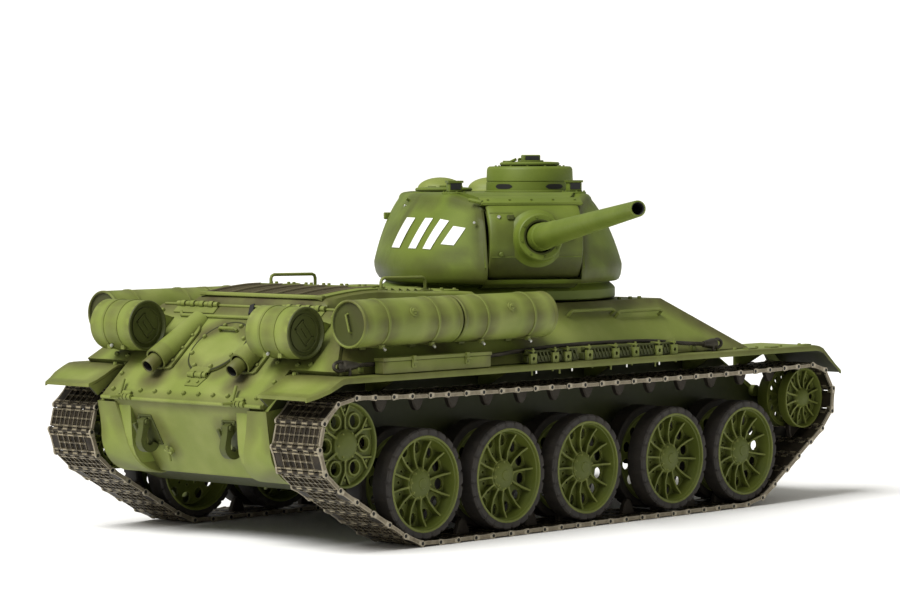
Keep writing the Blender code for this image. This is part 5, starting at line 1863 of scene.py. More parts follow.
# ---------------------------------------------------------------- track guards and stowage
@dataclass
class TrackGuard:
    """Track guard: long shelf with a lip, drooping front, rounded rear flap and its web."""

    side: float
    inner: float = 57.4
    outer: float = 94.0
    top: float = 80.8
    sheet: float = 1.6

    def line(self) -> list[tuple[float, float]]:
        """Top surface in side view, front tip first."""
        front = [(-194.6, 67.2), (-189.6, 70.8), (-184.0, 75.4), (-179.4, 79.2), (-176.5, 80.3),
                 (-173.0, 80.8)]
        rear = [(174.4, 80.8), (177.5, 80.5), (181.0, 79.0), (186.0, 76.4), (191.0, 74.2), (196.0, 72.6)]
        return front + [(-120.0, 80.8), (-60.0, 80.8), (0.0, 80.8), (60.0, 80.8), (120.0, 80.8)] + rear

    def shelf(self, shape: Shape) -> None:
        """Sheet with its down-turned outer lip.

        Args:
            shape: the mesh it adds to.
        """
        s = self.side
        rows = []
        for y, z in self.line():
            narrow = max(0.0, y - 186.0) * 0.5
            x1 = self.outer - narrow
            lip = 2.9 if abs(y) < 186.0 else 2.2
            rows.append([(s * self.inner, y, z - self.sheet), (s * self.inner, y, z),
                         (s * (x1 - 1.2), y, z), (s * (x1 - 0.3), y, z - 0.25), (s * x1, y, z - 0.9),
                         (s * x1, y, z - lip), (s * (x1 - 0.9), y, z - lip),
                         (s * (x1 - 0.9), y, z - self.sheet)])
        shape.sheet(rows, around=True, caps=True)

    def webs(self, shape: Shape) -> None:
        """Triangular webs under the rear flap and the front droop, and the side brackets.

        Args:
            shape: the mesh it adds to.
        """
        s = self.side
        rear = [(172.0, 79.4), (190.2, 66.9), (195.2, 71.2), (186.0, 75.0), (178.0, 79.2)]
        shape.prism(rear, s * self.inner, s * (self.inner + 1.3), Axis.X)
        front = [(-172.0, 79.4), (-186.0, 60.0), (-193.6, 65.8), (-184.0, 74.0), (-177.0, 79.0)]
        shape.prism(front, s * self.inner, s * (self.inner + 1.3), Axis.X)
        for y in (-150.0, -108.0, -30.0, 48.0, 126.0):
            outline = [(s * self.inner, 79.4), (s * (self.inner + 24.0), 79.4), (s * self.inner, 66.0)]
            shape.prism(outline, y - 0.6, y + 0.6, Axis.Y)

    def details(self, shape: Shape, steel: Shape) -> None:
        """Bolts on the shelf and the screw ends that show below its edge.

        Args:
            shape: the mesh it adds to.
            steel: the mesh of the bright screws.
        """
        s = self.side
        for y in (-166.0, -150.0, -130.0, -112.0, -98.0, 158.0, 168.0, 176.0):
            shape.bolt((s * 61.0 if y > 0 else s * 88.0, y, self.top), UP, 1.0, 1.1)
        for y in (-168.0, -140.0, -122.0):
            shape.box((s * 90.0 - 2.0, y - 3.4, self.top - 0.2), (s * 90.0 + 2.0, y + 3.4, self.top + 0.7),
                      soft=0.2)
        for i, y in enumerate((48.0, 45.0, 33.0, 28.0, 19.0, 4.0, -10.0, -22.0, -26.0, -44.0, -47.0, -60.0)):
            target = steel if i % 3 == 1 else shape
            target.bar((s * 91.6, y, 79.0), (s * 91.6, y, 75.6 + 0.7 * (i % 3)), 0.45, count=6)
        shape.tube([(s * 58.6, y, self.top + 0.2) for y in (-126.0, 172.0)], 0.8, count=8)

    def build(self) -> None:
        """Make the guard."""
        s = self.side
        shape = Shape(Finish.GREEN)
        self.shelf(shape)
        self.webs(shape)
        shape.densify(5.0)
        # Undersides take the shadowed green: painted shade.
        shape.shade_below(Finish.UNDER)
        shape.airbrush([
            ((s * 94.0, -190.0, 70.0), (s * 94.0, -176.0, 80.0), 5.0, 0.7),
            ((s * 94.0, -176.0, 80.0), (s * 94.0, 176.0, 80.0), 3.4, 0.6),
            ((s * 94.0, 176.0, 80.0), (s * 90.0, 196.0, 71.0), 4.0, 0.55),
            ((s * 59.0, -120.0, 80.8), (s * 59.0, 168.0, 80.8), 9.0, 0.8),
            ((s * 84.0, -110.0, 80.8), (s * 84.0, 165.0, 80.8), 9.0, 0.7),
            ((s * 60.0, 176.0, 80.0), (s * 92.0, 176.0, 80.0), 9.0, 0.75),
            ((s * 57.4, 190.0, 72.0), (s * 57.4, 176.0, 80.0), 7.0, 0.6),
            ((s * 62.0, 195.0, 72.5), (s * 88.0, 195.0, 72.5), 4.0, 0.5),
            ((s * 60.0, -176.0, 80.0), (s * 92.0, -176.0, 80.0), 7.0, 0.6)])
        label = side_name(s)
        fit(shape, f"track_guard_{label}", "hull", [f"fender_{label}"])
        details, steel = Shape(Finish.GREEN), Shape(Finish.SCREW)
        self.details(details, steel)
        fit(details, f"track_guard_bolts_{label}", "hull")
        fit(steel, f"track_guard_screw_ends_{label}", "hull")


@dataclass
class FuelDrum:
    """Long side drum with hoops, a filler cap, a handle and its saddles."""

    side: float
    label: str
    y: float
    radius: float = 11.1
    length: float = 65.6
    axis: tuple[float, float] = (83.4, 104.0)
    hoop: float = 16.5

    def barrel(self, shape: Shape) -> None:
        """Barrel with rolled rims and recessed ends, the ends in the shaded green as painted shade.

        Args:
            shape: the mesh it adds to.
        """
        half, r = self.length / 2.0, self.radius
        end = [(half - 1.4, 0.0), (half - 1.4, r - 1.5), (half - 0.4, r - 1.2), (half, r - 0.8),
               (half, r - 0.35), (half - 0.5, r), (half - 1.8, r - 0.05), (half - 2.2, r - 0.25)]
        body = [(half - 3.0, r - 0.15)]
        shape.turned([(-a, b) for a, b in end[2:] + body] + [(a, b) for a, b in (body + end[:1:-1])], Axis.Y,
                     56)
        # The recessed ends take the shaded green: painted shade.
        for way in (-1.0, 1.0):
            shape.turned([(way * a, b) for a, b in end[:3]], Axis.Y, 56, Finish.CAP)

    def hoops(self, shape: Shape) -> None:
        """Strap hoops with their clamp ears.

        Args:
            shape: the mesh it adds to.
        """
        r = self.radius
        for place in (-self.hoop, self.hoop):
            shape.turned([(place - 0.75, r - 0.3), (place - 0.6, r + 0.22), (place + 0.6, r + 0.22),
                          (place + 0.75, r - 0.3)], Axis.Y, 56, closed=True)
            turn = math.radians(-62.0)
            a, b = self.side * (r + 0.7) * math.cos(turn), (r + 0.7) * math.sin(turn)
            shape.box((a - 1.2, place - 1.0, b - 1.2), (a + 1.2, place + 1.0, b + 0.8), soft=0.2)

    def cap(self, shape: Shape) -> None:
        """Filler cap towards the top, and the handle on the rear end.

        Args:
            shape: the mesh it adds to.
        """
        turn = math.radians(26.0)
        out = Vector((self.side * math.cos(turn), 0.0, math.sin(turn)))
        at = Matrix.Translation(out * (self.radius - 0.3)) @ out.to_track_quat("Z", "Y").to_matrix().to_4x4()
        shape.turned([(0.0, 2.3), (0.6, 2.3), (0.8, 2.0), (0.8, 1.5), (1.4, 1.4), (1.6, 1.1), (1.6, 0.0)],
                     Axis.Z, 20, at=at)
        shape.box((-1.9, -0.3, 1.4), (1.9, 0.3, 1.95), at=at)
        for way in (-1.0, 1.0):
            y = way * (self.length / 2.0 - 1.4)
            path = [(-1.2, y, 4.6), (-1.2, y + way * 1.5, 4.2), (1.0, y + way * 1.5, -3.4), (1.0, y, -3.8)]
            shape.tube([(self.side * a, b, c) for a, b, c in path], 0.55)

    def saddles(self, shape: Shape, steel: Shape) -> None:
        """Cradles that reach in to the side plate, and their bright screws.

        Args:
            shape: the mesh it adds to.
            steel: the mesh of the bright screws.
        """
        tilt = math.atan2(SPONSON_HALF - DECK_HALF, DECK_TOP - SPONSON_BOTTOM)
        inward = Vector((-self.side * math.cos(tilt), 0.0, -math.sin(tilt)))
        up = Vector((-self.side * math.sin(tilt), 0.0, math.cos(tilt)))
        for place in (-self.hoop, self.hoop):
            base = Vector((0.0, place, 0.0))
            rows = []
            for half in (-1.9, 1.9):
                outline = [(6.0, -4.2), (6.0, 4.2), (10.5, 3.0), (13.0, 5.0), (13.4, 5.0), (13.4, -5.0),
                           (13.0, -5.0), (10.5, -3.0)]
                rows.append([base + inward * a + up * b + Vector((0.0, half, 0.0)) for a, b in outline])
            shape.sheet(rows, around=True, caps=True)
            low = base + Vector((self.side * (self.radius - 4.2), 0.0, -self.radius - 0.4))
            steel.bolt(low, (self.side * 0.7, 0.0, -0.5), 0.75, 1.3)

    def build(self) -> None:
        """Make the drum."""
        at = Matrix.Translation((self.side * self.axis[0], self.y, self.axis[1]))
        shape, steel = Shape(Finish.GREEN), Shape(Finish.SCREW)
        self.barrel(shape)
        shape.densify(4.2)
        half, r, s = self.length / 2.0, self.radius, self.side
        spots = [((s * 8.0, -2.0, 5.0), (s * 8.5, 2.0, 2.0), 4.5, 0.5)]
        for y in (-half, half):
            spots.append(((s * r, y, 0.0), (0.0, y, r), 6.0, 0.7))
            spots.append(((0.0, y, 0.0), (0.0, y * 0.98, 0.0), 13.0, 0.35))
        for y in (-self.hoop, self.hoop):
            for turn in (-70.0, -35.0, 0.0, 35.0, 70.0, 105.0):
                a, b = s * r * math.cos(math.radians(turn)), r * math.sin(math.radians(turn))
                spots.append(((a, y - 1.5, b), (a, y + 1.5, b), 6.5, 0.72 if turn < 20.0 else 0.5))
        shape.airbrush(spots)
        self.hoops(shape)
        self.cap(shape)
        self.saddles(shape, steel)
        label = side_name(s)
        name = f"long_drum_{label}_{self.label}"
        fit(shape, name, "hull", [f"fuel_drum_{label}_{self.label}"], at)
        fit(steel, name + "_screws", "hull", at=at)


@dataclass
class RearDrum:
    """Short drum across the rear plate, with stamped ends."""

    side: float
    axis: tuple[float, float] = (174.4, 99.9)
    radius: float = 12.0
    inner: float = 39.3
    length: float = 28.0

    def stamped_end(self, shape: Shape, x: float, way: float) -> None:
        """Recessed end with a ring, a frame and slanting ribs, all in the shaded green as painted shade.

        Args:
            shape: the mesh it adds to.
            x: place of the end.
            way: 1 or -1, the direction that it faces.
        """
        r = self.radius
        shape.turned([(x - way * 1.7, 0.0), (x - way * 1.7, r - 1.6), (x - way * 0.5, r - 1.2), (x, r - 0.9),
                      (x, r - 0.3), (x - way * 0.5, r)], Axis.X, 56, Finish.CAP)
        shape.turned([(x - way * 1.8, 8.0), (x - way * 1.1, 8.15), (x - way * 1.1, 8.65),
                      (x - way * 1.8, 8.8)],
                     Axis.X, 48, Finish.CAP)
        lean = Matrix.Rotation(math.radians(50.0), 4, "X")
        low, high = sorted((x - way * 1.9, x - way * 1.15))
        for b in (-3.0, 0.0, 3.0):
            reach = 5.2 if b else 2.6
            shape.box((low, -reach, b - 0.35), (high, reach, b + 0.35), Finish.CAP, at=lean)
        for b in (-4.9, 4.9):
            shape.box((low, b - 0.35, -3.3), (high, b + 0.35, 3.3), Finish.CAP, at=lean)

    def build(self) -> None:
        """Make the drum."""
        low, high = sorted((self.side * self.inner, self.side * (self.inner + self.length)))
        r = self.radius
        shape = Shape(Finish.GREEN, Finish.CAP)
        shape.turned([(low + 0.5, r), (low + 3.0, r - 0.1), (high - 3.0, r - 0.1), (high - 0.5, r)], Axis.X,
                     56)
        shape.densify(3.6)
        spots = []
        for x in (low, (low + high) / 2.0, high):
            for turn in range(-60, 241, 30):
                a, b = r * math.cos(math.radians(turn)), r * math.sin(math.radians(turn))
                spots.append(((x, a, b), (x, a * 1.01, b), 5.5, 0.45))
        shape.airbrush(spots)
        self.stamped_end(shape, low, -1.0)
        self.stamped_end(shape, high, 1.0)
        for share in (0.34, 0.68):
            x = low + (high - low) * share
            shape.turned([(x - 0.75, r - 0.3), (x - 0.6, r + 0.22), (x + 0.6, r + 0.22),
                          (x + 0.75, r - 0.3)],
                         Axis.X, 56, closed=True)
            at = Matrix.Translation((x, 0.0, 0.0))
            shape.box((-1.2, 5.8, -11.4), (1.2, 8.0, -9.0), at=at, soft=0.25)
        steel = Shape(Finish.SCREW)
        steel.bolt(((low + high) / 2.0 + 2.0, 8.6, -9.4), (0.0, 0.7, -0.7), 0.8, 1.2)
        label = side_name(self.side)
        at = Matrix.Translation((0.0, *self.axis))
        cradle = rear_frame((low + high) / 2.0, 45.0)
        back = at.inverted() @ cradle
        for x in (-4.6, 4.8):
            rows = []
            for half in (-1.6, 1.6):
                outline = [(-9.0, 0.2), (9.0, 0.2), (8.0, 1.2), (5.0, 6.0), (-5.0, 6.0), (-8.0, 1.2)]
                rows.append([back @ Vector((x + half, a, b)) for a, b in outline])
            shape.sheet(rows, around=True, caps=True)
        fit(shape, f"short_drum_{label}", "hull", [f"rear_drum_{label}"], at)
        fit(steel, f"short_drum_screw_{label}", "hull", at=at)


@dataclass
class ToolBox:
    """Long low stowage box with a lid and clasps."""

    low: tuple[float, float, float] = (-93.2, 78.0, 81.1)
    high: tuple[float, float, float] = (-87.2, 151.0, 88.3)
    clasps: tuple[float, float] = (95.0, 131.0)

    def build(self) -> None:
        """Make the box."""
        shape = Shape(Finish.GREEN)
        x0, y0, z0 = self.low
        x1, y1, z1 = self.high
        shape.box((x0 + 0.3, y0 + 0.3, z0), (x1, y1 - 0.3, z1 - 1.6), soft=0.25)
        shape.box((x0, y0, z1 - 1.5), (x1, y1, z1), soft=0.35)
        shape.densify(5.0)
        shape.airbrush([((x0, y0, z1), (x0, y1, z1), 2.4, 0.4), ((x0, y1, z0), (x0, y1, z1), 6.0, 0.7),
                        ((x0, y0, z0), (x0, y0, z1), 6.0, 0.6), ((x0, y0, z0), (x0, y1, z0), 2.4, 0.6)])
        for y in self.clasps:
            shape.box((x0 - 0.5, y - 1.4, z0 + 2.2), (x0 + 0.4, y + 1.4, z1 - 0.9), soft=0.2)
            shape.box((x0 - 0.8, y - 0.9, z1 - 2.6), (x0 + 0.4, y + 0.9, z1 + 0.5), soft=0.25)
            shape.bar((x0 - 0.8, y - 1.6, z1 - 2.2), (x0 - 0.8, y + 1.6, z1 - 2.2), 0.45)
            shape.bolt((x0 - 0.4, y, z0 + 3.0), (-1.0, 0.0, 0.0), 0.5, 0.5)
        fit(shape, "low_stowage_box", "hull", ["tool_box"])


@dataclass
class TowCable:
    """Steel rope along the right side, laid from six strands, with an eye at each end."""

    radius: float = 1.1
    strands: int = 6
    lay: float = 9.0
    route: tuple[tuple[float, float, float], ...] = (
        (-86.4, 164.0, 85.4), (-85.4, 150.0, 85.3), (-85.0, 125.0, 85.0), (-85.0, 98.0, 85.0),
        (-84.9, 71.0, 85.6), (-84.4, 50.0, 86.9), (-84.0, 21.0, 88.1), (-84.0, -8.0, 88.4),
        (-84.2, -46.0, 87.8), (-85.2, -74.0, 85.6), (-87.0, -90.0, 84.6))

    def rope(self, shape: Shape) -> None:
        """Strands wound round the route.

        Args:
            shape: the mesh it adds to.
        """
        path = smooth_path(self.route, 24)
        walked = [0.0]
        for a, b in zip(path, path[1:]):
            walked.append(walked[-1] + (b - a).length)
        size = self.radius * 0.4
        for strand in range(self.strands):
            line = []
            for i, (point, distance) in enumerate(zip(path, walked)):
                ahead = (path[min(i + 1, len(path) - 1)] - path[max(i - 1, 0)]).normalized()
                side = Vector((0.0, 0.0, 1.0)).cross(ahead).normalized()
                up = ahead.cross(side)
                turn = 2.0 * math.pi * (distance / self.lay + strand / self.strands)
                line.append(point + (side * math.cos(turn) + up * math.sin(turn)) * (self.radius - size))
            shape.tube(line, size, count=6)
        shape.tube(path[::6], self.radius * 0.5, count=6)

    def eye(self, shape: Shape, end: Point, way: float) -> None:
        """Swaged socket and the open loop beyond it.

        Args:
            shape: the mesh it adds to.
            end: the rope's end.
            way: 1 or -1, the direction that it faces.
        """
        at = Matrix.Translation(end)
        shape.turned([(-2.4 * way, 0.6), (-2.4 * way, 1.5), (0.0, 1.9), (5.0 * way, 2.7), (6.6 * way, 2.5),
                      (7.0 * way, 0.0)], Axis.Y, 20, at=at)
        loop = [(0.0, way * 6.0, 1.7), (0.0, way * 9.0, 2.2), (0.0, way * 11.6, 1.2), (0.0, way * 12.2, 0.0),
                (0.0, way * 11.6, -1.2), (0.0, way * 9.0, -2.2), (0.0, way * 6.0, -1.7)]
        shape.tube(smooth_path(loop, 4), 0.8, count=10, at=at)
        shape.bar((end[0] - 1.6, end[1] + way * 3.6, end[2] - 0.4),
                  (end[0] - 1.8, end[1] + way * 3.6, end[2] - 4.2),
                  0.7)

    def clips(self, shape: Shape) -> None:
        """Clips that hold the rope to the side plate.

        Args:
            shape: the mesh it adds to.
        """
        path = smooth_path(self.route, 12)
        for share in (0.06, 0.3, 0.55, 0.8, 0.95):
            x, y, z = path[int(share * (len(path) - 1))]
            shape.box((x + 0.9, y - 1.4, z - 3.6), (x + 2.4, y + 1.4, z + 1.0), soft=0.2)

    def build(self) -> None:
        """Make the rope, its eyes and clips."""
        shape = Shape(Finish.WIRE)
        self.rope(shape)
        self.eye(shape, self.route[0], 1.0)
        self.eye(shape, self.route[-1], -1.0)
        fit(shape, "steel_tow_rope", "hull", ["tow_cable"])
        clips = Shape(Finish.GREEN)
        self.clips(clips)
        fit(clips, "tow_rope_clips", "hull")


@dataclass
class SpareCleats:
    """Rack of spare ice cleats on the track guard, held by small clamps."""

    side: float
    x: float = 88.4
    spans: tuple[tuple[float, float], ...] = ((49.0, 12.0), (8.0, -28.0), (-32.0, -62.0))
    clamps: tuple[float, ...] = (46.0, 30.0, 21.0, 5.0, -15.0, -30.0, -48.0, -60.0)

    def build(self) -> None:
        """Make the cleats and the clamps."""
        # Cleats in the shaded green: painted shade on them.
        cleats, clamps = Shape(Finish.CAP), Shape(Finish.GREEN)
        s = self.side
        for start, stop in self.spans:
            x0, x1 = sorted((s * (self.x - 2.0), s * (self.x + 1.4)))
            cleats.box((x0, stop, 81.2), (x1, start, 84.6), soft=0.3)
            count = int((start - stop) / 2.6)
            for i in range(count):
                y = stop + 1.3 + 2.6 * i
                cleats.prism([(y - 1.0, 82.0), (y - 0.2, 82.0), (y + 1.6, 86.2), (y + 0.8, 86.2)], x0 - 0.4,
                             x1 + 0.4, Axis.X)
            cleats.bar((s * self.x, start, 86.4), (s * self.x, stop, 86.4), 0.8)
        for y in self.clamps:
            x0, x1 = sorted((s * (self.x + 1.4), s * (self.x + 2.8)))
            hole = [(y + a, 83.4 + b) for a, b in ring_points(0.95, 10)]
            outline = [(y - 2.2, 81.0), (y + 2.2, 81.0), (y + 2.2, 85.8), (y - 2.2, 85.8)]
            clamps.slotted(outline, [hole], x0, x1, Axis.X)
            clamps.box((min(s * (self.x - 2.6), s * (self.x + 2.8)), y - 1.0, 86.6),
                       (max(s * (self.x - 2.6), s * (self.x + 2.8)), y + 1.0, 87.6), soft=0.2)
            clamps.bar((s * (self.x + 2.1), y, 85.4), (s * (self.x + 2.1), y, 88.4), 0.55)
        label = side_name(s)
        fit(cleats, f"spare_cleats_{label}", "hull")
        fit(clamps, f"cleat_clamps_{label}", "hull")


# ---------------------------------------------------------------- turret
ROOF_PLAN = ((0.0, -78.0), (22.0, -77.5), (31.0, -74.0), (36.0, -66.0), (40.0, -48.0), (43.5, -20.0),
             (45.0, 2.0), (43.8, 18.0), (41.0, 32.0), (35.5, 46.0), (25.0, 66.0), (0.0, 67.0))
WIDEST_PLAN = ((0.0, -86.0), (25.0, -85.5), (38.0, -82.0), (46.0, -74.0), (53.0, -50.0), (58.5, -20.0),
               (60.3, 8.0), (58.2, 26.0), (53.5, 40.0), (44.0, 56.0), (24.3, 74.5), (0.0, 76.0))
FOOT_PLAN = ((0.0, -78.0), (24.0, -77.5), (34.0, -74.0), (41.0, -66.0), (49.0, -46.0), (55.0, -20.0),
             (57.5, 6.0), (56.0, 24.0), (51.0, 38.0), (42.0, 52.0), (24.3, 70.0), (0.0, 71.0))
ROOF_EDGE, ROOF_TOP, FRONT_DROP = 157.6, 161.5, 0.22
CUPOLA_AT, LOADER_AT, DOME_AT = (19.4, 8.0), (-23.0, 20.0), (13.7, 66.0)
Plan = Sequence[tuple[float, float]]


def half_plan(plan: Plan, steps: int = 6) -> list[tuple[float, float]]:
    """Smooth half outline from the rear middle to the front middle, forward at -Y."""
    curve = smooth_path([(a, -b, 0.0) for a, b in plan[1:-1]], steps)
    return [(plan[0][0], -plan[0][1])] + [(p.x, p.y) for p in curve] + [(plan[-1][0], -plan[-1][1])]


def full_plan(half: Sequence[tuple[float, float]]) -> list[tuple[float, float]]:
    """Whole outline from its left half."""
    return list(half) + [(-x, y) for x, y in half[-2:0:-1]]


def between(first: Plan, second: Plan, share: float) -> list[tuple[float, float]]:
    """Outline part of the way from the first plan to the second."""
    return [(a + (c - a) * share, b + (d - b) * share) for (a, b), (c, d) in zip(first, second)]


@dataclass
class Casting:
    """Cast turret shell: smooth swelling walls, flat roof, casting seam and collar."""

    pocket_half: float = 23.8
    pocket_radius: float = 22.9
    sill: float = 119.4

    def roof_z(self, y: float, level: float) -> float:
        """Height on the roof, which drops towards the front."""
        return level - max(0.0, -y - 45.0) * FRONT_DROP

    def wall_ring(self, turn: float, bulge: float) -> list[tuple[float, float, float]]:
        """Ring of the upper wall between its widest place and the roof's edge.

        Args:
            turn: 0 degrees at the widest place, 90 at the roof.
            bulge: share of the roundness.

        Returns:
            The ring's points.
        """
        widest, roof = half_plan(WIDEST_PLAN), half_plan(ROOF_PLAN)
        share = 1.0 - math.cos(math.radians(turn))
        rise = math.sin(math.radians(turn))
        share = share * bulge + turn / 90.0 * (1.0 - bulge)
        rise = rise * bulge + turn / 90.0 * (1.0 - bulge)
        ring = full_plan(between(widest, roof, share))
        return [(x, y, 125.5 + (self.roof_z(y, ROOF_EDGE) - 125.5) * rise) for x, y in ring]

    def shell(self, shape: Shape) -> None:
        """Outer skin from the foot to the roof.

        Args:
            shape: the mesh it adds to.
        """
        foot, widest = full_plan(half_plan(FOOT_PLAN)), full_plan(half_plan(WIDEST_PLAN))
        rows = [[(x * 0.9, y * 0.9, 118.6) for x, y in foot], [(x, y, 117.2) for x, y in foot]]
        for share in (0.3, 0.6, 0.85):
            ring = between(foot, widest, math.sin(share * math.pi / 2.0))
            rows.append([(x, y, 117.2 + 8.3 * share * share) for x, y in ring])
        rows += [self.wall_ring(turn, 0.35) for turn in (0.0, 8.0, 18.0, 30.0, 42.0, 54.0, 66.0, 76.0, 84.0,
                                                         90.0)]
        roof = full_plan(half_plan(ROOF_PLAN))
        for inset, lift in ((0.6, 1.5), (1.8, 2.7), (3.8, 3.4), (8.9, 3.9), (9.0, 2.2)):
            row = []
            for x, y in roof:
                away = math.hypot(x, y)
                scale = 1.0 - inset / away
                row.append((x * scale, y * scale, self.roof_z(y, ROOF_EDGE) + lift))
            rows.append(row)
        shape.sheet(rows, around=True)
        half = self.pocket_half
        for point, normal in (((half, 0.0, 0.0), (1.0, 0.0, 0.0)), ((-half, 0.0, 0.0), (1.0, 0.0, 0.0)),
                              ((0.0, 0.0, self.sill), (0.0, 0.0, 1.0)),
                              ((0.0, 0.0, 152.9), (0.0, 0.0, 1.0))):
            every = shape.mesh.verts[:] + shape.mesh.edges[:] + shape.mesh.faces[:]
            bmesh.ops.bisect_plane(shape.mesh, geom=every, plane_co=point, plane_no=normal, dist=0.001)
        gone = []
        for face in shape.mesh.faces:
            x, y, z = face.calc_center_median()
            if abs(x) < half and y < -50.0 and self.sill < z < 152.9:
                gone.append(face)
        bmesh.ops.delete(shape.mesh, geom=gone, context="FACES")

    def roof(self, shape: Shape) -> None:
        """Roof plate with both hatchways, dropped towards the front.

        Args:
            shape: the mesh it adds to.
        """
        outline = [(x * (1.0 - 8.8 / math.hypot(x, y)), y * (1.0 - 8.8 / math.hypot(x, y)))
                   for x, y in full_plan(half_plan(ROOF_PLAN))]
        holes = []
        for (x, y), radius in ((CUPOLA_AT, 18.0), (LOADER_AT, 13.5)):
            holes.append([(x + a, y + b) for a, b in ring_points(radius, 48)])
        shape.slotted(outline, holes, ROOF_TOP - 2.4, ROOF_TOP, Axis.Z)

    def pocket(self, shape: Shape) -> None:
        """Cheeks, and the lining of the space that the mantlet turns in, the lining in the shaded green as
        painted shade.

        Args:
            shape: the mesh it adds to.
        """
        y, z = TRUNNION[1], TRUNNION[2]
        lining = arc((0.0, 0.0), self.pocket_radius, 242.0, 435.0, 28)
        rows = [[(x, y + a, z + b) for a, b in lining] for x in (-self.pocket_half, self.pocket_half)]
        # The lining takes the shaded green: painted shade in the pocket.
        shape.sheet(rows, Finish.CAP)
        cheek = [(-68.8, 117.6), (-74.4, 125.4), (-72.6, 132.0), (-69.6, 143.0), (-66.0, 152.4),
                 (-48.0, 157.0),
                 (-32.0, 150.0), (-32.0, 122.0), (-44.0, 117.6)]
        for s in SIDES.values():
            shape.prism(cheek, s * self.pocket_half, s * (self.pocket_half + 1.4), Axis.X)

    def seam(self, shape: Shape) -> None:
        """Raised casting seam along each wall, rising towards the front, and ground-down stubs.

        Args:
            shape: the mesh it adds to.
        """
        widest, roof = half_plan(WIDEST_PLAN), half_plan(ROOF_PLAN)
        for side in SIDES.values():
            line = []
            count = len(widest)
            for i in range(8, count - 12):
                place = (i - 8) / (count - 20)
                share = 0.10 + 0.34 * place + 0.03 * math.sin(place * 9.0)
                (x, y), = between(widest[i:i + 1], roof[i:i + 1], share)
                line.append((side * (x - 0.15), y,
                             125.5 + (self.roof_z(y, ROOF_EDGE) - 125.5) * (share + 0.06)))
            shape.tube(line, 0.55, count=8)

    def strokes(self) -> list[Stroke]:
        """Brown shading along the seam, round the cheeks and under the roof's edge.

        Returns:
            The strokes.
        """
        lines = []
        for s in SIDES.values():
            lines += [((s * 25.0, -74.0, 124.0), (s * 25.0, -66.0, 156.0), 9.0, 0.75),
                      ((s * 26.0, -74.0, 117.0), (s * 59.0, 0.0, 116.0), 12.0, 0.75),
                      ((s * 30.0, -72.0, 134.0), (s * 50.0, -42.0, 126.0), 6.0, 0.5),
                      ((s * 44.0, -12.0, 158.0), (s * 50.0, -12.0, 146.0), 7.0, 0.6),
                      ((s * 34.0, -46.0, 158.0), (s * 28.0, -62.0, 156.0), 5.0, 0.6),
                      ((s * 44.0, -56.0, 124.0), (s * 60.0, 0.0, 123.0), 9.0, 0.6),
                      ((s * 60.0, 0.0, 122.0), (s * 48.0, 72.0, 122.0), 9.0, 0.65),
                      ((s * 54.0, -20.0, 142.0), (s * 50.0, 18.0, 139.0), 8.0, 0.45),
                      ((s * 47.0, 36.0, 138.0), (s * 38.0, 74.0, 140.0), 8.0, 0.4),
                      ((s * 41.0, -34.0, 157.0), (s * 45.0, 8.0, 157.0), 7.0, 0.45),
                      ((s * 31.0, 30.0, 161.0), (s * 31.0, 44.0, 161.0), 10.0, 0.5),
                      ((s * 14.0, 50.0, 161.0), (s * 14.0, 78.0, 160.0), 16.0, 0.55)]
        lines += [((19.0, -16.0, 161.0), (19.0, 32.0, 161.0), 25.0, 0.4),
                  ((-25.0, -66.0, 153.0), (25.0, -66.0, 153.0), 7.0, 0.6),
                  ((-30.0, 84.0, 124.0), (30.0, 84.0, 124.0), 8.0, 0.5)]
        return lines

    def build(self) -> None:
        """Make the shell and the collar below it."""
        shape = Shape(Finish.TURRET, Finish.CAP)
        shape.sharp = 48.0
        self.roof(shape)
        shape.densify(4.5)
        for vert in shape.mesh.verts:
            vert.co.z = self.roof_z(vert.co.y, vert.co.z)
        self.shell(shape)
        shape.densify(4.5)
        shape.airbrush(self.strokes())
        self.pocket(shape)
        fit(shape, "turret_casting", "turret", ["turret_body"], TURRET)
        trim = Shape(Finish.TURRET)
        trim.turned([(108.2, 48.0), (108.2, 59.4), (108.8, 60.0), (113.0, 60.0), (114.2, 59.2),
                     (116.0, 57.0),
                     (119.0, 56.0), (119.0, 48.0)], Axis.Z, 96, closed=True)
        for x, y in ring_points(58.2, 28, 0.1):
            trim.bolt((x, y, 113.6), UP, 0.8, 1.0)
        self.seam(trim)
        fit(trim, "turret_ring_and_seams", "turret", at=TURRET)


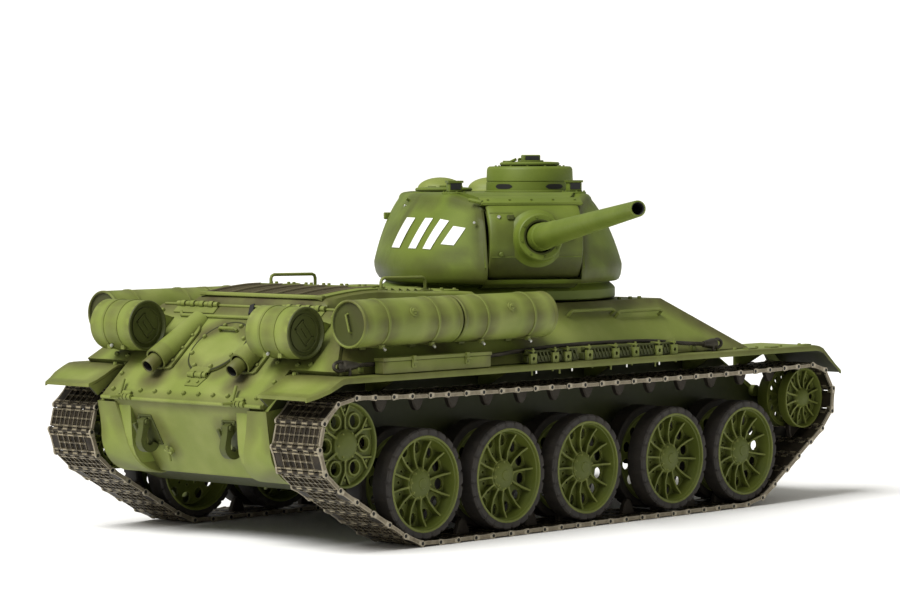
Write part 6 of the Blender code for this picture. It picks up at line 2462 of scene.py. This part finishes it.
@dataclass
class RoofFittings:
    """Periscopes, fan domes, front bracket, hooks and stubs on the shell."""

    dome: float = 13.3

    def periscopes(self, shape: Shape) -> None:
        """Two periscope housings with black windows on flanged feet.

        Args:
            shape: the mesh it adds to.
        """
        for s in SIDES.values():
            at = Matrix.Translation((s * 30.8, -34.7, 160.6))
            shape.turned([(-1.0, 6.2), (0.9, 6.2), (1.3, 5.8), (1.3, 0.0)], Axis.Z, 28, at=at)
            shape.box((-3.4, -3.0, 1.0), (3.4, 3.0, 6.2), at=at, soft=0.45)
            shape.box((-3.9, -3.4, 5.9), (3.9, 3.4, 7.0), at=at, soft=0.4)
            shape.box((-2.6, -3.2, 2.6), (2.6, -2.7, 5.6), Finish.GLASS, at=at)
            for a, b in ring_points(5.3, 6, 0.52):
                shape.bolt((a, b, 1.2), UP, 0.55, 0.7, at=at)

    def domes(self, shape: Shape) -> None:
        """Fan domes with the screws round their rims.

        Args:
            shape: the mesh it adds to.
        """
        for s in SIDES.values():
            at = Matrix.Translation((s * DOME_AT[0], DOME_AT[1], 160.6))
            r = self.dome
            profile = [(-0.6, r), (0.8, r), (1.2, r - 0.5), (1.7, r - 1.0)]
            profile += [(1.7 + 6.3 * math.sin(t), (r - 1.2) * math.cos(t)) for t in
                        [math.radians(a) for a in (8, 18, 28, 38, 48, 58, 68, 78)]] + [(8.0, 0.0)]
            shape.turned(profile, Axis.Z, 56, at=at)
            for a, b in ring_points(r - 0.6, 8, 0.4):
                shape.bolt((a, b, 0.9), UP, 0.55, 0.7, at=at)

    def bracket(self, shape: Shape) -> None:
        """Light strip above the mantlet, with its short return at the right end.

        Args:
            shape: the mesh it adds to.
        """
        rows = []
        for x in (-25.6, -25.0, 25.0, 25.6):
            slim = 0.35 if abs(x) > 25.3 else 0.0
            outline = [(-62.4, 155.6), (-62.4, 159.4 - slim), (-64.6, 159.4 - slim), (-69.6, 157.0 - slim),
                       (-69.6, 155.9 + slim), (-68.6, 155.4 + slim)]
            rows.append([(x, y, z) for y, z in outline])
        shape.sheet(rows, around=True, caps=True)
        shape.bar((-25.0, -68.2, 157.2), (-29.6, -61.0, 158.4), 1.0, count=8)
        for x in (-22.0, -11.0, 0.0, 11.0, 22.0):
            shape.bolt((x, -67.0, 158.2), (0.0, -0.5, 0.9), 0.6, 0.7)

    def hooks(self, shape: Shape) -> None:
        """Lifting hooks, a pointed rear hook, hand rail stubs and a lamp stub.

        Args:
            shape: the mesh it adds to.
        """
        places = ((44.6, 36.0, 146.0, 8.0), (36.0, 70.0, 147.0, 30.0))
        for s in SIDES.values():
            for x, y, z, turn in places:
                lean = Matrix.Rotation(math.radians(s * turn), 4, "Z")
                at = Matrix.Translation((s * x, y, z)) @ lean
                points = [(-s * 1.6, 0.0, 2.2), (s * 1.6, 0.0, 2.6), (s * 3.4, 0.0, 1.2),
                          (s * 3.8, 0.0, -1.2),
                          (s * 2.6, 0.0, -2.6), (s * 1.0, 0.0, -2.4)]
                shape.tube(smooth_path(points, 3), 0.85, count=8, tip=0.5, at=at)
                shape.bolt((s * 0.6, 0.0, 2.4), (s, 0.0, 0.5), 1.5, 0.9, 12, at=at)
            for x, y, z in ((50.6, 20.0, 141.0), (50.0, 28.0, 141.5), (54.0, -4.0, 138.6),
                            (54.2, -10.0, 138.6)):
                shape.bar((s * (x - 1.0), y, z), (s * (x + 1.9), y, z - 0.4), 0.6, count=8)
            shape.bar((s * 51.7, 20.0, 140.7), (s * 51.2, 28.0, 141.2), 0.55, count=8)
            shape.bar((s * 55.5, -4.0, 138.3), (s * 55.7, -10.0, 138.3), 0.55, count=8)
            shape.box((min(s * 43.0, s * 47.4), 50.0, 147.0), (max(s * 43.0, s * 47.4), 52.6, 150.6),
                      soft=0.4)
        shape.bar((-44.5, 2.0, 156.8), (-46.6, 2.0, 158.2), 0.7, count=8)

    def screws(self, shape: Shape) -> None:
        """Bright screws on the right wall."""
        shape.bolt((-46.4, 4.0, 154.4), (-1.0, 0.0, 0.35), 0.9, 1.2)
        shape.bolt((-28.6, -66.6, 147.2), (-0.3, -1.0, 0.2), 0.8, 1.0)

    def hatch_rims(self, shape: Shape) -> None:
        """Raised rims round the loader's opening, with its hinge ears.

        Args:
            shape: the mesh it adds to.
        """
        at = Matrix.Translation((*LOADER_AT, 161.4))
        shape.turned([(-1.0, 13.6), (0.2, 13.6), (0.2, 16.2), (-0.2, 16.6), (-1.0, 16.6)], Axis.Z, 48, at=at,
                     closed=True)
        for x in (-8.3, 8.3):
            shape.box((x - 1.1, 15.2, -0.4), (x + 1.1, 17.4, 2.0), at=at, soft=0.3)

    def marking(self, shape: Shape) -> None:
        """Plain white bars and a block on the right wall, laid on its curve.

        Args:
            shape: the mesh it adds to.
        """
        casting = Casting()
        widest, roof = half_plan(WIDEST_PLAN), half_plan(ROOF_PLAN)
        lift = 0.3

        def on_wall(y: float, share: float) -> Vector:
            """Point on the right wall at a distance from the front and a share of its height."""
            turn = math.degrees(math.asin(share))
            ratio = (1.0 - math.cos(math.radians(turn))) * 0.35 + turn / 90.0 * 0.65
            rise = share * 0.35 + turn / 90.0 * 0.65
            line = between(widest, roof, ratio)
            for (xa, ya), (xb, yb) in zip(line, line[1:]):
                if min(ya, yb) <= y <= max(ya, yb):
                    t = (y - ya) / (yb - ya)
                    x = xa + (xb - xa) * t
                    return Vector((-x - lift, y,
                                   125.5 + (casting.roof_z(y, ROOF_EDGE) - 125.5) * rise + lift))
            return Vector((-40.0, y, 140.0))

        for start, stop, low, high in ((-13.0, -23.5, 0.34, 0.86), (-33.0, -39.0, 0.34, 0.86),
                                       (-44.0, -49.0, 0.34, 0.86), (-53.5, -59.5, 0.46, 0.80)):
            rows = []
            for i in range(9):
                share = low + (high - low) * i / 8.0
                lean = -6.0 * (share - low)
                rows.append([on_wall(start + lean + (stop - start) * k / 6.0, share) for k in range(7)])
            shape.sheet(rows)

    def build(self) -> None:
        """Make every fitting."""
        shape = Shape(Finish.TURRET, Finish.GLASS)
        self.periscopes(shape)
        self.bracket(shape)
        self.hooks(shape)
        self.hatch_rims(shape)
        fit(shape, "turret_fittings", "turret", at=TURRET)
        domes = Shape(Finish.GREEN)
        self.domes(domes)
        fit(domes, "fan_domes", "turret", ["vent_dome_right", "vent_dome_left"], TURRET)
        steel = Shape(Finish.SCREW)
        self.screws(steel)
        fit(steel, "turret_screws", "turret", at=TURRET)
        white = Shape(Finish.WHITE)
        self.marking(white)
        fit(white, "plain_marking", "turret", at=TURRET)


@dataclass
class Cupola:
    """Commander's cupola with vision slits, and the two roof hatches."""

    radius: float = 22.3
    slits: int = 5

    def ring(self, shape: Shape) -> None:
        """Ring with a step, a seam line, and the slits' openings filled with black painted shadow.

        Args:
            shape: the mesh it adds to.
        """
        r = self.radius
        profile = [(161.0, r - 5.8), (161.0, r + 0.6), (161.9, r + 0.5), (162.3, r), (166.3, r - 0.1),
                   (166.5, r - 0.45), (166.9, r - 0.45), (167.1, r - 0.15), (172.8, r - 0.4),
                   (173.8, r - 0.8),
                   (174.4, r - 1.6), (174.5, r - 3.2), (174.5, r - 6.2), (173.6, r - 6.6), (172.6, r - 8.8),
                   (171.8, r - 8.8), (171.8, r - 5.8)]
        shape.turned(profile, Axis.Z, 80, closed=True)
        for i in range(self.slits):
            turn = math.radians(-90.0 + 360.0 * i / self.slits + 20.0)
            wide = math.radians(13.5)
            rows = []
            for k in range(9):
                t = turn - wide + 2.0 * wide * k / 8.0
                lens = 1.25 * math.sqrt(max(0.03, 1.0 - (k / 4.0 - 1.0) ** 4))
                rows.append([(reach * math.cos(t), reach * math.sin(t), 164.3 + z)
                             for reach,
                             z in ((r + 0.06, -lens), (r + 0.06, lens), (r - 0.8, lens), (r - 0.8, -lens))])
            shape.sheet(rows, Finish.DARK, around=True, caps=True)
        for a, b in ring_points(r - 4.9, 12, 0.2):
            shape.bolt((a, b, 174.3), UP, 0.55, 0.7)

    def hatch(self, shape: Shape) -> None:
        """Two-part lid with hinge bumps and the commander's periscope on top.

        Args:
            shape: the mesh it adds to.
        """
        shape.turned([(173.9, 0.0), (173.9, 14.6), (174.8, 14.8), (175.4, 15.3), (176.0, 15.3),
                      (176.6, 14.6), (176.8, 10.0),
                      (177.0, 0.0)], Axis.Z, 56)
        shape.turned([(176.4, 6.6), (177.4, 6.6), (177.6, 6.2), (177.6, 0.0)], Axis.Z, 36,
                     at=Matrix.Translation((0.0, -2.0, 0.0)))
        shape.box((-4.4, -5.0, 176.4), (4.4, 1.0, 180.3), soft=0.4)
        shape.box((-3.5, -5.25, 177.5), (3.5, -4.8, 179.7), Finish.GLASS)
        for x in (-7.6, 7.6):
            shape.bar((x - 2.6, 14.6, 176.0), (x + 2.6, 14.6, 176.0), 1.35, count=14)
            shape.box((x - 2.0, 8.0, 175.9), (x + 2.0, 14.8, 177.3), soft=0.3)
        shape.bar((-3.0, 10.4, 178.2), (3.0, 10.4, 178.2), 0.6)
        for x in (-3.0, 3.0):
            shape.bar((x, 10.4, 176.6), (x, 10.4, 178.4), 0.6)
        shape.bar((-11.6, -7.0, 176.9), (-9.8, -9.4, 178.0), 0.8, count=8)

    def loader(self, shape: Shape) -> None:
        """Loader's lid with its small round plug and hinge arms.

        Args:
            shape: the mesh it adds to.
        """
        shape.turned([(161.9, 0.0), (161.9, 14.0), (162.4, 14.6), (163.0, 14.6), (163.6, 14.0), (163.9, 9.0),
                      (164.0, 0.0)], Axis.Z, 56)
        shape.turned([(163.8, 3.4), (164.6, 3.4), (164.9, 3.0), (164.9, 0.0)], Axis.Z, 24,
                     at=Matrix.Translation((0.0, -5.0, 0.0)))
        shape.bar((-6.4, 15.8, 162.6), (6.4, 15.8, 162.6), 0.85, count=14)
        for x in (-3.6, 3.6):
            shape.box((x - 1.2, 6.0, 163.2), (x + 1.2, 15.6, 164.3), soft=0.3)

    def build(self) -> None:
        """Make the cupola and the lids."""
        at = TURRET @ Matrix.Translation((*CUPOLA_AT, 0.0))
        shape = Shape(Finish.TURRET, Finish.DARK)
        self.ring(shape)
        fit(shape, "cupola_ring", "turret", ["cupola"], at)
        lid = Shape(Finish.TURRET, Finish.GLASS)
        self.hatch(lid)
        fit(lid, "commander_lid", "commander_hatch", ["commander_hatch"], at)
        lid = Shape(Finish.TURRET)
        self.loader(lid)
        fit(lid, "loader_lid", "loader_hatch", ["loader_hatch"],
            TURRET @ Matrix.Translation((*LOADER_AT, 0.0)))


@dataclass
class Gun:
    """Rounded mantlet with its sleeve, and the tapering barrel."""

    radius: float = 22.2
    half: float = 23.5

    def shield(self, shape: Shape) -> None:
        """Drum-shaped mantlet, open behind, with softened edges.

        Args:
            shape: the mesh it adds to.
        """
        rows = []
        for x, pull in ((-self.half, 1.2), (-self.half + 0.35, 0.5), (-self.half + 1.2, 0.0),
                        (self.half - 1.2, 0.0), (self.half - 0.35, 0.5), (self.half, 1.2)):
            outer = [(-(self.radius - pull) * math.cos(t), (self.radius - pull) * math.sin(t))
                     for t in [math.radians(-58.0 + 118.0 * i / 36) for i in range(37)]]
            inner = [(-(self.radius - 3.2) * math.cos(t), (self.radius - 3.2) * math.sin(t))
                     for t in [math.radians(60.0 - 118.0 * i / 36) for i in range(37)]]
            rows.append([(x, y, z) for y, z in outer + inner])
        shape.sheet(rows, around=True, caps=False)
        shape.sheet([[(x * 0.96, y, z) for x, y, z in row] for row in (rows[0], rows[-1])][::-1],
                    around=True)

    def sleeve(self, shape: Shape) -> None:
        """Sleeve round the barrel's root, with its recess in the shaded green as painted shade.

        Args:
            shape: the mesh it adds to.
        """
        shape.turned([(-20.4, 14.2), (-21.6, 12.6), (-23.0, 11.8), (-27.6, 11.4), (-28.6, 11.2),
                      (-29.0, 10.7),
                      (-29.0, 8.6)], Axis.Y, 48)
        # The recess takes the shaded green: painted shade.
        shape.turned([(-29.0, 8.6), (-28.6, 7.6), (-16.0, 7.5)], Axis.Y, 48, Finish.CAP)
        for a, b in ring_points(9.7, 8, 0.2):
            shape.bolt((a, -28.9, b), (0.0, -1.0, 0.0), 0.55, 0.6)

    def details(self, shape: Shape) -> None:
        """Seams, bosses, a lug and the coaxial gun's port.

        Args:
            shape: the mesh it adds to.
        """
        for turn, x0, x1 in ((35.0, -22.6, -11.0), (-24.0, -22.6, 22.6)):
            t = math.radians(turn)
            y, z = -(self.radius - 0.1) * math.cos(t), (self.radius - 0.1) * math.sin(t)
            shape.bar((x0, y, z), (x1, y, z), 0.35, count=6)
        t = math.radians(28.0)
        y, z = -self.radius * math.cos(t), self.radius * math.sin(t)
        # The lug takes the shaded green: painted shade.
        shape.box((-14.2, y - 1.5, z - 1.2), (-11.0, y + 0.8, z + 1.2), Finish.CAP, soft=0.3)
        shape.bolt((-18.4, y + 0.2, z), (0.0, -0.8, 0.5), 0.95, 1.0, 12, Finish.SCREW)
        shape.turned([(-self.radius + 0.6, 2.2), (-self.radius - 0.9, 2.2), (-self.radius - 1.1, 1.9),
                      (-self.radius - 1.1, 1.2)], Axis.Y, 20, at=Matrix.Translation((16.0, 0.0, 1.0)))
        # The port's inside is black: painted shadow.
        shape.turned([(-self.radius - 1.1, 1.2), (-self.radius - 0.2, 1.1), (-self.radius - 0.2, 0.0)],
                     Axis.Y, 20,
                     Finish.DARK, at=Matrix.Translation((16.0, 0.0, 1.0)))
        t = math.radians(-20.0)
        shape.bolt((-18.0, -self.radius * math.cos(t), self.radius * math.sin(t)), (0.0, -1.0, -0.3), 1.2,
                   1.0, 12)

    def barrel(self, shape: Shape) -> None:
        """Tapering tube with its stepped root and a real bore, lined in black as painted shadow.

        Args:
            shape: the mesh it adds to.
        """
        reach = -192.4
        profile = [(-24.4, 4.2), (-24.4, 6.9), (-36.0, 6.7), (-36.6, 6.3), (-58.0, 5.95), (-58.6, 5.75),
                   (-120.0, 4.75), (-186.0, 3.75), (reach + 0.5, 3.65), (reach, 3.3), (reach, 2.9),
                   (reach + 0.4, 2.6), (reach + 23.5, 2.5), (reach + 23.6, 0.0)]
        shape.turned(profile[:11], Axis.Y, 48)
        shape.turned(profile[10:], Axis.Y, 32, Finish.DARK)

    def build(self) -> None:
        """Make the mantlet and the barrel."""
        shape = Shape(Finish.TURRET, Finish.CAP, Finish.DARK, Finish.SCREW)
        self.shield(shape)
        shape.densify(4.0)
        middle = [face for face in shape.mesh.faces if face.calc_center_median().y < -6.0
                  and math.hypot(face.calc_center_median().x, face.calc_center_median().z) < 10.0]
        bmesh.ops.delete(shape.mesh, geom=middle, context="FACES")
        r = self.radius
        shape.airbrush([((-23.0, -r * 0.5, r * 0.8), (-23.0, -r * 0.5, -r * 0.8), 6.0, 0.6),
                        ((23.0, -r * 0.5, r * 0.8), (23.0, -r * 0.5, -r * 0.8), 6.0, 0.6),
                        ((-22.0, -r * 0.7, -r * 0.7), (22.0, -r * 0.7, -r * 0.7), 15.0, 0.8),
                        ((-20.0, -r, 2.0), (20.0, -r, -2.0), 9.0, 0.5)]
                       + [((13.0 * math.cos(t), -r, 13.0 * math.sin(t)),
                           (13.0 * math.cos(t), -r, 13.0 * math.sin(t)),
                           7.0, 0.55) for t in [i * math.pi / 6.0 for i in range(12)]])
        self.sleeve(shape)
        self.details(shape)
        fit(shape, "gun_shield", "gun_mount", ["mantlet"], GUN)
        tube = Shape(Finish.TURRET, Finish.DARK)
        self.barrel(tube)
        fit(tube, "gun_tube", "barrel", ["gun_barrel"], GUN)


@dataclass
class Turret:
    """Everything that turns with the turret."""

    def build(self) -> None:
        """Make the turret's parts in order."""
        for part in (Casting(), RoofFittings(), Cupola(), Gun()):
            part.build()


# ---------------------------------------------------------------- glacis fittings
@dataclass
class DriverHatch:
    """Driver's visor: a thick cast lid with its vision slot, hinges and episcope."""

    x: float = 24.0
    height: float = 93.5
    half: tuple[float, float] = (12.5, 12.0)

    def build(self) -> None:
        """Make the lid."""
        at = glacis_frame(self.x, self.height)
        a, b = self.half
        shape = Shape(Finish.GREEN, Finish.DARK)
        outline = [(-a + 2.0, -b), (a - 2.0, -b), (a, -b + 2.0), (a, b - 2.0), (a - 2.0, b), (-a + 2.0, b),
                   (-a, b - 2.0), (-a, -b + 2.0)]
        shape.prism(outline, 0.3, 3.0, Axis.Z, at=at, rim=0.6)
        shape.box((-6.4, -1.6, 2.8), (6.4, 3.4, 4.0), at=at, soft=0.4)
        # Vision slot as a black strip: painted shadow in the slot.
        shape.box((-4.6, 0.2, 3.8), (4.6, 1.6, 4.12), Finish.DARK, at=at)
        for x in (-8.4, 8.4):
            shape.bar((x - 2.2, b + 0.4, 2.2), (x + 2.2, b + 0.4, 2.2), 1.5, count=14, at=at)
            shape.box((x - 1.6, 5.0, 2.8), (x + 1.6, b + 0.4, 3.7), at=at, soft=0.3)
        for x in (-a + 2.4, a - 2.4):
            shape.bolt((x, -b + 2.4, 3.0), UP, 0.9, 0.8, at=at)
        fit(shape, "driver_visor", "driver_hatch", ["driver_hatch"])


@dataclass
class BowGun:
    """Machine gun in its ball, inside a bolted collar."""

    x: float = -28.0
    height: float = 91.0

    def build(self) -> None:
        """Make the collar on the hull and the moving ball with its barrel."""
        at = glacis_frame(self.x, self.height)
        out = at.to_3x3().col[2]
        collar = Shape(Finish.GREEN)
        collar.turned([(-1.4, 6.7), (-1.4, 9.6), (0.6, 9.6), (2.4, 8.6), (2.8, 7.8), (2.0, 6.8)], Axis.Z, 40,
                      at=at,
                      closed=True)
        for a, b in ring_points(8.8, 8):
            collar.bolt(at @ Vector((a, b, 1.6)), out, 0.7, 1.2)
        fit(collar, "bow_gun_collar", "hull")
        gun = Shape(Finish.GREEN, Finish.BLACK)
        profile = [(6.0 * math.sin(t),
                    6.0 * math.cos(t)) for t in [math.radians(-60 + 10 * i) for i in range(15)]]
        gun.turned([(profile[0][0], 0.0)] + profile + [(6.0, 0.0)], Axis.Z, 36,
                   at=at @ Matrix.Translation((0.0, 0.0, 0.5)))
        start = at @ Vector((0.0, 0.0, 4.6))
        ahead = Vector((0.0, -1.0, 0.0))
        gun.bar(start, start + ahead * 6.0, 1.9, count=16)
        gun.bar(start + ahead * 6.0, start + ahead * 8.4, 1.2, Finish.BLACK, count=14)
        fit(gun, "bow_gun_ball", "bow_gun", ["bow_gun"])


# ---------------------------------------------------------------- pieces kept from the frame
class KeptNodes:
    """Frame nodes that stay in view, with the finish of each."""

    # The lower hull and the swing arms take the shadowed green: painted shade under the tank.
    finishes = {"lower_hull": Finish.UNDER, "swing_arm": Finish.UNDER, "battery": Finish.BATTERY,
                "control_board": Finish.BOARD, "gearbox": Finish.BLACK, "turret_motor": Finish.BLACK,
                "speaker": Finish.BLACK, "power_switch": Finish.BLACK}

    def dress_ends(self, mesh: bpy.types.Mesh) -> None:
        """Give both ends of the hull the outer paint; the rest keeps the shadowed green as painted shade."""
        mesh.materials.append(Finish.GREEN.material)
        for face in mesh.polygons:
            face.material_index = 1 if abs(face.center.y) > 138.0 * MM and face.normal.z > -0.8 else 0

    def build(self) -> None:
        """Give every node that is still shown its material."""
        for name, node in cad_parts.items():
            if node.hide_render:
                continue
            found = [finish for key, finish in self.finishes.items() if name.startswith(key)]
            finish = found[0] if found else Finish.GREEN
            node.data.materials.clear()
            node.data.materials.append(finish.material)
            if name == "lower_hull":
                self.dress_ends(node.data)
            LOG.info("%s stays with the finish %s", name, finish.value.name)


# ---------------------------------------------------------------- studio
@dataclass
class Studio:
    """Pale floor, soft lights and the camera."""

    camera_place: tuple[float, float, float] = (-1180.5, 1276.3, 180.7)
    turn: tuple[float, float, float] = (222.739, 2.441, -0.125)
    lens: float = 138.37
    shift: tuple[float, float] = (-0.01167, 0.00409)
    key_toward: tuple[float, float, float] = (0.05, 0.72, 0.85)
    key_strength: float = 4.1
    key_spread: float = 34.0
    tint: Colour = (1.0, 0.985, 0.92, 1.0)
    glow: float = 0.38
    backdrop: float = 1.15
    floor_half: float = 6.0

    def camera(self) -> None:
        """Stand the camera behind the tank on its right."""
        azimuth, elevation, roll = (math.radians(angle) for angle in self.turn)
        back = Vector((math.sin(azimuth) * math.cos(elevation), -math.cos(azimuth) * math.cos(elevation),
                       math.sin(elevation)))
        aim = back.to_track_quat("Z", "Y").to_matrix().to_4x4() @ Matrix.Rotation(roll, 4, "Z")
        data = bpy.data.cameras.new("studio_camera")
        data.lens = self.lens
        data.shift_x, data.shift_y = self.shift
        camera = bpy.data.objects.new("studio_camera", data)
        camera.matrix_world = Matrix.Translation(ROW @ Vector(self.camera_place)) @ aim
        bpy.context.scene.collection.objects.link(camera)
        bpy.context.scene.camera = camera

    def floor(self) -> None:
        """Pale floor that the tracks stand on."""
        mesh = bpy.data.meshes.new("studio_floor")
        z = -CLEARANCE * MM
        corners = [(a * self.floor_half, b * self.floor_half, z) for a,
                   b in ((-1, -1), (1, -1), (1, 1), (-1, 1))]
        mesh.from_pydata(corners, [], [(0, 1, 2, 3)])
        tree = Tree(bpy.data.materials.new("studio_white"))
        tree.shade(Base_Color=(0.96, 0.955, 0.94, 1.0), Roughness=0.7, Specular_IOR_Level=0.1)
        mesh.materials.append(tree.owner)
        floor = bpy.data.objects.new("studio_floor", mesh)
        bpy.context.scene.collection.objects.link(floor)

    def sun(self) -> None:
        """Large soft light that shines from one side."""
        data = bpy.data.lights.new("soft_key", "SUN")
        data.energy = self.key_strength
        data.angle = math.radians(self.key_spread)
        lamp = bpy.data.objects.new("soft_key", data)
        lamp.matrix_world = Vector(self.key_toward).to_track_quat("Z", "Y").to_matrix().to_4x4()
        bpy.context.scene.collection.objects.link(lamp)

    def world(self) -> None:
        """Dim white surroundings in front of a bright white background."""
        world = bpy.data.worlds.new("studio_world")
        tree = Tree(world)
        seen = tree.add("ShaderNodeLightPath", out="Is Camera Ray")
        level = tree.add("ShaderNodeMapRange", out="Result", Value=seen, To_Min=self.glow,
                         To_Max=self.backdrop)
        tree.shade(Color=self.tint, Strength=level)
        bpy.context.scene.world = world
        bpy.context.scene.view_settings.view_transform = "Standard"

    def build(self) -> None:
        """Make the studio."""
        self.camera()
        self.floor()
        self.sun()
        self.world()


def main() -> None:
    """Build the tank part by part, then the studio."""
    logging.basicConfig(level=logging.INFO, format="%(message)s")
    RunningGear().build()
    for part in (UpperHull(), RearPlate(), TransmissionHatch(), EngineDeck(), LowerHull(), DriverHatch(),
                 BowGun(),
                 ToolBox(), TowCable()):
        part.build()
    for side in SIDES.values():
        Exhaust(side).build()
        TrackGuard(side).build()
        SpareCleats(side).build()
        RearDrum(side).build()
        for place, y in (("rear", 131.3), ("front", 64.6)):
            FuelDrum(side, place, y).build()
    Turret().build()
    KeptNodes().build()
    Studio().build()


if __name__ == "__main__":
    main()
